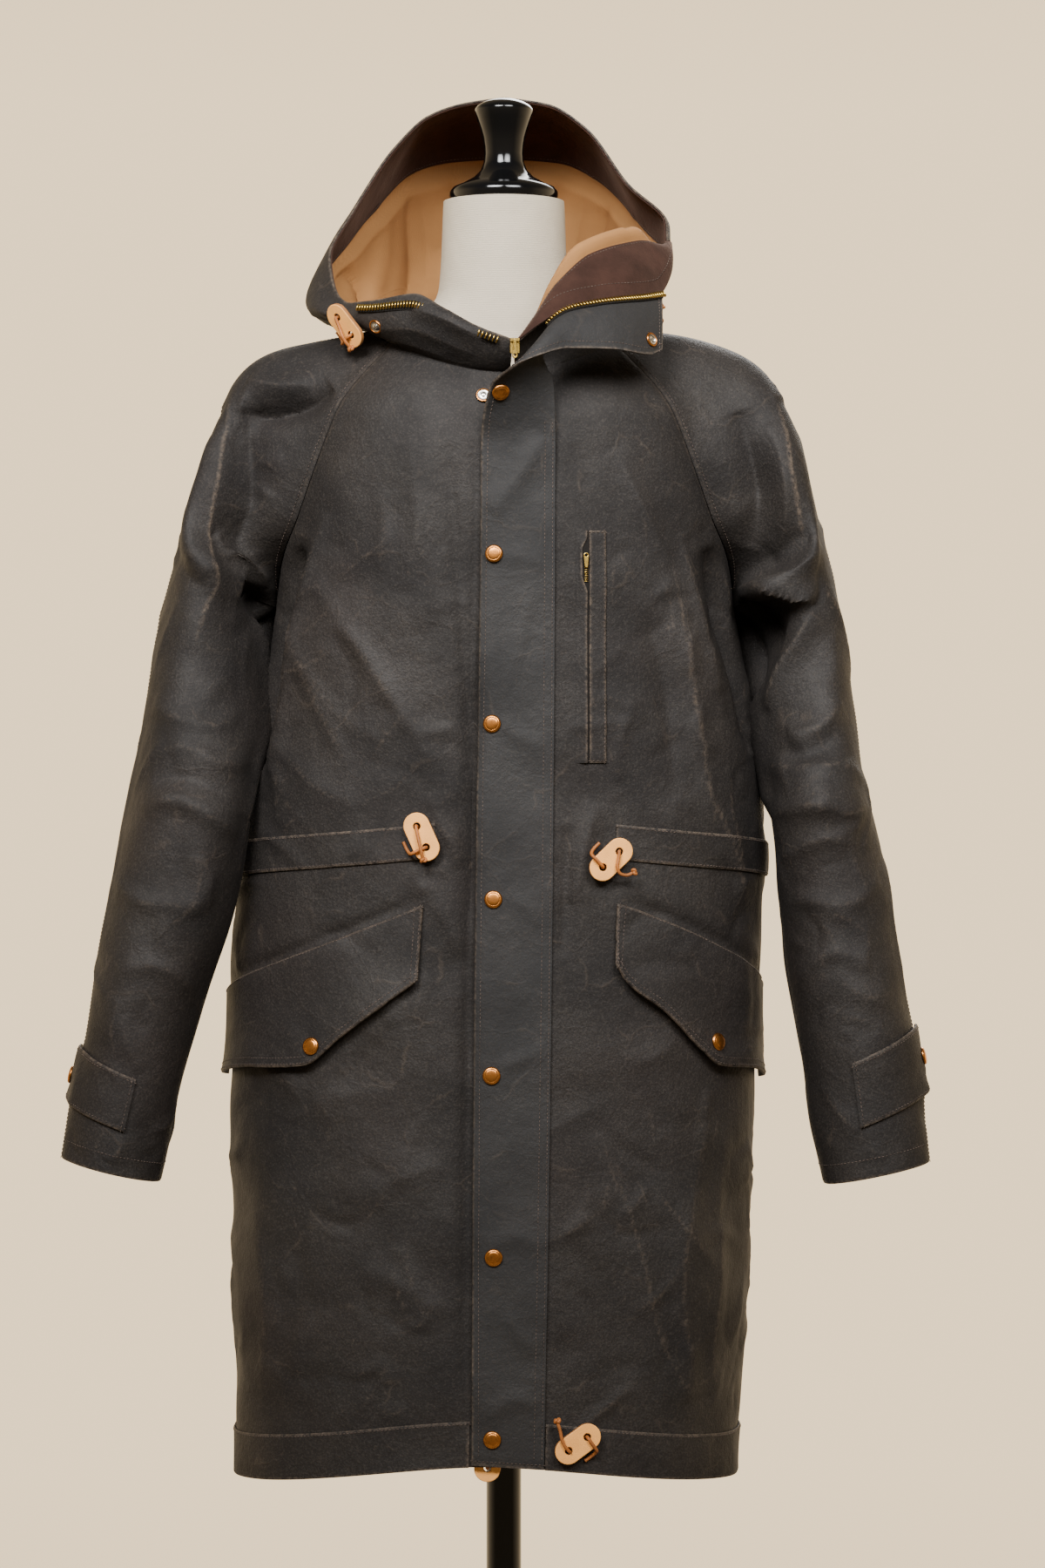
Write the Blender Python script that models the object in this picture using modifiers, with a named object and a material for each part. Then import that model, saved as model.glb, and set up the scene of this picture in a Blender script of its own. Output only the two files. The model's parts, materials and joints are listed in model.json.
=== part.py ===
"""Waxed parka with its collar open, worn by a limbless dress form on a pole and a round base.

Metres, +Z up, the front faces -Y and +X is the wearer's left. The origin is on the floor under the pole.
Cloth is a thin wall: a surface worked out from a table of sizes, and the same surface moved inwards.
"""

import math

import bpy
import numpy as np
from mathutils import Vector

PART_NAME = "waxed_parka"

# Driving dimensions, in metres
CLOTH = 0.0016
FOLDED_CLOTH = 0.0024
FACING = 0.0010
GAP = 0.0003
SQUARENESS = 2.4
ZIP_X = 0.026
ZIP_OPENING = 0.010
ZIP_TAPE = 0.030
FLY_LIFT = 0.0033
CASING_LIFT = 0.0021
FLAP_LIFT = 0.0034
SNAP_RADIUS = 0.0075
SNAP_HEIGHT = 0.0030
TOGGLE_LENGTH = 0.042
TOGGLE_WIDTH = 0.022
TOGGLE_THICKNESS = 0.004
TOGGLE_HOLE = 0.0031
TOGGLE_HOLE_APART = 0.019
CORD_RADIUS = 0.0014
POLE_RADIUS = 0.0150
BASE_RADIUS = 0.190
BASE_HEIGHT = 0.012
TORSO_BOTTOM = 0.800
NECK_TOP = 1.575
CAP_TOP = 1.664
SLIDER = (0.0098, -0.1352, 1.4370)
PULL_HINGE = (0.0098, -0.1423, 1.4410)
SIDES = {"left": 1, "right": -1}


class Table:
    """Rows of named columns, read between rows by a smooth curve that stays in their range."""

    def __init__(self, columns, rows, key=None):
        self.names = columns
        self.values = np.array([row[len(row) - len(columns):] for row in rows], float)
        place = columns.index(key) if key else None
        self.keys = np.arange(len(rows), dtype=float) if key is None else self.values[:, place]
        step = np.diff(self.keys)[:, None]
        rate = np.diff(self.values, axis=0) / step
        self.rates = np.zeros_like(self.values)
        self.rates[0], self.rates[-1] = rate[0], rate[-1]
        before, after = rate[:-1], rate[1:]
        first, second = 2 * step[1:] + step[:-1], step[1:] + 2 * step[:-1]
        same = before * after > 0
        safe_before, safe_after = np.where(same, before, 1.0), np.where(same, after, 1.0)
        mean = (first + second) / (first / safe_before + second / safe_after)
        self.rates[1:-1] = np.where(same, mean, 0.0)

    def read(self, place):
        """Every column at the given places; the columns come first in the answer."""
        place = np.clip(np.asarray(place, float), self.keys[0], self.keys[-1])
        i = np.clip(np.searchsorted(self.keys, place, side="right") - 1, 0, len(self.keys) - 2)
        width = self.keys[i + 1] - self.keys[i]
        t = ((place - self.keys[i]) / width)[..., None]
        width = width[..., None]
        answer = (
            (1 + 2 * t) * (1 - t) ** 2 * self.values[i]
            + t * (1 - t) ** 2 * width * self.rates[i]
            + t * t * (3 - 2 * t) * self.values[i + 1]
            + t * t * (t - 1) * width * self.rates[i + 1]
        )
        return np.moveaxis(answer, -1, 0)


# Rings of the coat's body from the hem up: heights at front, side and back, then reach to each side,
# then the angles from the front at which the raglan seams run.
BODY = Table(
    ("front_z", "side_z", "back_z", "right_x", "left_x", "front_y", "back_y", "front_seam", "back_seam"),
    [
        ("hem", 0.510, 0.486, 0.482, -0.229, 0.199, 0.150, 0.150, 90, 90),
        ("band", 0.548, 0.524, 0.520, -0.229, 0.201, 0.150, 0.150, 90, 90),
        ("thigh", 0.690, 0.681, 0.678, -0.232, 0.211, 0.150, 0.150, 90, 90),
        ("pocket", 0.860, 0.855, 0.853, -0.233, 0.217, 0.148, 0.148, 90, 90),
        ("waist", 1.010, 1.010, 1.010, -0.226, 0.224, 0.143, 0.142, 90, 90),
        ("ribs", 1.115, 1.115, 1.115, -0.211, 0.217, 0.140, 0.140, 90, 90),
        ("underarm", 1.225, 1.225, 1.225, -0.195, 0.198, 0.138, 0.138, 90, 90),
        ("chest", 1.300, 1.300, 1.300, -0.188, 0.190, 0.135, 0.138, 70, 70),
        ("yoke", 1.372, 1.388, 1.392, -0.172, 0.174, 0.127, 0.128, 60, 61),
        ("neckline", 1.418, 1.462, 1.470, -0.108, 0.108, 0.110, 0.082, 56, 56),
    ],
)
NECKLINE = 9
UNDERARM = 6
RAGLAN_LEVELS = np.linspace(UNDERARM, NECKLINE, 11)

# Folds of the body: the two ends by angle from the front and height, the half width and the depth.
BODY_FOLDS = [
    {"ends": ((-54, 1.270), (-72, 1.060)), "half_width": 0.024, "depth": 0.006},
    {"ends": ((56, 1.230), (70, 1.060)), "half_width": 0.024, "depth": 0.005},
    {"ends": ((50, 0.790), (62, 0.560)), "half_width": 0.026, "depth": 0.006},
    {"ends": ((-58, 0.790), (-68, 0.560)), "half_width": 0.026, "depth": 0.005},
    {"ends": ((150, 1.260), (128, 1.060)), "half_width": 0.026, "depth": 0.006},
    {"ends": ((-152, 1.250), (-130, 1.060)), "half_width": 0.026, "depth": 0.007},
    {"ends": ((195, 0.880), (208, 0.560)), "half_width": 0.028, "depth": 0.007},
    {"ends": ((158, 0.900), (142, 0.560)), "half_width": 0.028, "depth": 0.006},
]

# The sleeves' rings from the neck to the cuff. Down to the underarm the two sides share these rows:
# the overarm seam's place, how far the cloth runs forwards and backwards before it turns down,
# and the angle and length with which it leaves the raglan seams.
SLEEVE_COLUMNS = (
    "over_x", "over_y", "over_z", "in_x", "in_y", "in_z",
    "front", "back", "leave_front", "leave_back", "pull",
)
RAGLAN_ROWS = [
    ("neck", 0.112, 0.000, 1.4635, 0, 0, 0, 0.034, 0.034, 146, 146, 0.030),
    ("inner shoulder", 0.162, 0.001, 1.4560, 0, 0, 0, 0.046, 0.046, 142, 142, 0.036),
    ("shoulder", 0.204, 0.002, 1.4420, 0, 0, 0, 0.060, 0.060, 134, 134, 0.044),
    ("shoulder point", 0.232, 0.001, 1.4180, 0, 0, 0, 0.076, 0.076, 118, 118, 0.055),
    ("sleeve head", 0.251, -0.001, 1.3740, 0, 0, 0, 0.090, 0.092, 96, 96, 0.066),
    ("upper sleeve", 0.267, -0.004, 1.3130, 0, 0, 0, 0.102, 0.106, 62, 62, 0.084),
]
SLEEVE_ROWS = {
    "left": [
        ("underarm", 0.2845, -0.010, 1.247, 0.1980, 0.000, 1.225, 0.108, 0.112, 4, 4, 0.108),
        ("bicep", 0.2960, -0.022, 1.150, 0.2118, -0.043, 1.128, 0.106, 0.104, 0, 14, 0.100),
        ("above elbow", 0.3100, -0.036, 1.065, 0.2285, -0.046, 1.043, 0.098, 0.098, 0, 14, 0.096),
        ("elbow", 0.3250, -0.050, 0.998, 0.2330, -0.050, 0.975, 0.088, 0.090, 0, 6, 0.088),
        ("below elbow", 0.3350, -0.060, 0.925, 0.2400, -0.058, 0.902, 0.080, 0.080, 0, 0, 0.080),
        ("forearm", 0.3465, -0.068, 0.856, 0.2540, -0.066, 0.834, 0.072, 0.072, 0, 0, 0.072),
        ("strap", 0.3540, -0.073, 0.798, 0.2620, -0.072, 0.776, 0.066, 0.066, 0, 0, 0.066),
        ("cuff", 0.3590, -0.077, 0.757, 0.2690, -0.076, 0.738, 0.062, 0.062, 0, 0, 0.062),
    ],
    "right": [
        ("underarm", 0.2850, -0.012, 1.247, 0.1950, 0.000, 1.225, 0.108, 0.112, 4, 4, 0.108),
        ("bicep", 0.3040, -0.026, 1.150, 0.2053, -0.046, 1.126, 0.106, 0.104, 0, 14, 0.100),
        ("above elbow", 0.3180, -0.044, 1.068, 0.2145, -0.062, 1.042, 0.098, 0.098, 0, 20, 0.094),
        ("elbow", 0.3330, -0.058, 0.980, 0.2305, -0.064, 0.955, 0.090, 0.088, 0, 10, 0.090),
        ("below elbow", 0.3460, -0.068, 0.902, 0.2540, -0.068, 0.880, 0.082, 0.078, 0, 0, 0.082),
        ("forearm", 0.3570, -0.074, 0.842, 0.2715, -0.074, 0.822, 0.070, 0.070, 0, 0, 0.070),
        ("strap", 0.3680, -0.078, 0.795, 0.2825, -0.078, 0.775, 0.064, 0.064, 0, 0, 0.064),
        ("cuff", 0.3735, -0.081, 0.761, 0.2910, -0.081, 0.741, 0.060, 0.060, 0, 0, 0.060),
    ],
}
SLEEVES = {side: Table(SLEEVE_COLUMNS, RAGLAN_ROWS + rows) for side, rows in SLEEVE_ROWS.items()}
SLEEVE_UNDERARM = len(RAGLAN_ROWS)
SLEEVE_CUFF = SLEEVE_UNDERARM + len(SLEEVE_ROWS["left"]) - 1

# Folds of the sleeves: the ends by place around (0 overarm, 1 front seam, -1 back seam) and along.
SLEEVE_FOLDS = {
    "left": [
        {"ends": ((0.30, 5.90), (0.98, 5.75)), "half_width": 0.024, "depth": 0.010},
        {"ends": ((0.25, 6.70), (0.90, 6.45)), "half_width": 0.022, "depth": -0.007},
        {"ends": ((0.15, 8.20), (0.80, 7.40)), "half_width": 0.022, "depth": 0.006},
        {"ends": ((-0.20, 6.60), (-0.90, 6.10)), "half_width": 0.024, "depth": 0.007},
        {"ends": ((-0.30, 8.90), (-0.90, 8.40)), "half_width": 0.022, "depth": 0.006},
    ],
    "right": [
        {"ends": ((0.30, 3.60), (0.42, 6.60)), "half_width": 0.024, "depth": 0.007},
        {"ends": ((0.55, 5.60), (0.98, 6.30)), "half_width": 0.022, "depth": -0.007},
        {"ends": ((0.40, 7.60), (0.95, 7.00)), "half_width": 0.022, "depth": 0.006},
        {"ends": ((-0.20, 6.70), (-0.90, 6.20)), "half_width": 0.024, "depth": 0.007},
        {"ends": ((-0.30, 9.10), (-0.90, 8.50)), "half_width": 0.022, "depth": 0.006},
    ],
}

# Hood and collar by angle from the back: two guiding points between the neckline and the rim, and the rim.
HOOD_COLUMNS = (
    "angle", "low_x", "low_y", "low_z", "belly_x", "belly_y", "belly_z", "rim_x", "rim_y", "rim_z",
)
HOODS = {
    "left": Table(
        HOOD_COLUMNS,
        [
            ("back", 0, 0.000, 0.200, 1.482, 0.000, 0.270, 1.690, 0.0000, 0.0900, 1.6800),
            ("back quarter", 25, 0.070, 0.185, 1.481, 0.054, 0.260, 1.684, 0.0395, 0.0850, 1.6730),
            ("crown side", 45, 0.110, 0.150, 1.479, 0.088, 0.230, 1.660, 0.0728, 0.0728, 1.6500),
            ("ear", 65, 0.140, 0.085, 1.475, 0.116, 0.165, 1.608, 0.1078, 0.0503, 1.5990),
            ("side", 85, 0.142, 0.020, 1.471, 0.146, 0.060, 1.550, 0.1414, 0.0124, 1.5580),
            ("turn of lapel", 102, 0.125, -0.027, 1.478, 0.137, -0.029, 1.560, 0.1414, -0.0301, 1.5200),
            ("lapel end", 117, 0.0945, -0.048, 1.520, 0.1087, -0.0554, 1.575, 0.1287, -0.0656, 1.4860),
            ("lapel", 142, 0.0600, -0.077, 1.510, 0.0726, -0.0930, 1.558, 0.0820, -0.1050, 1.4770),
            ("lapel roll", 157, 0.0390, -0.092, 1.475, 0.0453, -0.1068, 1.520, 0.0512, -0.1206, 1.4690),
            ("zip turn", 167, 0.0250, -0.104, 1.446, 0.0290, -0.1190, 1.475, 0.0310, -0.1290, 1.4550),
            ("front", 174.5, 0.0110, -0.113, 1.428, 0.0120, -0.1255, 1.440, 0.0127, -0.1318, 1.4395),
        ],
        "angle",
    ),
    "right": Table(
        HOOD_COLUMNS,
        [
            ("back", 0, 0.000, 0.200, 1.482, 0.000, 0.270, 1.690, 0.0000, 0.0900, 1.6800),
            ("back quarter", 24, 0.070, 0.187, 1.481, 0.054, 0.262, 1.686, 0.0382, 0.0859, 1.6740),
            ("crown side", 42, 0.110, 0.155, 1.479, 0.083, 0.235, 1.671, 0.0676, 0.0751, 1.6620),
            ("ear", 57, 0.134, 0.115, 1.476, 0.106, 0.195, 1.634, 0.0973, 0.0632, 1.6310),
            ("upper side", 73, 0.156, 0.060, 1.471, 0.142, 0.120, 1.565, 0.1313, 0.0401, 1.5740),
            ("side", 88, 0.168, 0.012, 1.4715, 0.196, 0.030, 1.482, 0.1507, 0.0053, 1.5320),
            ("front side", 104, 0.150, -0.037, 1.4695, 0.182, -0.044, 1.470, 0.1428, -0.0356, 1.4945),
            ("collar end", 115, 0.125, -0.058, 1.462, 0.148, -0.068, 1.461, 0.1293, -0.0603, 1.4820),
            ("collar", 126, 0.1036, -0.0752, 1.452, 0.1214, -0.0882, 1.455, 0.1107, -0.0804, 1.4815),
            ("collar peak", 144, 0.0700, -0.0963, 1.440, 0.0823, -0.1133, 1.450, 0.0759, -0.1045, 1.4845),
            ("collar slope", 158, 0.0438, -0.1085, 1.432, 0.0510, -0.1260, 1.445, 0.0485, -0.1201, 1.4705),
            ("collar front", 170, 0.0203, -0.1152, 1.425, 0.0231, -0.1310, 1.436, 0.0226, -0.1280, 1.4555),
            ("front", 183, -0.0061, -0.1165, 1.421, -0.0068, -0.1305, 1.430, -0.0068, -0.1310, 1.4430),
        ],
        "angle",
    ),
}

# The fly's edges up the front: where it is sewn and where it is free, then its turned-back top.
FLY_RUN = Table(
    ("z", "sewn_x", "free_x"),
    [
        ("bottom", 0.512, 0.0335, -0.0260),
        ("skirt", 0.700, 0.0370, -0.0255),
        ("waist", 1.000, 0.0410, -0.0230),
        ("chest", 1.200, 0.0425, -0.0200),
        ("roll starts", 1.355, 0.0430, -0.0183),
    ],
    "z",
)
FLY_TOP = Table(
    ("sewn_x", "sewn_y", "sewn_z", "free_x", "free_y", "free_z", "bulge"),
    [
        ("roll begins", 0.0428, -0.1325, 1.3800, -0.0165, -0.1400, 1.3780, 0.002),
        ("roll", 0.0420, -0.1335, 1.4050, -0.0105, -0.1530, 1.4000, 0.004),
        ("roll end on", 0.0330, -0.1390, 1.4300, 0.0090, -0.1690, 1.4150, 0.005),
        ("lapel start", 0.0400, -0.1380, 1.4520, 0.0300, -0.1640, 1.4260, 0.006),
        ("lapel", 0.0560, -0.1290, 1.4670, 0.0540, -0.1530, 1.4330, 0.007),
        ("lapel middle", 0.0850, -0.1130, 1.4755, 0.0890, -0.1400, 1.4335, 0.007),
        ("lapel corner", 0.1180, -0.0840, 1.4830, 0.1180, -0.1190, 1.4310, 0.006),
        ("lapel end", 0.1330, -0.0670, 1.4880, 0.1315, -0.1020, 1.4370, 0.004),
    ],
)

# Pocket flaps by angle from the front: height of the upper and the lower edge.
FLAPS = {
    "left": Table(
        ("turn", "top", "bottom"),
        [(35.5, 0.975, 0.925), (39, 0.972, 0.908), (48, 0.961, 0.885), (57, 0.948, 0.853), (62, 0.940, 0.839),
         (75, 0.921, 0.834), (90, 0.900, 0.824), (97, 0.892, 0.821)],
        "turn",
    ),
    "right": Table(
        ("turn", "top", "bottom"),
        [(24, 0.974, 0.912), (34, 0.962, 0.888), (44, 0.949, 0.862), (52, 0.938, 0.840), (70, 0.916, 0.836),
         (82, 0.903, 0.830), (90, 0.896, 0.826), (97, 0.890, 0.823)],
        "turn",
    ),
}

# Waist casings: the angle at which each front one starts, and heights there, at the side and at the back.
CASING_HEIGHT = 0.029
CASINGS = {
    "left": Table(("turn", "z"), [(35, 1.026), (60, 1.018), (90, 1.009)], "turn"),
    "right": Table(("turn", "z"), [(22, 1.027), (50, 1.019), (90, 1.009)], "turn"),
}

# Where the hem bands start beside the fly.
HEM_START = {"left": 0.0350, "right": -0.0280}

# The chest pocket on the left front: zip strip and welt beside it.
CHEST_X = (0.0656, 0.0712, 0.0855)
CHEST_Z = (1.0915, 1.2845)

# Cuff straps from the sewn end to the tip: place around the sleeve, places along it and lift.
STRAP = Table(
    ("around", "upper", "lower", "lift"),
    [(0.57, 11.02, 11.94, 0.0029), (0.40, 10.94, 11.86, 0.0029), (0.12, 10.82, 11.74, 0.0032),
     (-0.04, 10.78, 11.68, 0.0050), (-0.14, 10.92, 11.52, 0.0080)],
)

# Snap caps: heights of those on the fly and the x of their row, then angle from the front and height.
FLY_SNAPS = [0.5326, 0.685, 0.832, 0.979, 1.122, 1.2634]
FLY_SNAP_X = -0.0090
FLAP_SNAPS = {"left": (62.0, 0.8575), "right": (50.5, 0.8570)}

# Toggles: middle, the way its face looks, the way its long side points, then its cord's free end in its own
# frame, in millimetres: along it, across it and off its face.
TOGGLES = {
    "waist_right": {
        "x": -0.0663, "z": 1.0300, "long": (0.42, 0, -0.91),
        "free": [
            (0, -2.4, 5.4), (6, -3.4, 7.2), (12, -4.6, 7.2), (16, -5.6, 6.2), (19, -6.4, 5.8), (22, -7, 5.6),
        ],
    },
    "waist_left": {
        "x": 0.0878, "z": 1.0114, "long": (-0.73, 0, -0.68),
        "free": [
            (-5, 3, 4.6), (1, 7.5, 5), (3, 13, 4.2), (0, 18, 3),
            (-4, 20, 2.6), (-8, 20.5, 2.6), (-11, 19, 2.6),
        ],
    },
    "hem_left": {
        "x": 0.0604, "z": 0.5300, "long": (0.82, 0, 0.57),
        "free": [(-10, 4, 4.4), (-9, 11, 4.2), (-6, 18, 3.6), (-4, 24, 3.2), (-3, 27, 3.2), (-2, 30, 3.2)],
    },
}
HOOD_TOGGLES = {
    "hood_right": {
        "middle": (-0.1335, -0.0698, 1.4610), "face": (-0.60, -0.70, -0.38), "long": (0.60, -0.10, -0.80),
    },
    "hood_left": {
        "middle": (0.1175, -0.0690, 1.4650), "face": (0.25, -0.95, -0.15), "long": (0.50, 0.05, 0.86),
    },
}
TOGGLE_LIFT = 0.0075
# A cord's way through a toggle, in millimetres in the toggle's frame: in from the cloth, round an edge,
# down the first hole, up the second.
TOGGLE_ROUTE = [
    (-3, -16, -3.6), (3, -16, -3.4), (7, -15.4, -1.6), (9, -14.4, 1.0), (9.5, -12.6, 3.4), (9.5, -9, 4.4),
    (9.5, -4.5, 4.2), (9.5, -1.5, 3.7), (9.5, -0.1, 1.8), (9.5, 0, -1.2), (9.2, 0.2, -3.2),
    (6.5, 0.5, -3.9), (0, 0.6, -4.0), (-6.5, 0.5, -3.9), (-9.2, 0.2, -3.2), (-9.5, 0, -1.2),
    (-9.5, -0.1, 1.8), (-9.3, -0.5, 3.6),
]

# Rings of the dress form's torso.
FORM_COLUMNS = ("z", "half_width", "front", "back", "squareness")
FORM = Table(
    FORM_COLUMNS,
    [
        ("bottom", TORSO_BOTTOM, 0.150, 0.104, 0.106, 2.2),
        ("hip", 0.900, 0.162, 0.114, 0.118, 2.2),
        ("waist", 1.040, 0.136, 0.100, 0.098, 2.2),
        ("ribs", 1.160, 0.150, 0.112, 0.108, 2.2),
        ("chest", 1.270, 0.164, 0.118, 0.114, 2.2),
        ("upper chest", 1.350, 0.168, 0.100, 0.106, 2.1),
        ("shoulder", 1.410, 0.182, 0.070, 0.082, 1.8),
        ("shoulder top", 1.4442, 0.176, 0.058, 0.066, 1.5),
        ("shoulder ridge", 1.4560, 0.150, 0.055, 0.060, 1.5),
        ("neck base", 1.4680, 0.084, 0.054, 0.057, 1.8),
        ("neck", 1.500, 0.056, 0.052, 0.055, 2.0),
        ("neck top", NECK_TOP, 0.052, 0.050, 0.053, 2.0),
    ],
    "z",
)


def points(x, y, z):
    return np.stack(np.broadcast_arrays(x, y, z), axis=-1)


def unit(vectors):
    return vectors / np.linalg.norm(vectors, axis=-1, keepdims=True)


def fold_height(across, along, folds, across_size, along_size):
    """How far a surface is moved out at a place by its folds."""
    total = np.zeros(np.broadcast(across, along).shape)
    for fold in folds:
        (a0, b0), (a1, b1) = fold["ends"]
        run = np.array([(a1 - a0) * across_size, (b1 - b0) * along_size])
        da, db = (across - a0) * across_size, (along - b0) * along_size
        share = np.clip((da * run[0] + db * run[1]) / (run @ run), 0, 1)
        away = np.hypot(da - share * run[0], db - share * run[1])
        total += fold["depth"] * np.exp(-((away / fold["half_width"]) ** 2)) * np.sin(np.pi * share) ** 0.7
    return total


def body(turn, level):
    """The coat's outside at an angle from the front and a ring's place in the table."""
    front_z, side_z, back_z, right_x, left_x, front_y, back_y, _, _ = BODY.read(level)
    sine, cosine = np.sin(np.radians(turn)), np.cos(np.radians(turn))
    ahead = cosine >= 0
    depth, end_z = np.where(ahead, front_y, back_y), np.where(ahead, front_z, back_z)
    half = (left_x - right_x) / 2
    n = SQUARENESS
    reach = ((np.abs(sine) / half) ** n + (np.abs(cosine) / depth) ** n) ** (-1 / n)
    z = side_z + (end_z - side_z) * cosine**2
    reach = reach + fold_height(turn, z, BODY_FOLDS, math.radians(0.18), 1.0)
    return points((left_x + right_x) / 2 + reach * sine, -reach * cosine, z)


def level_at(turn, z):
    """The place in the body's table at which the surface is at a height."""
    shape = np.broadcast(turn, z).shape
    low, high = np.zeros(shape), np.full(shape, float(NECKLINE))
    for _ in range(30):
        middle = (low + high) / 2
        under = body(turn, middle)[..., 2] < z
        low, high = np.where(under, middle, low), np.where(under, high, middle)
    return (low + high) / 2


def body_at(turn, z):
    return body(turn, level_at(turn, z))


def front_turn(x, z):
    """The angle from the front at which the body's front is at a given x."""
    turn = np.degrees(np.arctan2(x, 0.14)) + 0 * z
    for _ in range(8):
        _, _, _, right_x, left_x, front_y, _, _, _ = BODY.read(level_at(turn, z))
        side = x - (left_x + right_x) / 2
        share = np.clip(np.abs(side) / ((left_x - right_x) / 2), 0, 0.999)
        turn = np.degrees(np.arctan2(side, front_y * (1 - share**SQUARENESS) ** (1 / SQUARENESS)))
    return turn


def front(x, z):
    """The body's outside at a given x and height on the front."""
    return body_at(front_turn(x, z), z)


def raglan_turn(level, ahead):
    """The angle from the front of the front or back raglan seam, at the side below the underarm."""
    columns = BODY.read(level)
    return columns[7] if ahead else 180 - columns[8]


def sleeve(side):
    """A surface: place around (0 overarm, 1 front seam, -1 back seam) and place along in the table."""
    sign = SIDES[side]
    under = SLEEVES[side].values[SLEEVE_UNDERARM, 3:6]

    def surface(around, along):
        columns = SLEEVES[side].read(along)
        over_x, over_y, over_z, in_x, in_y, in_z, run_front, run_back, leave_front, leave_back, pull = columns
        ahead = around >= 0
        level = NECKLINE - (NECKLINE - UNDERARM) * np.minimum(along / SLEEVE_UNDERARM, 1)
        turn = np.where(ahead, raglan_turn(level, True), raglan_turn(level, False))
        gap = np.degrees(1.2 * GAP / 0.15) * np.where(ahead, 1, -1) * np.where(along < SLEEVE_UNDERARM, 1, -1)
        inner = body(sign * (turn + gap), level)
        drop = points(sign * (in_x - under[0]), in_y - under[1], in_z - under[2])
        inner = inner + drop * (along >= SLEEVE_UNDERARM)[..., None]
        outer = points(sign * over_x, over_y, over_z)
        toward = np.where(ahead, -1.0, 1.0)
        raglan = np.clip(1 - along / SLEEVE_UNDERARM, 0, 1)
        rise = (over_z - inner[..., 2]) * 0.35 * raglan**0.5
        first = outer + points(0, toward * np.where(ahead, run_front, run_back), 0 * over_z)
        leave = np.radians(np.where(ahead, leave_front, leave_back))
        second = inner + points(sign * pull * np.sin(leave), toward * pull * np.cos(leave), rise)
        t = np.abs(around)[..., None]
        spot = (
            (1 - t) ** 3 * outer + 3 * t * (1 - t) ** 2 * first + 3 * t * t * (1 - t) * second + t**3 * inner
        )
        near_seam = np.clip(4 * (1 - np.abs(around)), 0, 1)
        out = fold_height(around, along, SLEEVE_FOLDS[side], 0.14, 0.075) * near_seam**2 * (3 - 2 * near_seam)
        away = spot - (outer + inner) / 2
        return spot + unit(away) * out[..., None]

    return surface


def hood(side):
    """A surface: angle from the back and share of the way from the neckline to the rim."""
    sign = SIDES[side]

    def surface(angle, rise):
        columns = HOODS[side].read(angle)
        low, belly, rim = (points(sign * columns[i], columns[i + 1], columns[i + 2]) for i in (1, 4, 7))
        base = body(sign * (180 - angle), np.full(np.shape(angle), float(NECKLINE))) + points(0, 0, 3 * GAP)
        t = rise[..., None]
        return (1 - t) ** 3 * base + 3 * t * (1 - t) ** 2 * low + 3 * t * t * (1 - t) * belly + t**3 * rim

    return surface


def whole_hood(angle, rise):
    """Both halves of the hood as one surface; the wearer's right has negative angles."""
    angle, rise = np.broadcast_arrays(angle, rise)
    left, right = hood("left")(np.abs(angle), rise), hood("right")(np.abs(angle), rise)
    return np.where((angle >= 0)[..., None], left, right)


def fly_grid(rows_below, rows_above, across):
    """Points of the fly's outside from its bottom to the end of the lapel; columns go from sewn to free."""
    rows = []
    for z in np.linspace(FLY_RUN.keys[0], FLY_RUN.keys[-1], rows_below):
        _, sewn, free = FLY_RUN.read(z)
        slant = 0.004 * (1 - across) * (z < 0.52)
        rows.append(moved_out(front, sewn + (free - sewn) * across, z - slant, FLY_LIFT))
    for place in np.linspace(0, len(FLY_TOP.keys) - 1, rows_above):
        top = FLY_TOP.read(place)
        line = top[:3] + (top[3:6] - top[:3]) * across[:, None]
        rows.append(line + np.array([0, -0.7, 0.7]) * (top[6] * 4 * across * (1 - across))[:, None])
    return np.array(rows)


def moved_out(surface, u, v, lift):
    """Points of a surface moved out by a lift."""
    u, v = np.broadcast_arrays(np.asarray(u, float), np.asarray(v, float))
    spot, normal = with_normal(surface, u, v, 1, (0.0005, 0.0005))
    return spot + normal * lift


def with_normal(surface, u, v, outward, steps):
    """Points of a surface and its outward direction there."""
    across = surface(u + steps[0], v) - surface(u - steps[0], v)
    along = surface(u, v + steps[1]) - surface(u, v - steps[1])
    return surface(u, v), outward * unit(np.cross(across, along))


def material(name, colour, roughness, metallic=0.0):
    made = bpy.data.materials.new(name)
    made.use_nodes = True
    shader = made.node_tree.nodes["Principled BSDF"]
    shader.inputs["Base Color"].default_value = (*colour, 1)
    shader.inputs["Roughness"].default_value = roughness
    shader.inputs["Metallic"].default_value = metallic
    made.diffuse_color = (*colour, 1)
    return made


def add(name, data, look):
    made = bpy.data.objects.new(name, data)
    bpy.data.collections[PART_NAME].objects.link(made)
    made.data.materials.append(look)
    return made


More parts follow.
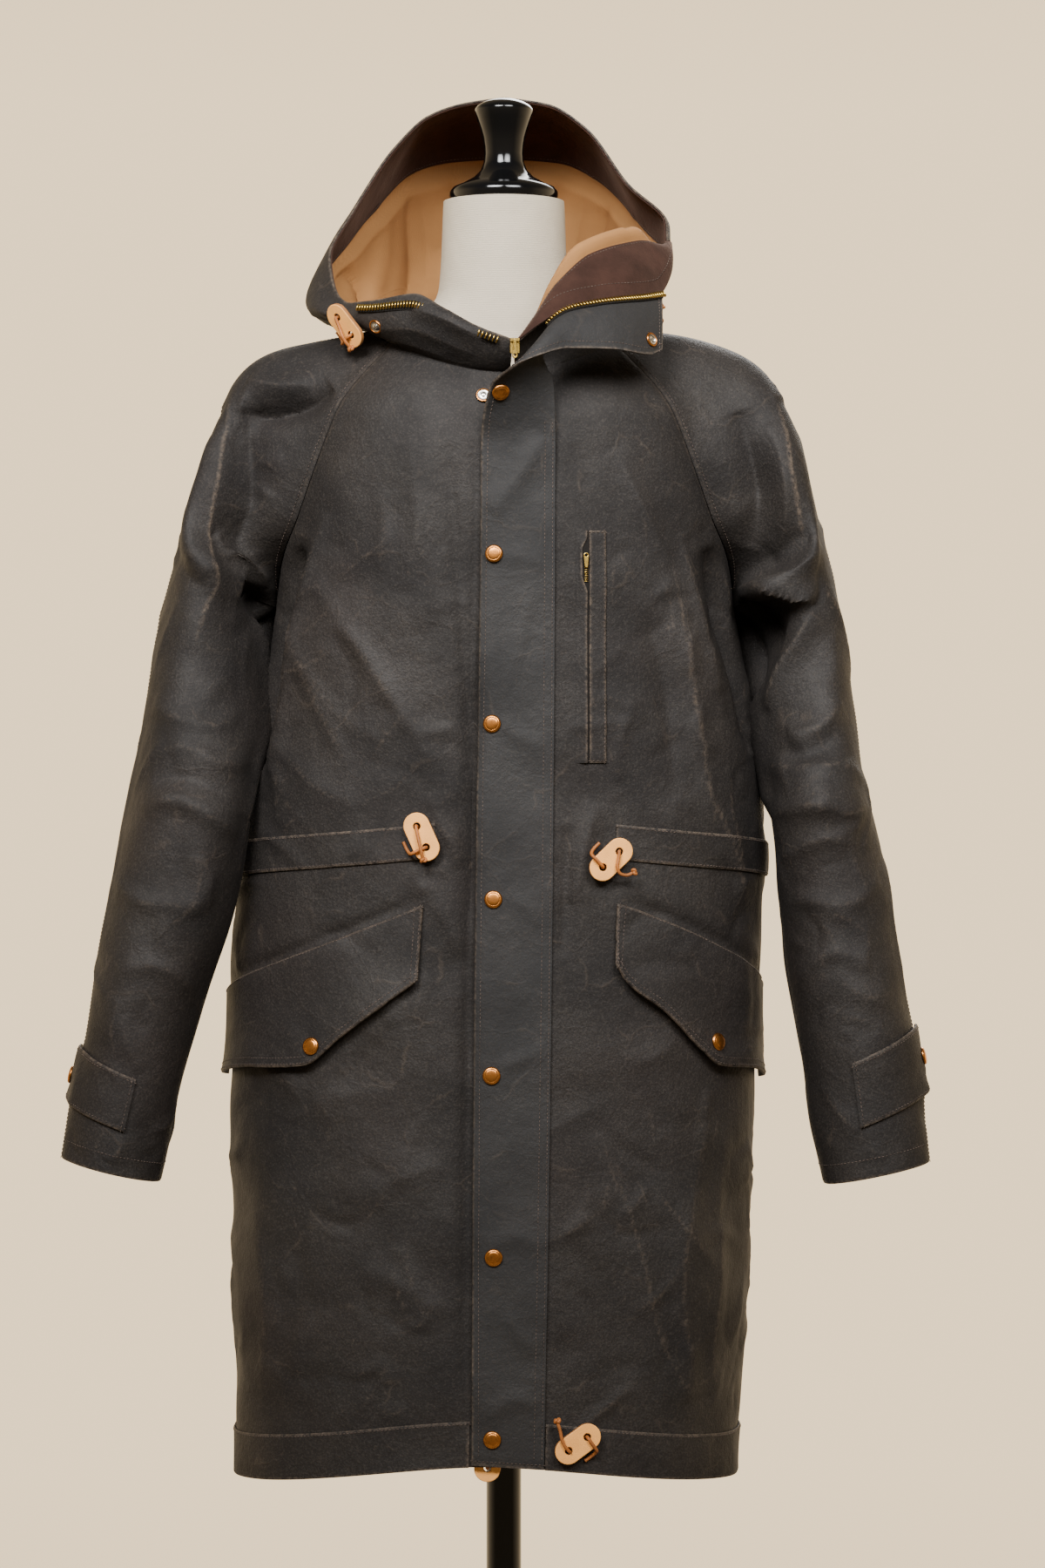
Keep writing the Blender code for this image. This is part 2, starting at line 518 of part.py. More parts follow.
def wall_between(name, outside, inside, look):
    """A closed wall between two grids of points."""
    rows, columns = outside.shape[:2]
    index = np.arange(rows * columns).reshape(rows, columns)
    quads = np.stack([index[:-1, :-1], index[:-1, 1:], index[1:, 1:], index[1:, :-1]], -1).reshape(-1, 4)
    faces = quads.tolist() + (quads[:, [0, 3, 2, 1]] + rows * columns).tolist()
    loop = np.concatenate([index[0, :-1], index[:-1, -1], index[-1, :0:-1], index[:0:-1, 0]])
    after = np.roll(loop, -1)
    faces += np.stack([after, loop, loop + rows * columns, after + rows * columns], -1).tolist()
    ahead = np.cross(outside[:-1, 1:] - outside[:-1, :-1], outside[1:, :-1] - outside[:-1, :-1])
    if np.sum((outside - inside)[:-1, :-1] * ahead) < 0:
        faces = [face[::-1] for face in faces]
    mesh = bpy.data.meshes.new(name)
    mesh.from_pydata(np.concatenate([outside.reshape(-1, 3), inside.reshape(-1, 3)]).tolist(), [], faces)
    mesh.shade_smooth()
    return add(name, mesh, look)


def wall(name, surface, u, v, look, lift=0.0, thick=CLOTH, outward=1, steps=(0.02, 0.002)):
    """A wall on a surface: its outside is lifted off the surface and its inside is one thickness deeper."""
    u, v = np.broadcast_arrays(np.asarray(u, float), np.asarray(v, float))
    spot, normal = with_normal(surface, u, v, outward, steps)
    return wall_between(name, spot + normal * lift, spot + normal * (lift - thick), look)


def grid_wall(name, grid, thick, look, outward=1):
    """A wall on a grid of points, for a piece that follows no single surface."""
    normal = outward * unit(np.cross(np.gradient(grid, axis=1), np.gradient(grid, axis=0)))
    return wall_between(name, grid, grid - normal * thick, look)


def placed(made, centre, ahead, up):
    """Stands an object at a place with its Z along one direction and its Y as near as can be to another."""
    z = Vector(ahead).normalized()
    x = Vector(up).cross(z).normalized()
    y = z.cross(x)
    for i, axis in enumerate((x, y, z)):
        for j in range(3):
            made.matrix_world[j][i] = axis[j]
    made.matrix_world.translation = centre
    return made


def turned(name, profile, look, steps=10):
    """A profile of radius and height turned about Z."""
    mesh = bpy.data.meshes.new(name)
    mesh.from_pydata([(r, 0, z) for r, z in profile], [(i, i + 1) for i in range(len(profile) - 1)], [])
    made = add(name, mesh, look)
    turn = made.modifiers.new("turn", "SCREW")
    turn.steps = turn.render_steps = steps
    turn.use_merge_vertices = True
    turn.merge_threshold = 0.00005
    return made


def plate(name, outlines, thick, look):
    """A flat plate from closed outlines: the first is its edge and the rest are holes."""
    curve = bpy.data.curves.new(name, "CURVE")
    curve.dimensions, curve.fill_mode, curve.extrude = "2D", "BOTH", thick / 2
    for outline in outlines:
        spline = curve.splines.new("POLY")
        spline.points.add(len(outline) - 1)
        spline.use_cyclic_u = True
        for spot, (x, y) in zip(spline.points, outline):
            spot.co = (x, y, 0, 1)
    return add(name, curve, look)


def cord(name, route, look):
    """A round cord through a route, with a knot that swells it near its free end."""
    curve = bpy.data.curves.new(name, "CURVE")
    curve.dimensions, curve.bevel_depth, curve.bevel_resolution = "3D", CORD_RADIUS, 1
    curve.use_fill_caps = True
    spline = curve.splines.new("POLY")
    spline.points.add(len(route) - 1)
    for spot, place in zip(spline.points, route):
        spot.co = (*place, 1)
    for spot, swell in zip(spline.points[-4:], (1.0, 2.0, 2.0, 1.0)):
        spot.radius = swell
    return add(name, curve, look)


def arc(centre, radius, start, end, count):
    return [
        (centre[0] + radius * math.cos(math.radians(a)), centre[1] + radius * math.sin(math.radians(a)))
        for a in np.linspace(start, end, count)
    ]


def snap(name, spot, normal, look):
    """A domed snap cap standing on a surface."""
    r, h = SNAP_RADIUS, SNAP_HEIGHT
    profile = [(0, h), (0.55 * r, 0.88 * h), (0.9 * r, 0.5 * h), (r, 0.2 * h), (r, 0), (0, 0)]
    return placed(turned(name, profile, look), spot + normal * GAP, normal, (0.1, 0.2, 1))


def make_looks():
    return {
        "wax": material("waxed_cotton", (0.040, 0.036, 0.032), 0.55),
        "moleskin": material("moleskin_facing", (0.060, 0.032, 0.023), 0.85),
        "lining": material("cotton_lining", (0.50, 0.30, 0.15), 0.85),
        "copper": material("antique_copper", (0.43, 0.16, 0.05), 0.38, 1.0),
        "brass": material("zip_brass", (0.66, 0.47, 0.14), 0.35, 1.0),
        "nickel": material("nickel_stud", (0.72, 0.70, 0.68), 0.30, 1.0),
        "leather": material("tan_leather", (0.80, 0.53, 0.28), 0.65),
        "cord": material("leather_cord", (0.42, 0.18, 0.055), 0.6),
        "tape": material("zip_tape", (0.020, 0.017, 0.015), 0.9),
        "linen": material("form_linen", (0.62, 0.55, 0.45), 0.9),
        "lacquer": material("black_lacquer", (0.006, 0.006, 0.006), 0.2),
    }


def front_turns(side, levels):
    """The columns of a front panel: angles from the zip to the side or raglan seam."""
    sign = SIDES[side]
    heights = body(0, levels)[:, 2]
    edge = front_turn(np.full_like(heights, ZIP_X + sign * ZIP_OPENING / 2), heights)
    seam = sign * (raglan_turn(levels, True) - np.degrees(GAP / 2 / 0.2))
    return edge[:, None] + (seam - edge)[:, None] * np.linspace(0, 1, 12)


def from_start(turns, start):
    """The angles of a front panel's columns from a start outwards."""
    return np.concatenate([[start], turns[np.sign(start) * turns > abs(start) + 1]])


def make_body(looks):
    levels = np.concatenate([[0], np.linspace(1, UNDERARM, 11)[:-1], RAGLAN_LEVELS])
    for side in SIDES:
        wall(f"front_{side}", body, front_turns(side, levels), levels[:, None], looks["wax"])
    seam = raglan_turn(levels, False) + np.degrees(GAP / 2 / 0.2)
    turns = seam[:, None] + (360 - 2 * seam)[:, None] * np.linspace(0, 1, 17)
    wall("back", body, turns, levels[:, None], looks["wax"])


def make_sleeves(looks):
    raglan = (NECKLINE - RAGLAN_LEVELS[:0:-1]) / (NECKLINE - UNDERARM) * SLEEVE_UNDERARM
    raglan[0] = 0.03
    along = np.concatenate([raglan, np.linspace(SLEEVE_UNDERARM, SLEEVE_CUFF, 15)])[:, None]
    for side, sign in SIDES.items():
        for half, toward, column in (("front", 1, 6), ("back", -1, 7)):
            start = 0.2 * GAP / SLEEVES[side].read(along)[column]
            around = toward * (start + (1 - start) * np.linspace(0, 1, 9))
            wall(
                f"sleeve_{side}_{half}", sleeve(side), around, along, looks["wax"],
                outward=sign, steps=(0.0002, 0.01),
            )


def make_hood(looks):
    inner_rise = np.array([0.03, 0.16, 0.30, 0.44, 0.57])
    rim_rise = np.array([0.70, 0.80, 0.90, 1.0])
    rise = np.concatenate([[0], inner_rise, rim_rise])
    steps = (0.05, 0.002)
    around = []
    for side, sign in SIDES.items():
        angles = np.linspace(0.25, HOODS[side].keys[-1], 18)
        wall(f"hood_{side}", hood(side), angles[:, None], rise, looks["wax"], outward=-sign, steps=steps)
        around.append(sign * angles)
    angles = np.concatenate([around[1][::-1], around[0]])[:, None]
    inside = -CLOTH - 1.7 * GAP
    wall("hood_facing", whole_hood, angles, rim_rise, looks["moleskin"], inside, FACING, -1, steps)
    seam, short = rim_rise[0], 0.01
    rate = np.linalg.norm(whole_hood(angles, seam) - whole_hood(angles, seam - short), axis=-1) / short
    lining_rise = np.concatenate([np.tile(inner_rise, (len(angles), 1)), seam - 2 * GAP / rate], axis=1)
    wall("hood_lining", whole_hood, angles, lining_rise, looks["lining"], inside, FACING, -1, steps)


def make_fly(looks):
    """The storm fly with its snap caps, and the zip's left run and the socket on its turned-back top."""
    grid = fly_grid(17, 19, np.linspace(0, 1, 5))
    grid_wall("storm_fly", grid, FOLDED_CLOTH, looks["wax"], outward=-1)
    for number, z in enumerate(FLY_SNAPS, 1):
        spot, normal = with_normal(front, np.array(FLY_SNAP_X), np.array(z), 1, (0.0005, 0.0005))
        snap(f"fly_snap_{number}", spot + normal * FLY_LIFT, normal, looks["copper"])
    inward = unit(np.cross(np.gradient(grid, axis=1), np.gradient(grid, axis=0)))
    snap("fly_snap_7", grid[19, 3] - inward[19, 3] * 0.0006, -inward[19, 3], looks["copper"])
    face = (grid + inward * FOLDED_CLOTH)[25:]
    strip = face[:, :1] + (face[:, 1:2] - face[:, :1]) * np.array([0.08, 0.62])[:, None]
    tape = 0.0012
    grid_wall("zip_collar_left", strip + inward[25:, :2] * (tape + 2 * GAP), tape, looks["tape"])
    ring("lapel_socket", face[8, 3] + inward[33, 3] * 0.0004, inward[33, 3], looks["nickel"])


def make_trim(looks):
    """Waist casings, pocket flaps and hem bands, each on the points of the panel under it."""
    fine = (0.02, 0.0005)
    for side, sign in SIDES.items():
        table = CASINGS[side]
        turns = from_start(front_turns(side, np.array([4.0]))[0], sign * table.keys[0])
        heights = table.read(np.abs(turns))[1] + np.array([[-0.5], [0.5]]) * CASING_HEIGHT
        wall(f"casing_{side}", body_at, turns, heights, looks["wax"], CASING_LIFT, 0.0014, steps=fine)
        flap = FLAPS[side]
        turns = np.linspace(flap.keys[0], flap.keys[-1], 13)
        _, top, bottom = flap.read(turns)
        heights = bottom + (top - bottom) * np.linspace(0, 1, 4)[:, None]
        turns = sign * turns
        wall(f"flap_{side}", body_at, turns, heights, looks["wax"], FLAP_LIFT, FOLDED_CLOTH, steps=fine)
        start = front_turn(np.array(HEM_START[side]), np.array(0.53))
        turns = [from_start(row, start) for row in front_turns(side, np.array([0.0, 1.0]))]
        wall(f"hem_{side}", body, turns, np.array([[0.0], [1.0]]), looks["wax"], CASING_LIFT, 0.0014)
    side_gap = np.degrees(GAP / 2 / 0.2)
    turns = np.linspace(90 + side_gap, 270 - side_gap, 17)
    wall("hem_back", body, turns, np.array([[0.0], [1.0]]), looks["wax"], CASING_LIFT, 0.0014)
    heights = 1.009 + np.array([[-0.5], [0.5]]) * CASING_HEIGHT + 0 * turns
    wall("casing_back", body_at, turns, heights, looks["wax"], CASING_LIFT, 0.0014, steps=fine)


def make_chest_pocket(looks):
    heights = np.linspace(*CHEST_Z, 6)[:, None]
    left, middle, right = CHEST_X
    small = (0.0005, 0.0005)
    welt, strip = np.linspace(middle + GAP, right, 3), np.linspace(left, middle, 2)
    wall("chest_welt", front, welt, heights, looks["wax"], 0.0022, 0.0016, steps=small)
    wall("chest_zip", front, strip, heights, looks["tape"], 0.0014, 0.0008, steps=small)
    centre = moved_out(front, (left + middle) / 2, CHEST_Z[1] - 0.026, 0.0016 + GAP)
    normal = with_normal(front, np.array((left + middle) / 2), np.array(CHEST_Z[1] - 0.026), 1, small)[1]
    outline = arc((0, 0.006), 0.0026, 0, 180, 7) + arc((0, -0.006), 0.0026, 180, 360, 7)
    made = plate("chest_slider", [outline, arc((0, 0.0062), 0.0012, 0, 315, 8)], 0.002, looks["brass"])
    placed(made, centre + normal * 0.001, normal, (0, 0, 1))


def make_zip(looks):
    small = (0.0005, 0.0005)
    heights = np.linspace(0.53, 1.405, 12)[:, None]
    across = ZIP_X + np.linspace(-0.5, 0.5, 3) * ZIP_TAPE
    wall("zip_closed", front, across, heights, looks["tape"], -CLOTH - GAP, 0.0012, steps=small)
    angles = np.linspace(122, 178, 12)[:, None]
    wall(
        "zip_collar_right", hood("right"), angles, np.array([0.84, 0.93]), looks["tape"],
        lift=0.0016, thick=0.0010, outward=1, steps=(0.05, 0.002),
    )
    outline = [
        (-0.0026, -0.0060), (0.0026, -0.0060), (0.0026, 0.0035),
        (0.0055, 0.0035), (0.0055, 0.0060), (-0.0026, 0.0060),
    ]
    made = plate("zip_slider", [outline], 0.0080, looks["brass"])
    placed(made, SLIDER, (-1, 0, 0), (0, 0, 1))
    leaf = arc((0, 0), 0.0012, 0, 180, 7) + arc((0, -0.0125), 0.0024, 180, 360, 7)
    made = plate("zip_pull", [leaf], 0.0014, looks["brass"])
    placed(made, PULL_HINGE, (0, -1, 0), (0, 0, 1))


def make_straps(looks):
    for side, sign in SIDES.items():
        around, upper, lower, lift = STRAP.read(np.linspace(0, 4, 11))
        along = upper + (lower - upper) * np.array([[0.0], [0.5], [1.0]])
        spot, normal = with_normal(sleeve(side), around + 0 * along, along, sign, (0.0002, 0.01))
        outside = spot + normal * lift[:, None]
        wall_between(f"cuff_tab_{side}", outside, outside - normal * 0.0018, looks["wax"])
        snap(f"cuff_snap_{side}", outside[1, 7], normal[1, 7], looks["copper"])


def make_studs(looks):
    small = (0.0005, 0.0005)
    for side, sign in SIDES.items():
        turn, z = FLAP_SNAPS[side]
        spot, normal = with_normal(body_at, np.array(sign * turn), np.array(z), 1, (0.02, 0.0005))
        snap(f"flap_snap_{side}", spot + normal * FLAP_LIFT, normal, looks["copper"])
    spot, normal = with_normal(hood("right"), np.array(129.0), np.array(0.62), 1, (0.05, 0.002))
    ring("collar_stud", spot, normal, looks["nickel"])
    spot, normal = with_normal(front, np.array(-0.0165), np.array(1.3975), 1, small)
    ring("neck_stud", spot, normal, looks["nickel"])


def ring(name, spot, normal, look):
    """A press stud's bare ring with a raised middle."""
    r = 0.0062
    profile = [(0, 0.0022), (0.0022, 0.0020), (0.0026, 0.0008), (0.0048, 0.0010), (r, 0.0008), (r, 0), (0, 0)]
    made = turned(name, profile, look)
    return placed(made, spot + normal * GAP, normal, (0.1, 0.2, 1))


def toggle(name, centre, normal, along, free, looks):
    """A leather toggle with two holes, and the cord that runs through it to a knot."""
    half, radius = TOGGLE_LENGTH / 2 - TOGGLE_WIDTH / 2, TOGGLE_WIDTH / 2
    outline = arc((half, 0), radius, -90, 90, 8) + arc((-half, 0), radius, 90, 270, 8)
    holes = [arc((s * TOGGLE_HOLE_APART / 2, 0), TOGGLE_HOLE, 0, 320, 9) for s in (-1, 1)]
    made = plate(f"{name}_toggle", [outline] + holes, TOGGLE_THICKNESS, looks["leather"])
    z = Vector(normal).normalized()
    y = z.cross(Vector(along)).normalized()
    placed(made, centre, z, y)
    x = y.cross(z)
    route = np.array(TOGGLE_ROUTE + free)
    frame = np.array([x, y, z])
    cord(f"{name}_cord", centre + route / 1000 @ frame, looks["cord"])


def make_toggles(looks):
    small = (0.0005, 0.0005)
    for name, row in TOGGLES.items():
        spot, normal = with_normal(front, np.array(row["x"]), np.array(row["z"]), 1, small)
        toggle(name, spot + normal * TOGGLE_LIFT, normal, row["long"], row["free"], looks)
    for name, row in HOOD_TOGGLES.items():
        toggle(name, np.array(row["middle"]), row["face"], row["long"], TOGGLES["waist_right"]["free"], looks)
    spot, normal = with_normal(front, np.array(-0.012), np.array(0.522), 1, small)
    inside = spot - normal * (CLOTH + TOGGLE_LIFT - 0.0018) - np.array([0, 0, 0.004])
    toggle("hem_right", inside, -normal, (0.10, 0, 0.99), TOGGLES["waist_right"]["free"], looks)


def make_form(looks):
    count = 18
    around = np.linspace(0, 2 * math.pi, count, endpoint=False)
    below = np.append(np.linspace(TORSO_BOTTOM, 1.35, 9), 1.385)
    heights = np.concatenate([below, FORM.keys[6:9], [1.4622], FORM.keys[9:]])
    _, half, ahead, behind, square = FORM.read(heights)[:, :, None]
    sine, cosine = np.sin(around), np.cos(around)
    depth = np.where(cosine >= 0, ahead, behind)
    reach = ((np.abs(sine) / half) ** square + (np.abs(cosine) / depth) ** square) ** (-1 / square)
    rings = points(reach * sine, -reach * cosine, heights[:, None])
    index = np.arange(len(heights) * count).reshape(len(heights), count)
    after = np.roll(index, -1, axis=1)
    faces = np.stack([index[:-1], after[:-1], after[1:], index[1:]], -1).reshape(-1, 4).tolist()
    faces += [index[0, ::-1].tolist(), index[-1].tolist()]
    mesh = bpy.data.meshes.new("form_torso")
    mesh.from_pydata(rings.reshape(-1, 3).tolist(), [], faces)
    mesh.shade_smooth()
    add("form_torso", mesh, looks["linen"])
    cap = [
        (0, CAP_TOP), (0.012, CAP_TOP - 0.001), (0.021, CAP_TOP - 0.005), (0.0250, CAP_TOP - 0.010),
        (0.0246, CAP_TOP - 0.013), (0.0185, CAP_TOP - 0.034), (0.0168, CAP_TOP - 0.048),
        (0.0200, CAP_TOP - 0.062),
        (0.044, NECK_TOP + 0.012), (0.047, NECK_TOP + 0.006), (0.046, NECK_TOP + GAP), (0, NECK_TOP + GAP),
    ]
    turned("form_cap", cap, looks["lacquer"], 18)
    r = POLE_RADIUS
    top, foot = TORSO_BOTTOM - GAP, BASE_HEIGHT + 0.034
    turned("form_pole", [(0, top), (r, top), (r, foot), (0, foot)], looks["lacquer"], 24)
    base = [
        (0, BASE_HEIGHT + 0.034 - GAP), (0.024, BASE_HEIGHT + 0.034 - GAP), (0.028, BASE_HEIGHT + 0.030),
        (0.034, BASE_HEIGHT + 0.006), (0.060, BASE_HEIGHT), (BASE_RADIUS - 0.006, BASE_HEIGHT - 0.003),
        (BASE_RADIUS, BASE_HEIGHT - 0.007), (BASE_RADIUS, 0.0), (0, 0.0),
    ]
    turned("form_base", base, looks["lacquer"], 30)


def main():
    for old in list(bpy.data.objects):
        bpy.data.objects.remove(old)
    for old in list(bpy.data.collections):
        bpy.data.collections.remove(old)
    bpy.context.scene.collection.children.link(bpy.data.collections.new(PART_NAME))
    looks = make_looks()
    make_body(looks)
    make_sleeves(looks)
    make_hood(looks)
    make_fly(looks)
    make_trim(looks)
    make_chest_pocket(looks)
    make_zip(looks)
    make_straps(looks)
    make_studs(looks)
    make_toggles(looks)
    make_form(looks)


main()
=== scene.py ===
"""Looks of the waxed parka on its dress form, laid out as an add-on and run as a script.

Metres, +Z up, the front faces -Y and +X is the wearer's left. Each cloth piece follows the same tables as its
solid, on a finer grid, with creases laid on.
"""

import json
import math
from functools import cache

import bpy
import numpy as np
from bpy.props import FloatProperty, FloatVectorProperty, IntProperty, PointerProperty
from mathutils import Vector
from mathutils.kdtree import KDTree
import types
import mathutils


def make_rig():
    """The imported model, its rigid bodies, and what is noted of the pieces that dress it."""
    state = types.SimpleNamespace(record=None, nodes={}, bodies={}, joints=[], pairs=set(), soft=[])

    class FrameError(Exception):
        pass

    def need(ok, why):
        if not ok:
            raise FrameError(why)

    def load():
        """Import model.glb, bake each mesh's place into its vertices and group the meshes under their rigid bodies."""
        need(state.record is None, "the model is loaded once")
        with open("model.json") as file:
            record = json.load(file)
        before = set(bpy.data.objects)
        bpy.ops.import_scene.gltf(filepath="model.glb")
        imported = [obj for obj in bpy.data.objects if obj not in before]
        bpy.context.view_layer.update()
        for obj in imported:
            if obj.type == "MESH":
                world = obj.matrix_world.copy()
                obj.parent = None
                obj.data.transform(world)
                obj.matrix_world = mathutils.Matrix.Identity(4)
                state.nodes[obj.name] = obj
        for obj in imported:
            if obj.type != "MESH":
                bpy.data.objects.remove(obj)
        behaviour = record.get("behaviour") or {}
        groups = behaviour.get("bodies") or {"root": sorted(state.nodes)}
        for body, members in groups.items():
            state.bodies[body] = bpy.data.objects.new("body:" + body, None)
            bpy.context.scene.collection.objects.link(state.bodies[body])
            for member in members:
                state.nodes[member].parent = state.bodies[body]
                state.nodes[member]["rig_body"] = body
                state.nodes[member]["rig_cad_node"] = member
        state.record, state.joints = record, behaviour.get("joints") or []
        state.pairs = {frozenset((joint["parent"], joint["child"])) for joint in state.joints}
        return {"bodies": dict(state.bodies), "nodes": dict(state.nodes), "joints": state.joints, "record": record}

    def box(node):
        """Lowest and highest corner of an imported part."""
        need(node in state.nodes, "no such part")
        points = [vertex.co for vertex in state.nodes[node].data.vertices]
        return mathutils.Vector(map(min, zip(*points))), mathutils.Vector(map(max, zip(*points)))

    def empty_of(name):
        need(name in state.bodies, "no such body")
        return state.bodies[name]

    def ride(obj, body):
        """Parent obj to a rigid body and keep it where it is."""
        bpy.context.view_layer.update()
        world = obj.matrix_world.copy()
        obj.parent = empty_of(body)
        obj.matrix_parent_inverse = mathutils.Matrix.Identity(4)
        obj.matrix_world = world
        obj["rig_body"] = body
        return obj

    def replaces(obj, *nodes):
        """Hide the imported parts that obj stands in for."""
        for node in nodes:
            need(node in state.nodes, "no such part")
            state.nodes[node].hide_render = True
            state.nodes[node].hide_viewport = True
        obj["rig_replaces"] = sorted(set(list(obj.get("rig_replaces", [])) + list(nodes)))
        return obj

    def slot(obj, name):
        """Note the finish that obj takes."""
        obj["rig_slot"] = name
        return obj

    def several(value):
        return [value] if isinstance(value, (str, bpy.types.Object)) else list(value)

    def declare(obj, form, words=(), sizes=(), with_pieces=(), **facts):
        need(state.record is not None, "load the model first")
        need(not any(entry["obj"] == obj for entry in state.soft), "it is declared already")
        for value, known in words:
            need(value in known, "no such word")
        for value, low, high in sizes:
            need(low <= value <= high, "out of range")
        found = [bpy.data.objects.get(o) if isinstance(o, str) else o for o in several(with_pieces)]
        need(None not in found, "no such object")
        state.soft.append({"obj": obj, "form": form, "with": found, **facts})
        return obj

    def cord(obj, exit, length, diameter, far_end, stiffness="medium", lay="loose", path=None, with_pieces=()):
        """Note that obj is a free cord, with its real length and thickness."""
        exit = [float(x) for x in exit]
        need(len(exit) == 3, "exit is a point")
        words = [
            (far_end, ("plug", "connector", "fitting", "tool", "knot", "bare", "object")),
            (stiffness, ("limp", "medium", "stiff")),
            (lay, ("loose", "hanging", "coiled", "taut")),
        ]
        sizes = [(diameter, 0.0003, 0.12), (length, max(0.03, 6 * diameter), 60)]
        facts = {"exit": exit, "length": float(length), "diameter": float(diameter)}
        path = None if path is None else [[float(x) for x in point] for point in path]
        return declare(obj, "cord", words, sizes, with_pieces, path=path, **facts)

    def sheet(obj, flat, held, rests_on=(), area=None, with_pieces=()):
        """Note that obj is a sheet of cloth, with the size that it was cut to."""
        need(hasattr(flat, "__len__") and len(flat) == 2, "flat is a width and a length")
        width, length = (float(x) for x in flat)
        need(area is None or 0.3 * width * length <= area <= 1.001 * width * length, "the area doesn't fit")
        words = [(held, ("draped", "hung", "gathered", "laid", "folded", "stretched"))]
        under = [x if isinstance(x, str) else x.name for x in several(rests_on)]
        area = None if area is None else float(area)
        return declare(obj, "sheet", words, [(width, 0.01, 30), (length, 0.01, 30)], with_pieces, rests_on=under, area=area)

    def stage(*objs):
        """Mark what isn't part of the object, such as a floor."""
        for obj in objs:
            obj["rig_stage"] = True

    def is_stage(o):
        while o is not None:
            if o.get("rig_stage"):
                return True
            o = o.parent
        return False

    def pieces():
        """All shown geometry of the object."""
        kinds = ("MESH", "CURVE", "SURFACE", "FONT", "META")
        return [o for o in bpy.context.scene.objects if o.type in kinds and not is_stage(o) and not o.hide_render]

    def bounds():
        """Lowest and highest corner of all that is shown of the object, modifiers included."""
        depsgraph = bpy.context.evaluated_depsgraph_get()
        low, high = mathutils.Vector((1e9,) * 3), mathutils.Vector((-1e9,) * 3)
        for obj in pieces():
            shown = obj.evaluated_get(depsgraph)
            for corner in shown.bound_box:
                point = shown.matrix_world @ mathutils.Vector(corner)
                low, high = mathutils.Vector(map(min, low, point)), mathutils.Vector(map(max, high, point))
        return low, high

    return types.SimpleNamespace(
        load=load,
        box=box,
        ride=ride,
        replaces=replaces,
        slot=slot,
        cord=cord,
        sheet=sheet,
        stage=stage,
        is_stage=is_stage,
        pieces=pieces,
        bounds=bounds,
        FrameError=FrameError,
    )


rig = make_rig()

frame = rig.load()
CAD_BOX = [list(corner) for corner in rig.bounds()]

bl_info = {
    "name": "Waxed parka",
    "version": (1, 0, 0),
    "blender": (4, 5, 0),
    "location": "View3D > Sidebar > Parka",
    "description": "Dresses the parka's solids in waxed cloth, thread, leather and metal",
    "category": "Object",
}

COAT = "coat_on_form"
PULL = "pull_tab"
SIZE_FILE = "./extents.json"
# How far each sleeve is drawn in to the body at the underarm, beyond its solid, and between which rings
UNDERARM_CLOSE = {"left": 0.0070, "right": 0.0030}
CLOSE_RINGS = (5.60, 7.95)
# How far the underarm seam is set back there, so that the armpit is a deep dark fold
UNDERARM_BACK = {"left": 0.062, "right": 0.038}
# Half the width of a line rubbed pale on a crease
WEAR_WIDTH = 0.0018
# How much the free edges and the seams are rubbed, and how far from a seam its ridge is
EDGE_WEAR = 0.75
SEAM_WEAR = 0.30
SEAM_RIDGE = 0.002
# How deep a sewn edge dips into its seam and how wide
SEAM_DIP = 0.0006
SEAM_DIP_WIDTH = 0.0035
# How deep and how wide a free edge is rounded, as shares of the cloth's thickness
EDGE_DEPTH = 0.40
EDGE_WIDTH = 0.7
# Distance from the seams within which creases and slack fade out
SEAM_FADE = 0.022
# A crease's section: its round and its sharp share, how fast the sharp one falls, and the taper to its ends
CREASE_ROUND = 0.55
CREASE_SHARP = 0.45
CREASE_FALL = 2.2
CREASE_TAPER = 0.6
# Half widths that a crease reaches, the distance between its points, and spots of cloth handled at once
CREASE_REACH = 3
CREASE_STEP = 0.002
SPOTS_AT_ONCE = 4000
# Small creases: length, height, half width, bend as a share of the length, and the most wear
SMALL_LENGTH = (0.025, 0.085)
SMALL_HEIGHT = (0.0007, 0.0024)
SMALL_HALF_WIDTH = (0.005, 0.012)
SMALL_BEND = 0.12
SMALL_WEAR = 0.40
# Where small creases are strewn on the body, from corner to corner by angle and height, and how many times
SMALL_PATCHES = (((-88, 0.55), (-16, 1.30), 1), ((22, 0.55), (88, 1.30), 1), ((92, 0.55), (268, 1.36), 2))
# The same on a sleeve, by place around and along, and how much a metre is in either pair of coordinates
SMALL_SLEEVE = ((-0.9, 3.0), (0.9, 12.6))
BODY_PER_METRE = (300.0, 1.0)
SLEEVE_PER_METRE = (5.0, 13.0)
# Lengths of the waves of slack and the middle one, and how much less the waves run up and down
SLACK_WAVES = (0.19, 0.13, 0.13, 0.09, 0.09, 0.06, 0.06)
SLACK_MIDDLE = 0.13
SLACK_WAYS = (1, 1, 0.6)
# How far the fly's free edge stands off between two snaps
FLY_LOOSE = 0.0035
# How far a flap stands off at its bottom
FLAP_LOOSE = 0.0065
# How far the lining puffs out
LINING_PUFF = 0.010
# How far the collar is tucked down behind the neckline
NECK_TUCK = 0.010
# How far a row of stitches is lifted off its cloth, and how far rows run from the edges that they follow
THREAD_LIFT = 0.0001
RAGLAN_INSET = 0.005
OVERARM_INSET = 0.004
CUFF_INSET = 0.016
FACING_INSETS = {"l": 0.0025, "r": 0.014}
TRIM_INSET = 0.002
FLAP_INSET = 0.0075
STRAP_INSET = 0.003
# The rise at which the hood's facing starts, and how far it goes on from there
FACING_RISE = 0.70
FACING_REACH = 0.30
# The least area that a sheet states, as a share of its width times its length
LEAST_AREA = 0.31
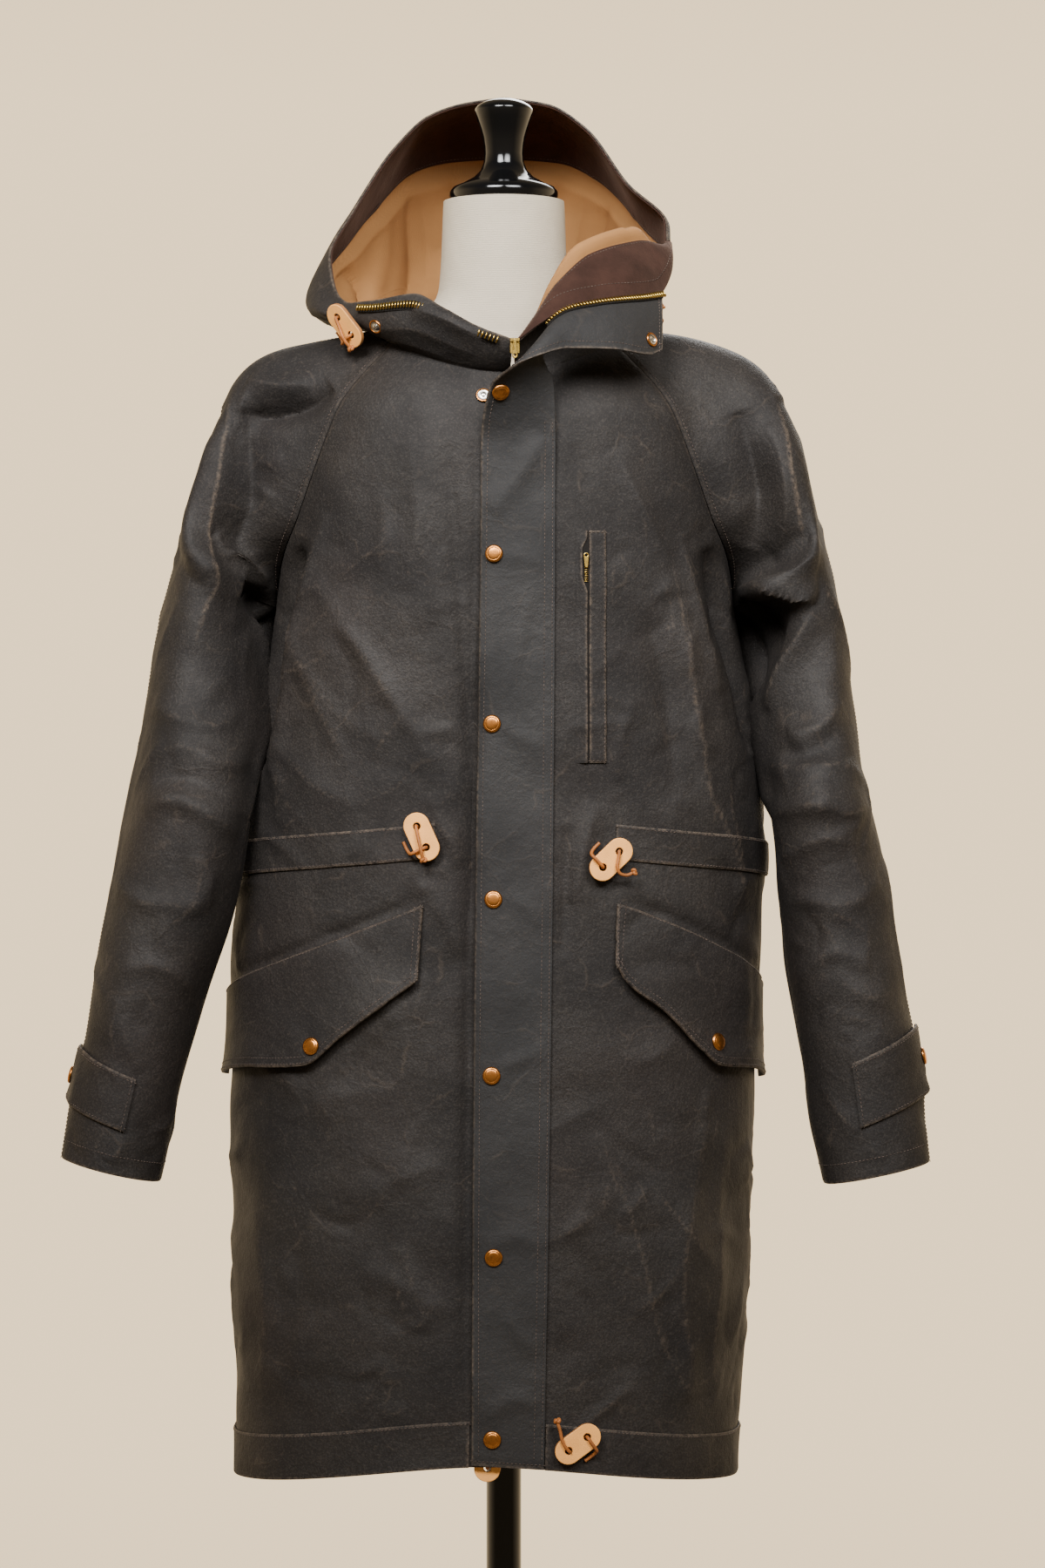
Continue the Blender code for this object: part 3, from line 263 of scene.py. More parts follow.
# Steps in a surface's two coordinates by which its normals are measured
FRONT_STEPS = (0.0005, 0.0005)
ROUND_STEPS = (0.02, 0.0005)
BODY_STEPS = (0.02, 0.002)
SLEEVE_STEPS = (0.0002, 0.01)
HOOD_STEPS = (0.05, 0.002)
# Rounds in which a place is looked for by height and by x, and the first guess at the front's depth
HEIGHT_ROUNDS = 24
FRONT_ROUNDS = 8
FRONT_DEPTH = 0.14
# Mean reach of the body, by which a fold's angles become lengths, and lengths of a sleeve's two coordinates
FOLD_REACH = 0.18
SLEEVE_REACH = (0.14, 0.075)
# Rows of the fly's solid below and above the start of its roll, its columns, and rows of its cloth
FLY_ROWS = (17, 19)
FLY_COLUMNS = 5
FLY_CLOTH_ROWS = 420
# Heights at which the coat's creases leave the fly and at which its stitches go over to the other face
FLY_ROLL_Z = 1.352
FLY_TURN_Z = 1.372
# How far a row of stitches reaches beyond that turn, in rows of the fly's cloth
FLY_TURN_ROWS = 30
# Places by row of the fly's solid: its top snap, the start of the lapel's zip and the lapel's socket
TOP_SNAP_ROW = 19
LAPEL_ZIP_ROW = 25
SOCKET_ROW = 33
# The front zip: heights of its closed run, the right collar tape's angles and rises, angles between which no
# teeth show there, and the left tape's distances from the lapel's edge
ZIP_RUN = (0.53, 1.405)
COLLAR_ZIP_ANGLES = (122, 178)
COLLAR_ZIP_RISES = (0.84, 0.93)
COLLAR_TEETH_GAP = (149.5, 171)
LAPEL_ZIP_INSETS = (0.0012, 0.0095)
# Rows of the chest zip with teeth in sight, their size by the front zip's, and a tooth's share of its pitch
CHEST_TEETH_ROWS = (46, 53)
CHEST_TOOTH = 0.55
TOOTH_SHARE = 0.54
# The floor's disc, and the lights: place, size and share of the key light's power
FLOOR_RADIUS = 1.9
FLOOR_SIDES = 96
FLOOR_DROP = 0.0004
LIGHTS = {
    "key": ((-0.9, -2.4, 3.2), 1.5, 1.0),
    "fill": ((1.0, -2.5, 3.2), 1.6, 0.74),
    "rear": ((0.6, 2.4, 2.8), 2.0, 0.6),
}
LIGHT_AIM = (0, 0, 1.45)
LIGHT_SPREAD = 41

# Sizes of the solids, in metres
CLOTH = 0.0016
FOLDED_CLOTH = 0.0024
FACING = 0.0010
GAP = 0.0003
SQUARENESS = 2.4
ZIP_X = 0.026
ZIP_OPENING = 0.010
ZIP_TAPE = 0.030
FLY_LIFT = 0.0033
CASING_LIFT = 0.0021
FLAP_LIFT = 0.0034
SNAP_RADIUS = 0.0075
SNAP_HEIGHT = 0.0030
TOGGLE_LENGTH = 0.042
TOGGLE_WIDTH = 0.022
TOGGLE_THICKNESS = 0.004
TOGGLE_HOLE = 0.0031
TOGGLE_HOLE_APART = 0.019
CORD_RADIUS = 0.0014
POLE_RADIUS = 0.0150
BASE_RADIUS = 0.190
BASE_HEIGHT = 0.012
TORSO_BOTTOM = 0.800
NECK_TOP = 1.575
CAP_TOP = 1.664
SLIDER = (0.0098, -0.1352, 1.4370)
PULL_HINGE = (0.0098, -0.1423, 1.4410)
TRIM = 0.0014
STRAP_THICKNESS = 0.0018
# Half the gap at the side seams, as an angle
SIDE_GAP = math.degrees(GAP / 2 / 0.2)
# The gap beside a raglan seam, as an angle
RAGLAN_GAP = math.degrees(1.2 * GAP / 0.15)
SIDES = {"left": 1, "right": -1}


class Table:
    """Rows of named columns, read between rows by a smooth curve that stays in their range."""

    def __init__(self, columns, rows, key=None):
        self.names = columns
        self.values = np.array([row[len(row) - len(columns):] for row in rows], float)
        place = columns.index(key) if key else None
        self.keys = np.arange(len(rows), dtype=float) if key is None else self.values[:, place]
        step = np.diff(self.keys)[:, None]
        rate = np.diff(self.values, axis=0) / step
        self.rates = np.zeros_like(self.values)
        self.rates[0], self.rates[-1] = rate[0], rate[-1]
        before, after = rate[:-1], rate[1:]
        first, second = 2 * step[1:] + step[:-1], step[1:] + 2 * step[:-1]
        same = before * after > 0
        safe_before, safe_after = np.where(same, before, 1.0), np.where(same, after, 1.0)
        mean = (first + second) / (first / safe_before + second / safe_after)
        self.rates[1:-1] = np.where(same, mean, 0.0)

    def read(self, place):
        """Every column at the given places; the columns come first in the answer."""
        place = np.clip(np.asarray(place, float), self.keys[0], self.keys[-1])
        i = np.clip(np.searchsorted(self.keys, place, side="right") - 1, 0, len(self.keys) - 2)
        width = self.keys[i + 1] - self.keys[i]
        t = ((place - self.keys[i]) / width)[..., None]
        width = width[..., None]
        answer = (
            (1 + 2 * t) * (1 - t) ** 2 * self.values[i]
            + t * (1 - t) ** 2 * width * self.rates[i]
            + t * t * (3 - 2 * t) * self.values[i + 1]
            + t * t * (t - 1) * width * self.rates[i + 1]
        )
        return np.moveaxis(answer, -1, 0)


# Rings of the coat's body from the hem up: heights at front, side and back, then reach to each side,
# then the angles from the front at which the raglan seams run.
BODY = Table(
    ("front_z", "side_z", "back_z", "right_x", "left_x", "front_y", "back_y", "front_seam", "back_seam"),
    [
        ("hem", 0.51, 0.486, 0.482, -0.229, 0.199, 0.15, 0.15, 90, 90),
        ("band", 0.548, 0.524, 0.52, -0.229, 0.201, 0.15, 0.15, 90, 90),
        ("thigh", 0.69, 0.681, 0.678, -0.232, 0.211, 0.15, 0.15, 90, 90),
        ("pocket", 0.86, 0.855, 0.853, -0.233, 0.217, 0.148, 0.148, 90, 90),
        ("waist", 1.01, 1.01, 1.01, -0.226, 0.224, 0.143, 0.142, 90, 90),
        ("ribs", 1.115, 1.115, 1.115, -0.211, 0.217, 0.14, 0.14, 90, 90),
        ("underarm", 1.225, 1.225, 1.225, -0.195, 0.198, 0.138, 0.138, 90, 90),
        ("chest", 1.3, 1.3, 1.3, -0.188, 0.19, 0.135, 0.138, 70, 70),
        ("yoke", 1.372, 1.388, 1.392, -0.172, 0.174, 0.127, 0.128, 60, 61),
        ("neckline", 1.418, 1.462, 1.47, -0.108, 0.108, 0.11, 0.082, 56, 56),
    ],
)
HEIGHTS = Table(BODY.names[:3], BODY.values[:, :3].tolist())
NECKLINE = 9
UNDERARM = 6

# Folds of the body: the two ends by angle from the front and height, the half width and the depth.
BODY_FOLDS = [
    ((-54, 1.27), (-72, 1.06), 0.024, 0.006),
    ((56, 1.23), (70, 1.06), 0.024, 0.005),
    ((50, 0.79), (62, 0.56), 0.026, 0.006),
    ((-58, 0.79), (-68, 0.56), 0.026, 0.005),
    ((150, 1.26), (128, 1.06), 0.026, 0.006),
    ((-152, 1.25), (-130, 1.06), 0.026, 0.007),
    ((195, 0.88), (208, 0.56), 0.028, 0.007),
    ((158, 0.9), (142, 0.56), 0.028, 0.006),
]

# The sleeves' rings from the neck to the cuff. Down to the underarm the two sides share these rows:
# the overarm seam's place, how far the cloth runs forwards and backwards before it turns down,
# and the angle and length with which it leaves the raglan seams.
SLEEVE_COLUMNS = (
    "over_x", "over_y", "over_z", "in_x", "in_y", "in_z",
    "front", "back", "leave_front", "leave_back", "pull",
)
RAGLAN_ROWS = [
    ("neck", 0.112, 0, 1.4635, 0, 0, 0, 0.034, 0.034, 146, 146, 0.03),
    ("inner shoulder", 0.162, 0.001, 1.456, 0, 0, 0, 0.046, 0.046, 142, 142, 0.036),
    ("shoulder", 0.204, 0.002, 1.442, 0, 0, 0, 0.06, 0.06, 134, 134, 0.044),
    ("shoulder point", 0.232, 0.001, 1.418, 0, 0, 0, 0.076, 0.076, 118, 118, 0.055),
    ("sleeve head", 0.251, -0.001, 1.374, 0, 0, 0, 0.09, 0.092, 96, 96, 0.066),
    ("upper sleeve", 0.267, -0.004, 1.313, 0, 0, 0, 0.102, 0.106, 62, 62, 0.084),
]
SLEEVE_ROWS = {
    "left": [
        ("underarm", 0.2845, -0.01, 1.247, 0.198, 0, 1.225, 0.108, 0.112, 4, 4, 0.108),
        ("bicep", 0.296, -0.022, 1.15, 0.2118, -0.043, 1.128, 0.106, 0.104, 0, 14, 0.1),
        ("above elbow", 0.31, -0.036, 1.065, 0.2285, -0.046, 1.043, 0.098, 0.098, 0, 14, 0.096),
        ("elbow", 0.325, -0.05, 0.998, 0.233, -0.05, 0.975, 0.088, 0.09, 0, 6, 0.088),
        ("below elbow", 0.335, -0.06, 0.925, 0.24, -0.058, 0.902, 0.08, 0.08, 0, 0, 0.08),
        ("forearm", 0.3465, -0.068, 0.856, 0.254, -0.066, 0.834, 0.072, 0.072, 0, 0, 0.072),
        ("strap", 0.354, -0.073, 0.798, 0.262, -0.072, 0.776, 0.066, 0.066, 0, 0, 0.066),
        ("cuff", 0.359, -0.077, 0.757, 0.269, -0.076, 0.738, 0.062, 0.062, 0, 0, 0.062),
    ],
    "right": [
        ("underarm", 0.285, -0.012, 1.247, 0.195, 0, 1.225, 0.108, 0.112, 4, 4, 0.108),
        ("bicep", 0.304, -0.026, 1.15, 0.2053, -0.046, 1.126, 0.106, 0.104, 0, 14, 0.1),
        ("above elbow", 0.318, -0.044, 1.068, 0.2145, -0.062, 1.042, 0.098, 0.098, 0, 20, 0.094),
        ("elbow", 0.333, -0.058, 0.98, 0.2305, -0.064, 0.955, 0.09, 0.088, 0, 10, 0.09),
        ("below elbow", 0.346, -0.068, 0.902, 0.254, -0.068, 0.88, 0.082, 0.078, 0, 0, 0.082),
        ("forearm", 0.357, -0.074, 0.842, 0.2715, -0.074, 0.822, 0.07, 0.07, 0, 0, 0.07),
        ("strap", 0.368, -0.078, 0.795, 0.2825, -0.078, 0.775, 0.064, 0.064, 0, 0, 0.064),
        ("cuff", 0.3735, -0.081, 0.761, 0.291, -0.081, 0.741, 0.06, 0.06, 0, 0, 0.06),
    ],
}
SLEEVES = {side: Table(SLEEVE_COLUMNS, RAGLAN_ROWS + rows) for side, rows in SLEEVE_ROWS.items()}
SLEEVE_UNDERARM = len(RAGLAN_ROWS)
SLEEVE_CUFF = SLEEVE_UNDERARM + len(SLEEVE_ROWS["left"]) - 1

# Folds of the sleeves: the ends by place around (0 overarm, 1 front seam, -1 back seam) and along, likewise.
SLEEVE_FOLDS = {
    "left": [
        ((0.3, 5.9), (0.98, 5.75), 0.024, 0.01),
        ((0.25, 6.7), (0.9, 6.45), 0.022, -0.007),
        ((0.15, 8.2), (0.8, 7.4), 0.022, 0.006),
        ((-0.2, 6.6), (-0.9, 6.1), 0.024, 0.007),
        ((-0.3, 8.9), (-0.9, 8.4), 0.022, 0.006),
    ],
    "right": [
        ((0.3, 3.6), (0.42, 6.6), 0.024, 0.007),
        ((0.55, 5.6), (0.98, 6.3), 0.022, -0.007),
        ((0.4, 7.6), (0.95, 7), 0.022, 0.006),
        ((-0.2, 6.7), (-0.9, 6.2), 0.024, 0.007),
        ((-0.3, 9.1), (-0.9, 8.5), 0.022, 0.006),
    ],
}

# Hood and collar by angle from the back: two guiding points between the neckline and the rim, and the rim.
HOOD_COLUMNS = (
    "angle", "low_x", "low_y", "low_z", "belly_x", "belly_y", "belly_z", "rim_x", "rim_y", "rim_z",
)
HOODS = {
    "left": Table(
        HOOD_COLUMNS,
        [
            ("back", 0, 0, 0.2, 1.482, 0, 0.27, 1.69, 0, 0.09, 1.68),
            ("back quarter", 25, 0.07, 0.185, 1.481, 0.054, 0.26, 1.684, 0.0395, 0.085, 1.673),
            ("crown side", 45, 0.11, 0.15, 1.479, 0.088, 0.23, 1.66, 0.0728, 0.0728, 1.65),
            ("ear", 65, 0.14, 0.085, 1.475, 0.116, 0.165, 1.608, 0.1078, 0.0503, 1.599),
            ("side", 85, 0.142, 0.02, 1.471, 0.146, 0.06, 1.55, 0.1414, 0.0124, 1.558),
            ("turn of lapel", 102, 0.125, -0.027, 1.478, 0.137, -0.029, 1.56, 0.1414, -0.0301, 1.52),
            ("lapel end", 117, 0.0945, -0.048, 1.52, 0.1087, -0.0554, 1.575, 0.1287, -0.0656, 1.486),
            ("lapel", 142, 0.06, -0.077, 1.51, 0.0726, -0.093, 1.558, 0.082, -0.105, 1.477),
            ("lapel roll", 157, 0.039, -0.092, 1.475, 0.0453, -0.1068, 1.52, 0.0512, -0.1206, 1.469),
            ("zip turn", 167, 0.025, -0.104, 1.446, 0.029, -0.119, 1.475, 0.031, -0.129, 1.455),
            ("front", 174.5, 0.011, -0.113, 1.428, 0.012, -0.1255, 1.44, 0.0127, -0.1318, 1.4395),
        ],
        "angle",
    ),
    "right": Table(
        HOOD_COLUMNS,
        [
            ("back", 0, 0, 0.2, 1.482, 0, 0.27, 1.69, 0, 0.09, 1.68),
            ("back quarter", 24, 0.07, 0.187, 1.481, 0.054, 0.262, 1.686, 0.0382, 0.0859, 1.674),
            ("crown side", 42, 0.11, 0.155, 1.479, 0.083, 0.235, 1.671, 0.0676, 0.0751, 1.662),
            ("ear", 57, 0.134, 0.115, 1.476, 0.106, 0.195, 1.634, 0.0973, 0.0632, 1.631),
            ("upper side", 73, 0.156, 0.06, 1.471, 0.142, 0.12, 1.565, 0.1313, 0.0401, 1.574),
            ("side", 88, 0.168, 0.012, 1.4715, 0.196, 0.03, 1.482, 0.1507, 0.0053, 1.532),
            ("front side", 104, 0.15, -0.037, 1.4695, 0.182, -0.044, 1.47, 0.1428, -0.0356, 1.4945),
            ("collar end", 115, 0.125, -0.058, 1.462, 0.148, -0.068, 1.461, 0.1293, -0.0603, 1.482),
            ("collar", 126, 0.1036, -0.0752, 1.452, 0.1214, -0.0882, 1.455, 0.1107, -0.0804, 1.4815),
            ("collar peak", 144, 0.07, -0.0963, 1.44, 0.0823, -0.1133, 1.45, 0.0759, -0.1045, 1.4845),
            ("collar slope", 158, 0.0438, -0.1085, 1.432, 0.051, -0.126, 1.445, 0.0485, -0.1201, 1.4705),
            ("collar front", 170, 0.0203, -0.1152, 1.425, 0.0231, -0.131, 1.436, 0.0226, -0.128, 1.4555),
            ("front", 183, -0.0061, -0.1165, 1.421, -0.0068, -0.1305, 1.43, -0.0068, -0.131, 1.443),
        ],
        "angle",
    ),
}

# The fly's edges up the front: where it is sewn and where it is free, then its turned-back top.
FLY_RUN = Table(
    ("z", "sewn_x", "free_x"),
    [
        ("bottom", 0.512, 0.0335, -0.026),
        ("skirt", 0.7, 0.037, -0.0255),
        ("waist", 1, 0.041, -0.023),
        ("chest", 1.2, 0.0425, -0.02),
        ("roll starts", 1.355, 0.043, -0.0183),
    ],
    "z",
)
FLY_TOP = Table(
    ("sewn_x", "sewn_y", "sewn_z", "free_x", "free_y", "free_z", "bulge"),
    [
        ("roll begins", 0.0428, -0.1325, 1.38, -0.0165, -0.14, 1.378, 0.002),
        ("roll", 0.042, -0.1335, 1.405, -0.0105, -0.153, 1.4, 0.004),
        ("roll end on", 0.033, -0.139, 1.43, 0.009, -0.169, 1.415, 0.005),
        ("lapel start", 0.04, -0.138, 1.452, 0.03, -0.164, 1.426, 0.006),
        ("lapel", 0.056, -0.129, 1.467, 0.054, -0.153, 1.433, 0.007),
        ("lapel middle", 0.085, -0.113, 1.4755, 0.089, -0.14, 1.4335, 0.007),
        ("lapel corner", 0.118, -0.084, 1.483, 0.118, -0.119, 1.431, 0.006),
        ("lapel end", 0.133, -0.067, 1.488, 0.1315, -0.102, 1.437, 0.004),
    ],
)

# Pocket flaps by angle from the front: height of the upper and the lower edge.
FLAPS = {
    "left": Table(
        ("turn", "top", "bottom"),
        [(35.5, 0.975, 0.925), (39, 0.972, 0.908), (48, 0.961, 0.885), (57, 0.948, 0.853), (62, 0.94, 0.839),
         (75, 0.921, 0.834), (90, 0.9, 0.824), (97, 0.892, 0.821)],
        "turn",
    ),
    "right": Table(
        ("turn", "top", "bottom"),
        [(24, 0.974, 0.912), (34, 0.962, 0.888), (44, 0.949, 0.862), (52, 0.938, 0.84), (70, 0.916, 0.836),
         (82, 0.903, 0.83), (90, 0.896, 0.826), (97, 0.89, 0.823)],
        "turn",
    ),
}

# Waist casings by angle from the front: the height of their middle, and that of the back's.
CASING_HEIGHT = 0.029
BACK_CASING_Z = 1.009
CASINGS = {
    "left": Table(("turn", "z"), [(35, 1.026), (60, 1.018), (90, 1.009)], "turn"),
    "right": Table(("turn", "z"), [(22, 1.027), (50, 1.019), (90, 1.009)], "turn"),
}

# Where the hem bands start beside the fly.
HEM_START = {"left": 0.035, "right": -0.028}

# The chest pocket on the left front: zip strip and welt beside it.
CHEST_X = (0.0656, 0.0712, 0.0855)
CHEST_Z = (1.0915, 1.2845)

# Cuff straps from the sewn end to the tip: place around the sleeve, places along it and lift.
STRAP = Table(
    ("around", "upper", "lower", "lift"),
    [(0.57, 11.02, 11.94, 0.0029), (0.4, 10.94, 11.86, 0.0029), (0.12, 10.82, 11.74, 0.0032),
     (-0.04, 10.78, 11.68, 0.005), (-0.14, 10.92, 11.52, 0.008)],
)

# Snap caps on the fly: their heights and the x of their row.
FLY_SNAPS = [0.5326, 0.685, 0.832, 0.979, 1.122, 1.2634]
FLY_SNAP_X = -0.0090

# Toggles: middle, the way its face looks, the way its long side points, then its cord's free end in its own
# frame, in millimetres: along it, across it and off its face.
TOGGLES = {
    "waist_right": {
        "x": -0.0663, "z": 1.03, "long": (0.42, 0, -0.91),
        "free": [
            (0, -2.4, 5.4), (6, -3.4, 7.2), (12, -4.6, 7.2), (16, -5.6, 6.2), (19, -6.4, 5.8), (22, -7, 5.6),
        ],
    },
    "waist_left": {
        "x": 0.0878, "z": 1.0114, "long": (-0.73, 0, -0.68),
        "free": [
            (-5, 3, 4.6), (1, 7.5, 5), (3, 13, 4.2), (0, 18, 3),
            (-4, 20, 2.6), (-8, 20.5, 2.6), (-11, 19, 2.6),
        ],
    },
    "hem_left": {
        "x": 0.0604, "z": 0.53, "long": (0.82, 0, 0.57),
        "free": [(-10, 4, 4.4), (-9, 11, 4.2), (-6, 18, 3.6), (-4, 24, 3.2), (-3, 27, 3.2), (-2, 30, 3.2)],
    },
}
HOOD_TOGGLES = {
    "hood_right": {
        "middle": (-0.1335, -0.0698, 1.461), "face": (-0.6, -0.7, -0.38), "long": (0.6, -0.1, -0.8),
    },
    "hood_left": {
        "middle": (0.1175, -0.069, 1.465), "face": (0.25, -0.95, -0.15), "long": (0.5, 0.05, 0.86),
    },
}
# The right hem toggle, which hangs inside the front: x and height above it, how far it hangs, its long side.
HEM_RIGHT_AT = (-0.012, 0.522)
HEM_RIGHT_DROP = (0, 0, 0.004)
HEM_RIGHT_INWARD = 0.0018
HEM_RIGHT_LONG = (0.1, 0, 0.99)
TOGGLE_LIFT = 0.0075
TOGGLE_BEVEL = 0.0007
# The knot at a cord's end: points of the cord that it takes up, size, radius of its strand and place ahead
KNOT_POINTS = 8
KNOT_SIZE = 0.00078
KNOT_STRAND = 0.00125
KNOT_AHEAD = 0.0012
# Points that a cord has for each one given
ROUTE_POINTS = 5
# A cord's way through a toggle, in millimetres in the toggle's frame: in from the cloth, round an edge,
# down the first hole, up the second.
TOGGLE_ROUTE = [
    (-3, -16, -3.6), (3, -16, -3.4), (7, -15.4, -1.6), (9, -14.4, 1), (9.5, -12.6, 3.4), (9.5, -9, 4.4),
    (9.5, -4.5, 4.2), (9.5, -1.5, 3.7), (9.5, -0.1, 1.8), (9.5, 0, -1.2), (9.2, 0.2, -3.2),
    (6.5, 0.5, -3.9), (0, 0.6, -4), (-6.5, 0.5, -3.9), (-9.2, 0.2, -3.2), (-9.5, 0, -1.2),
    (-9.5, -0.1, 1.8), (-9.3, -0.5, 3.6),
]

# Rings of the dress form's torso.
FORM_COLUMNS = ("z", "half_width", "front", "back", "squareness")
FORM = Table(
    FORM_COLUMNS,
    [
        ("bottom", TORSO_BOTTOM, 0.15, 0.104, 0.106, 2.2),
        ("hip", 0.9, 0.162, 0.114, 0.118, 2.2),
        ("waist", 1.04, 0.136, 0.1, 0.098, 2.2),
        ("ribs", 1.16, 0.15, 0.112, 0.108, 2.2),
        ("chest", 1.27, 0.164, 0.118, 0.114, 2.2),
        ("upper chest", 1.35, 0.168, 0.1, 0.106, 2.1),
        ("shoulder", 1.41, 0.182, 0.07, 0.082, 1.8),
        ("shoulder top", 1.4442, 0.176, 0.058, 0.066, 1.5),
        ("shoulder ridge", 1.456, 0.15, 0.055, 0.06, 1.5),
        ("neck base", 1.468, 0.084, 0.054, 0.057, 1.8),
        ("neck", 1.5, 0.056, 0.052, 0.055, 2),
        ("neck top", NECK_TOP, 0.052, 0.05, 0.053, 2),
    ],
    "z",
)


# Creases have half width, height off the cloth and wear, then their run in the surface's own coordinates.
# Creases of the fronts, by x and height.
FRONT_CREASES = [
    (0.012, 0.008, 0.4, (-0.148, 1.302), (-0.165, 1.245), (-0.179, 1.166), (-0.196, 1.08)),
    (0.009, -0.0085, 0, (-0.0215, 1.36), (-0.0235, 1.2), (-0.0265, 1), (-0.029, 0.7), (-0.0295, 0.53)),
    (0.01, 0.005, 0.3, (0.15, 1.285), (0.164, 1.215), (0.178, 1.15)),
    (0.009, 0.0026, 0.45, (-0.182, 1.226), (-0.157, 1.146), (-0.128, 1.088)),
    (0.011, 0.002, 0.25, (-0.167, 1.262), (-0.113, 1.175), (-0.056, 1.088)),
    (0.014, 0.0034, 0.1, (-0.077, 1.363), (-0.071, 1.291), (-0.081, 1.233)),
    (0.011, -0.0046, 0, (-0.046, 1.356), (-0.036, 1.23), (-0.028, 1.08)),
    (0.008, 0.0016, 0.3, (-0.142, 1.242), (-0.116, 1.262), (-0.089, 1.281)),
    (0.01, 0.0022, 0.2, (-0.142, 1.209), (-0.112, 1.179), (-0.053, 1.081)),
    (0.008, 0.0016, 0.3, (-0.172, 1.19), (-0.14, 1.135), (-0.095, 1.105)),
    (0.009, 0.002, 0.3, (-0.198, 1.12), (-0.16, 1.075), (-0.12, 1.055)),
    (0.016, 0.0032, 0.1, (-0.12, 0.672), (-0.086, 0.66), (-0.042, 0.634)),
    (0.013, 0.002, 0.1, (-0.046, 0.762), (-0.09, 0.746), (-0.136, 0.728)),
    (0.009, 0.0014, 0.15, (-0.165, 0.812), (-0.126, 0.818), (-0.088, 0.815)),
    (0.009, 0.004, 0.15, (-0.062, 1.066), (-0.05, 1.04), (-0.032, 1.006)),
    (0.012, 0.005, 0.15, (-0.076, 1.004), (-0.056, 0.972), (-0.036, 0.93)),
    (0.01, -0.004, 0, (-0.064, 0.986), (-0.046, 0.944), (-0.04, 0.9)),
    (0.009, 0.0024, 0.35, (-0.205, 0.72), (-0.196, 0.64), (-0.202, 0.56)),
    (0.01, 0.0022, 0.15, (-0.16, 0.64), (-0.172, 0.6), (-0.168, 0.556)),
    (0.013, 0.0044, 0.15, (0.093, 1.353), (0.116, 1.305), (0.14, 1.255)),
    (0.013, 0.0034, 0.7, (0.141, 1.264), (0.153, 1.18), (0.166, 1.104), (0.177, 1.032)),
    (0.015, -0.0042, 0, (0.118, 1.24), (0.138, 1.14), (0.144, 1.06)),
    (0.012, 0.0024, 0.55, (0.162, 1.084), (0.184, 1.04), (0.206, 0.975)),
    (0.012, 0.0022, 0.6, (0.188, 1.09), (0.196, 1.02), (0.212, 0.955)),
    (0.011, 0.0048, 0.15, (0.078, 1.06), (0.066, 1.015), (0.058, 0.975)),
    (0.008, -0.004, 0, (0.054, 1.04), (0.052, 0.985), (0.05, 0.93)),
    (0.01, 0.002, 0.15, (0.123, 0.851), (0.14, 0.815), (0.153, 0.79)),
    (0.018, 0.004, 0.45, (0.08, 0.787), (0.11, 0.7), (0.131, 0.613), (0.165, 0.54)),
    (0.014, 0.003, 0.45, (0.172, 0.787), (0.146, 0.672), (0.16, 0.56)),
    (0.013, 0.0026, 0.5, (0.121, 0.745), (0.15, 0.7), (0.188, 0.655)),
    (0.012, 0.0024, 0.5, (0.186, 0.78), (0.182, 0.69), (0.176, 0.6), (0.182, 0.55)),
    (0.014, -0.0026, 0, (0.06, 0.69), (0.09, 0.64), (0.104, 0.57)),
    (0.011, 0.0022, 0.35, (0.14, 0.64), (0.154, 0.6), (0.15, 0.556)),
]

# Creases of the sides and back, by angle from the front and height.
ROUND_CREASES = [
    (0.019, -0.024, 0, (-69, 1.275), (-74, 1.19), (-78, 1.085)),
    (0.018, -0.02, 0, (68, 1.275), (73, 1.195), (78, 1.1)),
    (0.006, -0.004, 0, (-26, 0.978), (-44, 0.954), (-64, 0.927), (-88, 0.902)),
    (0.006, -0.004, 0, (37, 0.979), (50, 0.963), (66, 0.938), (88, 0.907)),
    (0.011, 0.0032, 0.4, (104, 1.205), (128, 1.12), (150, 1.06)),
    (0.012, 0.003, 0.4, (-106, 1.2), (-124, 1.13), (-152, 1.075)),
    (0.013, 0.0026, 0.2, (118, 1.24), (146, 1.19), (170, 1.18)),
    (0.012, 0.0026, 0.2, (-116, 1.236), (-150, 1.2), (-176, 1.16)),
    (0.014, 0.0024, 0.15, (150, 1.33), (164, 1.27), (168, 1.2)),
    (0.013, 0.0022, 0.15, (-148, 1.345), (-160, 1.29), (-170, 1.24)),
    (0.01, 0.0022, 0.15, (160, 1.05), (176, 1.03), (196, 1.046)),
    (0.011, 0.0028, 0.25, (120, 0.985), (136, 0.93), (150, 0.89)),
    (0.011, 0.0026, 0.25, (-122, 0.98), (-140, 0.92), (-148, 0.86)),
    (0.014, 0.003, 0.1, (180, 0.98), (186, 0.9), (176, 0.82)),
    (0.01, 0.003, 0.5, (104, 0.8), (112, 0.69), (106, 0.57)),
    (0.01, 0.003, 0.5, (-102, 0.78), (-112, 0.68), (-108, 0.57)),
    (0.013, 0.0034, 0.3, (140, 0.78), (132, 0.66), (140, 0.56)),
    (0.013, 0.0034, 0.3, (-136, 0.8), (-146, 0.67), (-138, 0.56)),
    (0.013, -0.003, 0, (172, 0.76), (164, 0.65), (168, 0.56)),
    (0.009, 0.0026, 0.45, (96, 1.12), (112, 1.07), (118, 1.03)),
    (0.009, 0.0024, 0.45, (-96, 1.13), (-110, 1.085), (-122, 1.05)),
]

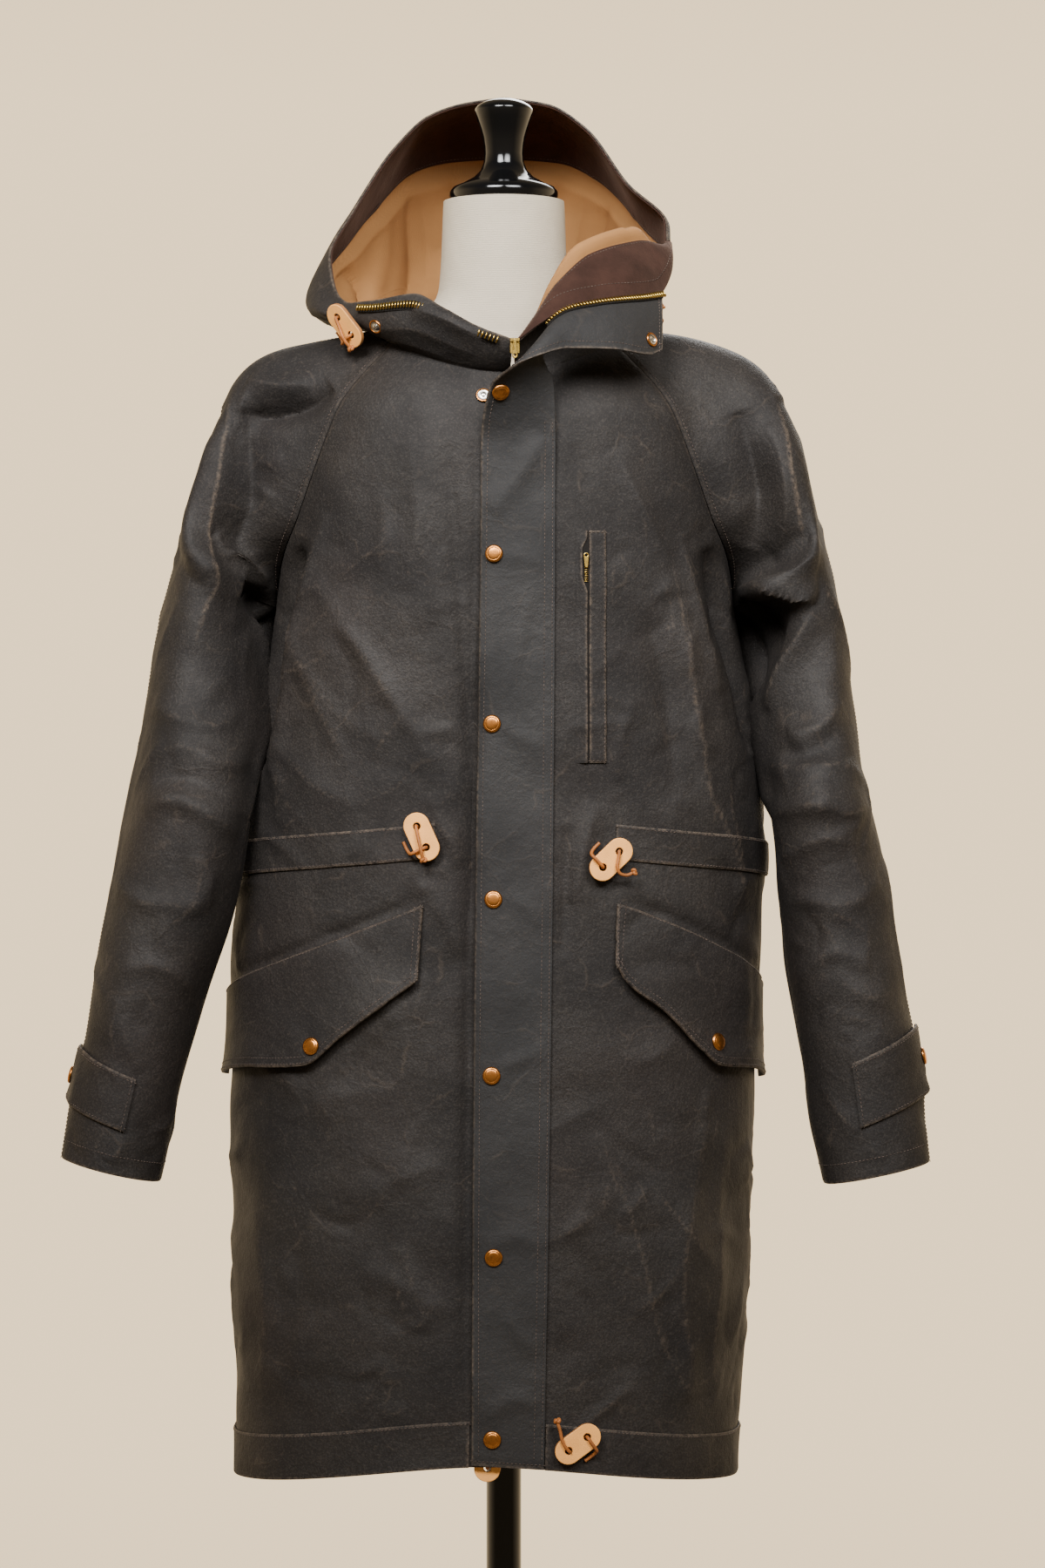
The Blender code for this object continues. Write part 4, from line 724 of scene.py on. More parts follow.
# Creases of the storm fly alone, by x and height.
FLY_CREASES = [
    (0.011, 0.006, 0.2, (-0.012, 1.298), (0.01, 1.325), (0.034, 1.362)),
    (0.006, 0.002, 0.25, (0.004, 1.15), (0.016, 1.2), (0.022, 1.236)),
    (0.007, 0.0024, 0.1, (-0.014, 1.262), (0.008, 1.262), (0.036, 1.258)),
    (0.006, 0.0032, 0.2, (-0.004, 0.838), (0.012, 0.846), (0.038, 0.856)),
    (0.007, 0.0028, 0.15, (-0.004, 1.128), (0.016, 1.112), (0.036, 1.104)),
    (0.007, 0.0024, 0.15, (-0.002, 0.982), (0.018, 0.972), (0.036, 0.96)),
    (0.008, 0.0028, 0.15, (-0.016, 0.69), (0.01, 0.7), (0.034, 0.688)),
    (0.008, 0.0028, 0.15, (0, 0.64), (0.014, 0.618), (0.032, 0.606)),
    (0.007, 0.0028, 0.15, (-0.02, 0.545), (0.006, 0.566), (0.03, 0.56)),
]

# Creases of the sleeves, by place around (0 overarm, 1 front seam, -1 back seam) and along.
SLEEVE_CREASES = {
    "right": [
        (0.016, 0.0055, 0.85, (0.21, 3.06), (0.41, 3.7), (0.54, 4.38), (0.57, 5.25), (0.46, 6.16),
         (0.42, 6.6)),
        (0.017, -0.015, 0, (0.42, 3.03), (0.64, 3.51), (0.78, 4.18), (0.8, 5.07)),
        (0.013, -0.016, 0, (0.4, 3.08), (0.59, 2.73), (0.76, 2.09), (0.86, 1.49)),
        (0.013, 0.008, 0.25, (0.28, 2.7), (0.5, 2.3), (0.7, 1.7)),
        (0.01, 0.012, 0.3, (0.62, 4.95), (0.76, 5.15), (0.86, 5.4), (0.94, 5.55)),
        (0.013, -0.02, 0, (0.7, 5.8), (0.82, 5.98), (0.93, 6.12)),
        (0.015, -0.024, 0, (0.97, 6.05), (0.93, 6.22), (0.91, 6.44)),
        (0.01, 0.007, 0.25, (0.8, 6.2), (0.86, 6.45), (0.92, 6.8), (0.92, 7.2), (0.88, 7.6)),
        (0.01, 0.0048, 0.35, (0.18, 7.06), (0.42, 7.16), (0.59, 7.13), (0.71, 6.94)),
        (0.009, 0.004, 0.35, (0.21, 7.63), (0.45, 7.41), (0.63, 7.48), (0.83, 7.41)),
        (0.009, 0.0044, 0.3, (0.24, 8.1), (0.46, 7.95), (0.65, 8.03), (0.85, 8.13)),
        (0.009, -0.004, 0, (0.3, 7.8), (0.5, 7.7), (0.74, 7.8)),
        (0.008, 0.0024, 0.55, (0.9, 6.6), (0.93, 7.75), (0.9, 8.6)),
        (0.01, 0.004, 0.3, (0.1, 8.8), (0.4, 8.95), (0.75, 8.8)),
        (0.009, 0.0032, 0.25, (0.3, 9.7), (0.55, 9.55), (0.85, 9.75)),
        (0.007, 0.0022, 0.75, (0.08, 7), (0.06, 8.2), (0.1, 9.6)),
        (0.009, 0.0026, 0.2, (0.4, 10.2), (0.48, 10.6), (0.6, 10.9)),
        (0.024, 0.011, 0, (-0.74, 5.6), (-0.78, 6.4), (-0.76, 7.6)),
        (0.01, 0.006, 0.3, (-0.25, 6.9), (-0.55, 6.5), (-0.88, 6.35)),
        (0.009, 0.005, 0.3, (-0.2, 7.7), (-0.55, 7.4), (-0.86, 7.5)),
        (0.009, 0.005, 0.3, (-0.25, 8.6), (-0.6, 8.3), (-0.9, 8.45)),
        (0.014, -0.007, 0, (-0.3, 4.2), (-0.52, 4.9), (-0.6, 5.8)),
        (0.009, 0.0036, 0.25, (-0.15, 9.6), (-0.5, 9.3), (-0.8, 9.5)),
    ],
    "left": [
        (0.012, 0.0026, 0.9, (0.29, 3.18), (0.48, 4.13), (0.59, 5.22)),
        (0.014, -0.013, 0, (0.6, 2.68), (0.69, 3.58), (0.76, 4.05), (0.9, 4.75)),
        (0.015, 0.009, 0.2, (0.48, 3.26), (0.54, 4), (0.65, 4.55), (0.79, 5.15)),
        (0.012, 0.014, 0.35, (0.99, 5.66), (0.7, 5.77), (0.46, 6.07), (0.36, 6.19)),
        (0.026, -0.019, 0, (0.95, 6.12), (0.84, 6.22), (0.7, 6.35), (0.55, 6.46)),
        (0.024, -0.028, 0, (0.97, 6.3), (0.88, 6.56), (0.82, 6.86)),
        (0.012, 0.011, 0.4, (0.36, 6.21), (0.46, 6.49), (0.6, 6.74), (0.71, 6.96)),
        (0.012, 0.0034, 0.9, (0.28, 6.02), (0.14, 6.39), (0.05, 6.84)),
        (0.01, 0.007, 0.4, (0.23, 7.01), (0.42, 7.23), (0.61, 7.26)),
        (0.009, -0.004, 0, (0.3, 7.3), (0.5, 7.45), (0.7, 7.36)),
        (0.009, 0.0036, 0.4, (0.83, 7.43), (0.57, 7.56), (0.32, 7.65), (0.1, 7.9)),
        (0.009, 0.0038, 0.3, (0.94, 7.95), (0.59, 7.93), (0.27, 8.2)),
        (0.007, 0.0024, 0.6, (0.1, 7.7), (0.16, 8.2), (0.28, 8.6)),
        (0.009, 0.0036, 0.25, (0.3, 8.5), (0.58, 8.35), (0.88, 8.5)),
        (0.01, 0.0038, 0.25, (0.18, 9), (0.45, 9.2), (0.8, 8.95)),
        (0.009, 0.003, 0.2, (0.35, 9.9), (0.6, 9.7), (0.86, 9.95)),
        (0.007, 0.002, 0.7, (0.05, 8.8), (0.08, 9.8), (0.06, 10.6)),
        (0.024, 0.011, 0, (-0.74, 5.6), (-0.78, 6.4), (-0.76, 7.6)),
        (0.01, 0.006, 0.3, (-0.25, 6.8), (-0.55, 6.45), (-0.88, 6.3)),
        (0.009, 0.005, 0.3, (-0.2, 7.6), (-0.58, 7.45), (-0.88, 7.6)),
        (0.009, 0.005, 0.3, (-0.22, 8.5), (-0.6, 8.25), (-0.88, 8.4)),
        (0.014, -0.007, 0, (-0.3, 4.3), (-0.5, 5), (-0.62, 5.8)),
        (0.009, 0.0036, 0.25, (-0.16, 9.5), (-0.48, 9.35), (-0.8, 9.6)),
    ],
}

# Creases of the hood and collar, by angle from the back (the wearer's right is negative) and rise.
HOOD_CREASES = [
    (0.008, 0.006, 0.15, (-145, 0.84), (-160, 0.87), (-174, 0.84)),
    (0.008, 0.0024, 0.25, (-168, 0.45), (-146, 0.62), (-122, 0.55)),
    (0.009, 0.0026, 0.2, (-160, 0.18), (-138, 0.34), (-116, 0.3)),
    (0.009, 0.0034, 0.4, (-112, 0.2), (-100, 0.44), (-96, 0.66)),
    (0.011, 0.0036, 0.3, (-92, 0.16), (-84, 0.4), (-86, 0.68)),
    (0.014, -0.0044, 0, (-70, 0.2), (-60, 0.45), (-62, 0.72)),
    (0.016, 0.004, 0.2, (-38, 0.14), (-34, 0.4), (-44, 0.7)),
    (0.015, 0.0044, 0.2, (-8, 0.24), (12, 0.3), (36, 0.26)),
    (0.016, 0.004, 0.2, (30, 0.16), (32, 0.42), (44, 0.7)),
    (0.014, -0.004, 0, (64, 0.16), (60, 0.44), (66, 0.72)),
    (0.01, 0.003, 0.3, (84, 0.14), (80, 0.42), (88, 0.7)),
]

# Folds of the hood's lining alone, which draw it back between its puffs.
LINING_CREASES = [
    (0.008, -0.008, 0, (-132, 0.06), (-126, 0.3), (-114, 0.64)),
    (0.009, -0.01, 0, (-114, 0.04), (-110, 0.3), (-94, 0.52)),
    (0.008, -0.009, 0, (-100, 0.66), (-92, 0.4), (-84, 0.06)),
    (0.011, -0.01, 0, (-74, 0.1), (-70, 0.36), (-80, 0.66)),
    (0.012, -0.009, 0, (-52, 0.06), (-42, 0.34), (-48, 0.66)),
    (0.01, -0.006, 0, (-30, 0.4), (-12, 0.46), (10, 0.42)),
    (0.012, -0.009, 0, (-20, 0.06), (-16, 0.36), (-24, 0.66)),
    (0.012, -0.01, 0, (18, 0.06), (14, 0.38), (26, 0.66)),
    (0.011, -0.009, 0, (50, 0.06), (44, 0.4), (54, 0.66)),
    (0.009, -0.01, 0, (76, 0.06), (80, 0.34), (70, 0.64)),
    (0.008, -0.009, 0, (92, 0.06), (96, 0.34), (104, 0.64)),
    (0.008, -0.008, 0, (112, 0.08), (116, 0.34), (122, 0.6)),
]


def points(x, y, z):
    return np.stack(np.broadcast_arrays(x, y, z), axis=-1)


def unit(vectors):
    return vectors / np.linalg.norm(vectors, axis=-1, keepdims=True)


def fold_height(across, along, folds, across_size, along_size):
    """How far a surface is moved out at a place by its folds."""
    total = np.zeros(np.broadcast(across, along).shape)
    for (a0, b0), (a1, b1), half_width, depth in folds:
        run = np.array([(a1 - a0) * across_size, (b1 - b0) * along_size])
        da, db = (across - a0) * across_size, (along - b0) * along_size
        share = np.clip((da * run[0] + db * run[1]) / (run @ run), 0, 1)
        away = np.hypot(da - share * run[0], db - share * run[1])
        total += depth * np.exp(-((away / half_width) ** 2)) * np.sin(np.pi * share) ** 0.7
    return total


def body(turn, level):
    """The coat's outside at an angle from the front and a ring's place in the table."""
    front_z, side_z, back_z, right_x, left_x, front_y, back_y, _, _ = BODY.read(level)
    sine, cosine = np.sin(np.radians(turn)), np.cos(np.radians(turn))
    ahead = cosine >= 0
    depth, end_z = np.where(ahead, front_y, back_y), np.where(ahead, front_z, back_z)
    half = (left_x - right_x) / 2
    n = SQUARENESS
    reach = ((np.abs(sine) / half) ** n + (np.abs(cosine) / depth) ** n) ** (-1 / n)
    z = side_z + (end_z - side_z) * cosine**2
    reach = reach + fold_height(turn, z, BODY_FOLDS, math.radians(FOLD_REACH), 1.0)
    return points((left_x + right_x) / 2 + reach * sine, -reach * cosine, z)


def body_height(turn, level):
    """The height of the coat's outside at an angle from the front and a ring's place in the table."""
    front_z, side_z, back_z = HEIGHTS.read(level)
    cosine = np.cos(np.radians(turn))
    return side_z + (np.where(cosine >= 0, front_z, back_z) - side_z) * cosine**2


def level_at(turn, z):
    """The place in the body's table at which the surface is at a height."""
    shape = np.broadcast(turn, z).shape
    low, high = np.zeros(shape), np.full(shape, float(NECKLINE))
    for _ in range(HEIGHT_ROUNDS):
        middle = (low + high) / 2
        under = body_height(turn, middle) < z
        low, high = np.where(under, middle, low), np.where(under, high, middle)
    return (low + high) / 2


def body_at(turn, z):
    return body(turn, level_at(turn, z))


def front_turn(x, z):
    """The angle from the front at which the body's front is at a given x."""
    turn = np.degrees(np.arctan2(x, FRONT_DEPTH)) + 0 * z
    for _ in range(FRONT_ROUNDS):
        _, _, _, right_x, left_x, front_y, _, _, _ = BODY.read(level_at(turn, z))
        side = x - (left_x + right_x) / 2
        share = np.clip(np.abs(side) / ((left_x - right_x) / 2), 0, 0.999)
        turn = np.degrees(np.arctan2(side, front_y * (1 - share**SQUARENESS) ** (1 / SQUARENESS)))
    return turn


def front(x, z):
    """The body's outside at a given x and height on the front."""
    return body_at(front_turn(x, z), z)


def raglan_turn(level, ahead):
    """The angle from the front of the front or back raglan seam, at the side below the underarm."""
    columns = BODY.read(level)
    return columns[7] if ahead else 180 - columns[8]


def curve_between(share, start, first, second, end):
    """Points of a curve from a start to an end, led by two points between them."""
    t = share[..., None]
    return (1 - t) ** 3 * start + 3 * t * (1 - t) ** 2 * first + 3 * t * t * (1 - t) * second + t**3 * end


def sleeve(side):
    """A surface: place around (0 overarm, 1 front seam, -1 back seam) and place along in the table."""
    sign = SIDES[side]
    under = SLEEVES[side].values[SLEEVE_UNDERARM, 3:6]

    def surface(around, along):
        columns = SLEEVES[side].read(along)
        over_x, over_y, over_z, in_x, in_y, in_z, run_front, run_back, leave_front, leave_back, pull = columns
        ahead = around >= 0
        level = NECKLINE - (NECKLINE - UNDERARM) * np.minimum(along / SLEEVE_UNDERARM, 1)
        turn = np.where(ahead, raglan_turn(level, True), raglan_turn(level, False))
        gap = RAGLAN_GAP * np.where(ahead, 1, -1) * np.where(along < SLEEVE_UNDERARM, 1, -1)
        inner = body(sign * (turn + gap), level)
        drop = points(sign * (in_x - under[0]), in_y - under[1], in_z - under[2])
        inner = inner + drop * (along >= SLEEVE_UNDERARM)[..., None]
        drawn = np.clip((along - CLOSE_RINGS[0]) / (CLOSE_RINGS[1] - CLOSE_RINGS[0]), 0, 1)
        close = UNDERARM_CLOSE[side] * np.sqrt(np.abs(np.sin(np.pi * drawn)))
        seat = inner - points(sign * close, 0 * close, 0 * close)
        inner = seat + points(0 * close, UNDERARM_BACK[side] * np.sin(np.pi * drawn), 0 * close)
        outer = points(sign * over_x, over_y, over_z)
        toward = np.where(ahead, -1.0, 1.0)
        raglan = np.clip(1 - along / SLEEVE_UNDERARM, 0, 1)
        rise = (over_z - inner[..., 2]) * 0.35 * raglan**0.5
        first = outer + points(0, toward * np.where(ahead, run_front, run_back), 0 * over_z)
        leave = np.radians(np.where(ahead, leave_front, leave_back))
        lead = points(sign * pull * np.sin(leave), toward * pull * np.cos(leave), rise)
        second = np.where(ahead[..., None], inner, seat) + lead
        spot = curve_between(np.abs(around), outer, first, second, inner)
        near_seam = np.clip(4 * (1 - np.abs(around)), 0, 1)
        folds = fold_height(around, along, SLEEVE_FOLDS[side], *SLEEVE_REACH)
        out = folds * near_seam**2 * (3 - 2 * near_seam)
        return spot + unit(spot - (outer + inner) / 2) * out[..., None]

    return surface


def hood(side):
    """A surface: angle from the back and share of the way from the neckline to the rim."""
    sign = SIDES[side]

    def surface(angle, rise):
        columns = HOODS[side].read(angle)
        low, belly, rim = (points(sign * columns[i], columns[i + 1], columns[i + 2]) for i in (1, 4, 7))
        base = body(sign * (180 - angle), np.full(np.shape(angle), float(NECKLINE))) + points(0, 0, GAP)
        return curve_between(rise, base, low, belly, rim)

    return surface


def whole_hood(angle, rise):
    """Both halves of the hood as one surface; the wearer's right has negative angles."""
    angle, rise = np.broadcast_arrays(angle, rise)
    left, right = hood("left")(np.abs(angle), rise), hood("right")(np.abs(angle), rise)
    return np.where((angle >= 0)[..., None], left, right)


def fly_grid(across):
    """Points of the fly's outside from its bottom to the end of the lapel; columns go from sewn to free."""
    rows = []
    for z in np.linspace(FLY_RUN.keys[0], FLY_RUN.keys[-1], FLY_ROWS[0]):
        _, sewn, free = FLY_RUN.read(z)
        slant = 0.004 * (1 - across) * (z < 0.52)
        rows.append(moved_out(front, sewn + (free - sewn) * across, z - slant, FLY_LIFT))
    for place in np.linspace(0, len(FLY_TOP.keys) - 1, FLY_ROWS[1]):
        top = FLY_TOP.read(place)
        line = top[:3] + (top[3:6] - top[:3]) * across[:, None]
        rows.append(line + np.array([0, -0.7, 0.7]) * (top[6] * 4 * across * (1 - across))[:, None])
    return np.array(rows)


def moved_out(surface, u, v, lift):
    """Points of a surface moved out by a lift."""
    u, v = np.broadcast_arrays(np.asarray(u, float), np.asarray(v, float))
    spot, normal = with_normal(surface, u, v, 1, FRONT_STEPS)
    return spot + normal * lift


def with_normal(surface, u, v, outward, steps):
    """Points of a surface and its outward direction there."""
    across = surface(u + steps[0], v) - surface(u - steps[0], v)
    along = surface(u, v + steps[1]) - surface(u, v - steps[1])
    return surface(u, v), outward * unit(np.cross(across, along))


def arc(centre, radius, start, end, count):
    return [
        (centre[0] + radius * math.cos(math.radians(a)), centre[1] + radius * math.sin(math.radians(a)))
        for a in np.linspace(start, end, count)
    ]


def linear(colour):
    """An sRGB hex colour as linear red, green and blue."""
    parts = [int(colour[i:i + 2], 16) / 255 for i in (1, 3, 5)]
    return tuple(c / 12.92 if c <= 0.04045 else ((c + 0.055) / 1.055) ** 2.4 for c in parts)


def colour_property(name, description, colour):
    return FloatVectorProperty(
        name=name, description=description, default=linear(colour), subtype="COLOR", size=3, min=0, max=1,
    )


def length_property(name, description, metres):
    return FloatProperty(
        name=name, description=description, default=metres, unit="LENGTH", min=0, precision=5,
    )


class ParkaCloth(bpy.types.PropertyGroup):
    """Colours of the cloths and sizes of their grids and thread."""

    wax: colour_property("Waxed cotton", "The coat's cloth where the wax lies evenly", "#2a2623")
    wax_dark: colour_property("Waxed cotton, dark", "The coat's cloth where the wax is thick", "#181514")
    wax_brown: colour_property("Waxed cotton, brown", "The coat's cloth where the wax has gone", "#292320")
    # Painted glint: pale threads standing in for threads that catch the light
    wax_pale_glint: colour_property("Waxed cotton, pale", "Threads of the coat's cloth that shine", "#46403a")
    # Painted sheen: the fly is coloured cooler and paler, standing in for the broad sheen of its wax
    wax_cool_sheen: colour_property("Waxed cotton, cool", "The fly's double cloth, thick with wax", "#2d2e2f")
    worn: colour_property("Worn cotton", "Ridges and edges rubbed down to the cotton", "#7a6a5a")
    facing: colour_property("Facing", "Brushed cotton inside the hood's rim and collar", "#3b2720")
    lining: colour_property("Lining", "Cotton inside the hood", "#9f7144")
    tape: colour_property("Zip tape", "Woven tape of the zips", "#1a1715")
    thread: colour_property("Thread", "Sewing thread", "#5d5048")
    linen: colour_property("Form linen", "Cover of the dress form", "#cdc0aa")
    grid: length_property("Grid", "Distance between the cloth's grid lines", 0.0030)
    slack: length_property("Slack", "Height of the cloth's gentle unevenness", 0.0014)
    stitch: length_property("Stitch", "Length of a stitch", 0.0025)
    stitch_gap: length_property("Stitch gap", "Distance between stitches", 0.0008)
    thread_width: length_property("Thread width", "Width of the sewing thread", 0.0007)
    small_creases: IntProperty(
        name="Small creases", description="Faint creases on each panel", default=95, min=0,
    )


class ParkaTrim(bpy.types.PropertyGroup):
    """Colours of leather, metal and lacquer, and sizes of the zips' teeth."""

    leather: colour_property("Leather", "Faces of the toggles", "#ffb45e")
    leather_edge: colour_property("Leather edge", "Cut edges of the toggles", "#a9713f")
    cord: colour_property("Cord", "Leather drawcords", "#a8642c")
    copper: colour_property("Copper", "Snap caps", "#cf8846")
    brass: colour_property("Brass", "Zip teeth and sliders", "#cfae5c")
    nickel: colour_property("Nickel", "Press studs", "#d8d4cd")
    lacquer: colour_property("Lacquer", "Neck cap, pole and base of the form", "#0b0b0c")
    tooth_pitch: length_property("Tooth pitch", "Distance between the zip's teeth", 0.0029)
    tooth_length: length_property("Tooth length", "Length of a zip tooth across the tape", 0.0056)
    tooth_height: length_property("Tooth height", "Height of a zip tooth off the tape", 0.0028)


class ParkaStage(bpy.types.PropertyGroup):
    """Camera, light and floor."""

    eye: FloatVectorProperty(
        name="Camera", description="Place of the camera, which looks level along +Y",
        default=(0.0161, -3.6, 1.074), subtype="TRANSLATION", unit="LENGTH",
    )
    lens: FloatProperty(name="Lens", description="Focal length in millimetres", default=96.0, min=1)
    floor: colour_property("Floor", "Floor of the studio", "#d9d0c2")
    backdrop: colour_property("Backdrop", "Plain light all round the studio", "#e9cfa6")
    glow: FloatProperty(
        name="Glow", description="Strength of the light all round the studio", default=2.25, min=0,
    )
    key: FloatProperty(
        name="Key light", description="Power of the large soft light", default=16.5, unit="POWER",
    )


COORDS, ATTRIBUTE, RANGE = "ShaderNodeTexCoord", "ShaderNodeAttribute", "ShaderNodeMapRange"
NOISE, CELLS, WAVES = "ShaderNodeTexNoise", "ShaderNodeTexVoronoi", "ShaderNodeTexWave"
MIX, MATH, VECTOR_MATH, BUMP = "ShaderNodeMix", "ShaderNodeMath", "ShaderNodeVectorMath", "ShaderNodeBump"
# What the wave texture's scale is times the distance between two waves
WAVE_SCALE = 0.314
# Rows of stitches to be sewn, and the grids of cloth made so far that others are laid on
THREAD_ROWS = {}
MADE = {}


def add(tree, kind, inputs, output=0, **settings):
    """Adds a node with its settings and gives one output; an input is a value or another node's output."""
    made = tree.nodes.new(kind)
    for name, value in settings.items():
        setattr(made, name, value)
    for name, value in inputs.items() if isinstance(inputs, dict) else enumerate(inputs):
        socket = made.inputs[name]
        if isinstance(value, bpy.types.NodeSocket):
            tree.links.new(value, socket)
        else:
            socket.default_value = (*value, 1) if socket.type == "RGBA" and len(value) == 3 else value
    return made.outputs[output]


def new_material(name, **constants):
    """A Principled material with constants on its shader; gives it, its tree, its shader and its places."""
    made = bpy.data.materials.new(name)
    made.use_nodes = True
    tree = made.node_tree
    shader = tree.nodes["Principled BSDF"]
    for socket, value in constants.items():
        shader.inputs[socket.replace("_", " ")].default_value = value
    return made, tree, shader, add(tree, COORDS, {}, "Object")


def blotched(tree, spot, noise, span, colour, dark):
    """A colour that goes darker in blotches, of a size in millimetres, a detail and a roughness."""
    size, detail, roughness = noise
    look_of = {"Vector": spot, "Scale": 1000 / size, "Detail": detail, "Roughness": roughness}
    blotch = add(tree, NOISE, look_of)
    share = add(tree, RANGE, (blotch, *span))
    shade = tuple(dark * c for c in colour)
    return add(tree, MIX, {0: share, 6: shade, 7: colour}, 2, data_type="RGBA"), blotch


def dress(tree, shader, colour, bumps=(), roughness=None):
    """Links a shader to its colour, its roughness and its bumps, each a height and how far it reaches."""
    under = {}
    for height, distance in bumps:
        bump = {"Height": height, "Distance": distance, "Strength": 1.0, **under}
        under = {"Normal": add(tree, BUMP, bump)}
    if roughness:
        under["Roughness"] = roughness
    for socket, output in {"Base Color": colour, **under}.items():
        tree.links.new(output, shader.inputs[socket])


def waxed_cotton(name, cloth):
    # Dense cotton soaked in dark wax: matt and finely grained, mottled, with a low broad sheen where the wax
    # lies thick and a paler brown where creases and edges rub it; pale threads are a painted glint and the fly a
    # painted cool sheen
    made, tree, shader, spot = new_material(name, Specular_IOR_Level=0.26)
    # The grain of threads is drawn at about 2 mm, coarser than the cloth's, so that it shows
    blotch, patch, grain, fleck, rub, spread, soft = (
        add(tree, NOISE, {"Vector": spot, "Scale": 1000 / size, "Detail": detail, "Roughness": roughness})
        for size, detail, roughness in (
            (85, 6, 0.62), (150, 4, 0.5), (1.7, 2, 0.6), (10, 6, 0.75), (4, 5, 0.75), (26, 3, 0.5),
            (30, 7, 0.64),
        )
    )
    double, worn = (add(tree, ATTRIBUTE, {}, "Fac", attribute_name=kept) for kept in ("double", "worn"))
    push = add(tree, NOISE, {"Vector": spot, "Scale": 1000 / 40, "Detail": 3.0}, "Color")
    push = add(tree, VECTOR_MATH, {0: push, "Scale": 0.035}, operation="SCALE")
    bent = add(tree, VECTOR_MATH, (spot, push), operation="ADD")
    edges = add(tree, CELLS, {"Vector": bent, "Scale": 1000 / 55}, feature="DISTANCE_TO_EDGE")
    crackle = add(tree, RANGE, (edges, 0.0, 0.03, 1.0, 0.0))
    # Painted sheen: where the double value marks the fly, the cool sheen colour is mixed in, patchy with the grain
    cool = add(tree, MATH, (double, add(tree, RANGE, (grain, 0.3, 0.7, 0.50, 0.25))), operation="MULTIPLY")
    rub = add(tree, MATH, (worn, add(tree, RANGE, (rub, 0.36, 0.66))), operation="MULTIPLY")
    faint = add(tree, RANGE, (spread, 0.52, 0.68, 0.0, 0.09))
    faint = add(tree, MATH, (crackle, faint), operation="MULTIPLY")
    base = cloth.wax_dark
    for share, colour in (
        (add(tree, RANGE, (blotch, 0.34, 0.66)), cloth.wax),
        (add(tree, RANGE, (patch, 0.48, 0.72, 0.0, 0.8)), cloth.wax_brown),
        (add(tree, RANGE, (grain, 0.56, 0.36, 0.0, 0.55)), cloth.wax_dark),
        # Painted glint: the grain's high threads are painted pale, as if they shine
        (add(tree, RANGE, (grain, 0.52, 0.72, 0.0, 0.30)), cloth.wax_pale_glint),
        # Painted cool sheen on the fly
        (cool, cloth.wax_cool_sheen),
        (add(tree, RANGE, (fleck, 0.62, 0.80, 0.0, 0.22)), cloth.worn),
        (add(tree, RANGE, (rub, 0.05, 1.0, 0.0, 0.70)), cloth.worn),
        (faint, cloth.worn),
    ):
        base = add(tree, MIX, {0: share, 6: base, 7: colour}, 2, data_type="RGBA")
    matt = add(tree, RANGE, (blotch, 0.3, 0.7, 0.78, 0.58))
    dress(tree, shader, base, ((soft, 0.0022), (crackle, 0.0001), (grain, 0.0003)), matt)
    return made


def moleskin(name, colour):
    # Brushed cotton: a short dense nap, dark brown, soft, paler where it is seen along the nap
    made, tree, shader, spot = new_material(
        name, Roughness=0.95, Specular_IOR_Level=0.15, Sheen_Weight=0.30, Sheen_Roughness=0.45,
        Sheen_Tint=(0.50, 0.34, 0.26, 1),
    )
    base, _ = blotched(tree, spot, (30, 6, 0.7), (0.32, 0.68), colour, 0.5)
    soft = add(tree, NOISE, {"Vector": spot, "Scale": 1000 / 18, "Detail": 4.0})
    pile = add(tree, NOISE, {"Vector": spot, "Scale": 1000 / 1.6, "Detail": 3.0})
    dress(tree, shader, base, ((soft, 0.0010), (pile, 0.0003)))
    return made


def cotton_cloth(name, colour, pitch, turn, dark):
    # Plain matt cotton or linen: threads with slubs, with painted shade darkening the weave's hollows
    made, tree, shader, spot = new_material(name, Roughness=0.88, Specular_IOR_Level=0.2)
    where = add(tree, COORDS, {}, "UV")
    where = add(tree, "ShaderNodeMapping", {"Vector": where, "Rotation": (0, 0, turn)})
    sizes = {"Vector": where, "Scale": WAVE_SCALE / pitch, "Distortion": 0.6, "Detail": 1.0}
    weave = (add(tree, WAVES, sizes, "Fac", bands_direction=way) for way in "XY")
    threads = add(tree, MATH, tuple(weave), operation="MAXIMUM")
    slub = add(tree, NOISE, {"Vector": spot, "Scale": 1000 / 45, "Detail": 5.0})
    slub = add(tree, RANGE, (slub, 0.3, 0.7, 0.6, 1.0))
    # Painted shade: the weave's hollows are drawn darker, and the slubs vary the tone at random
    share = add(tree, RANGE, (threads, 0.2, 0.9, 0.55, 1.0))
    share = add(tree, MATH, (share, slub), operation="MULTIPLY")
    shade = tuple(dark * c for c in colour)
    base = add(tree, MIX, {0: share, 6: shade, 7: colour}, 2, data_type="RGBA")
    soft = add(tree, NOISE, {"Vector": spot, "Scale": 1000 / 22, "Detail": 4.0})
    dress(tree, shader, base, ((soft, 0.0010), (threads, 0.00015)))
    return made


def thread_cotton(name, colour):
    # Waxed thread: matt, a little paler than the cloth it sews, dirtier in places
    made, tree, shader, spot = new_material(name, Roughness=0.75, Specular_IOR_Level=0.25)
    base, _ = blotched(tree, spot, (14, 4, 0.5), (0.35, 0.65), colour, 0.4)
    dress(tree, shader, base)
    return made


def leather(name, colour, dark, grain):
    # Vegetable-tanned leather: pale tan with fine pores, darker blotches from handling, a soft polish
    made, tree, shader, spot = new_material(name, Specular_IOR_Level=0.4)
    base, blotch = blotched(tree, spot, (14, 5, 0.6), (0.30, 0.62), colour, dark)
    pores = add(tree, CELLS, {"Vector": spot, "Scale": 1000 / grain})
    dress(tree, shader, base, ((pores, 0.00012),), add(tree, RANGE, (blotch, 0.3, 0.7, 0.62, 0.46)))
    return made


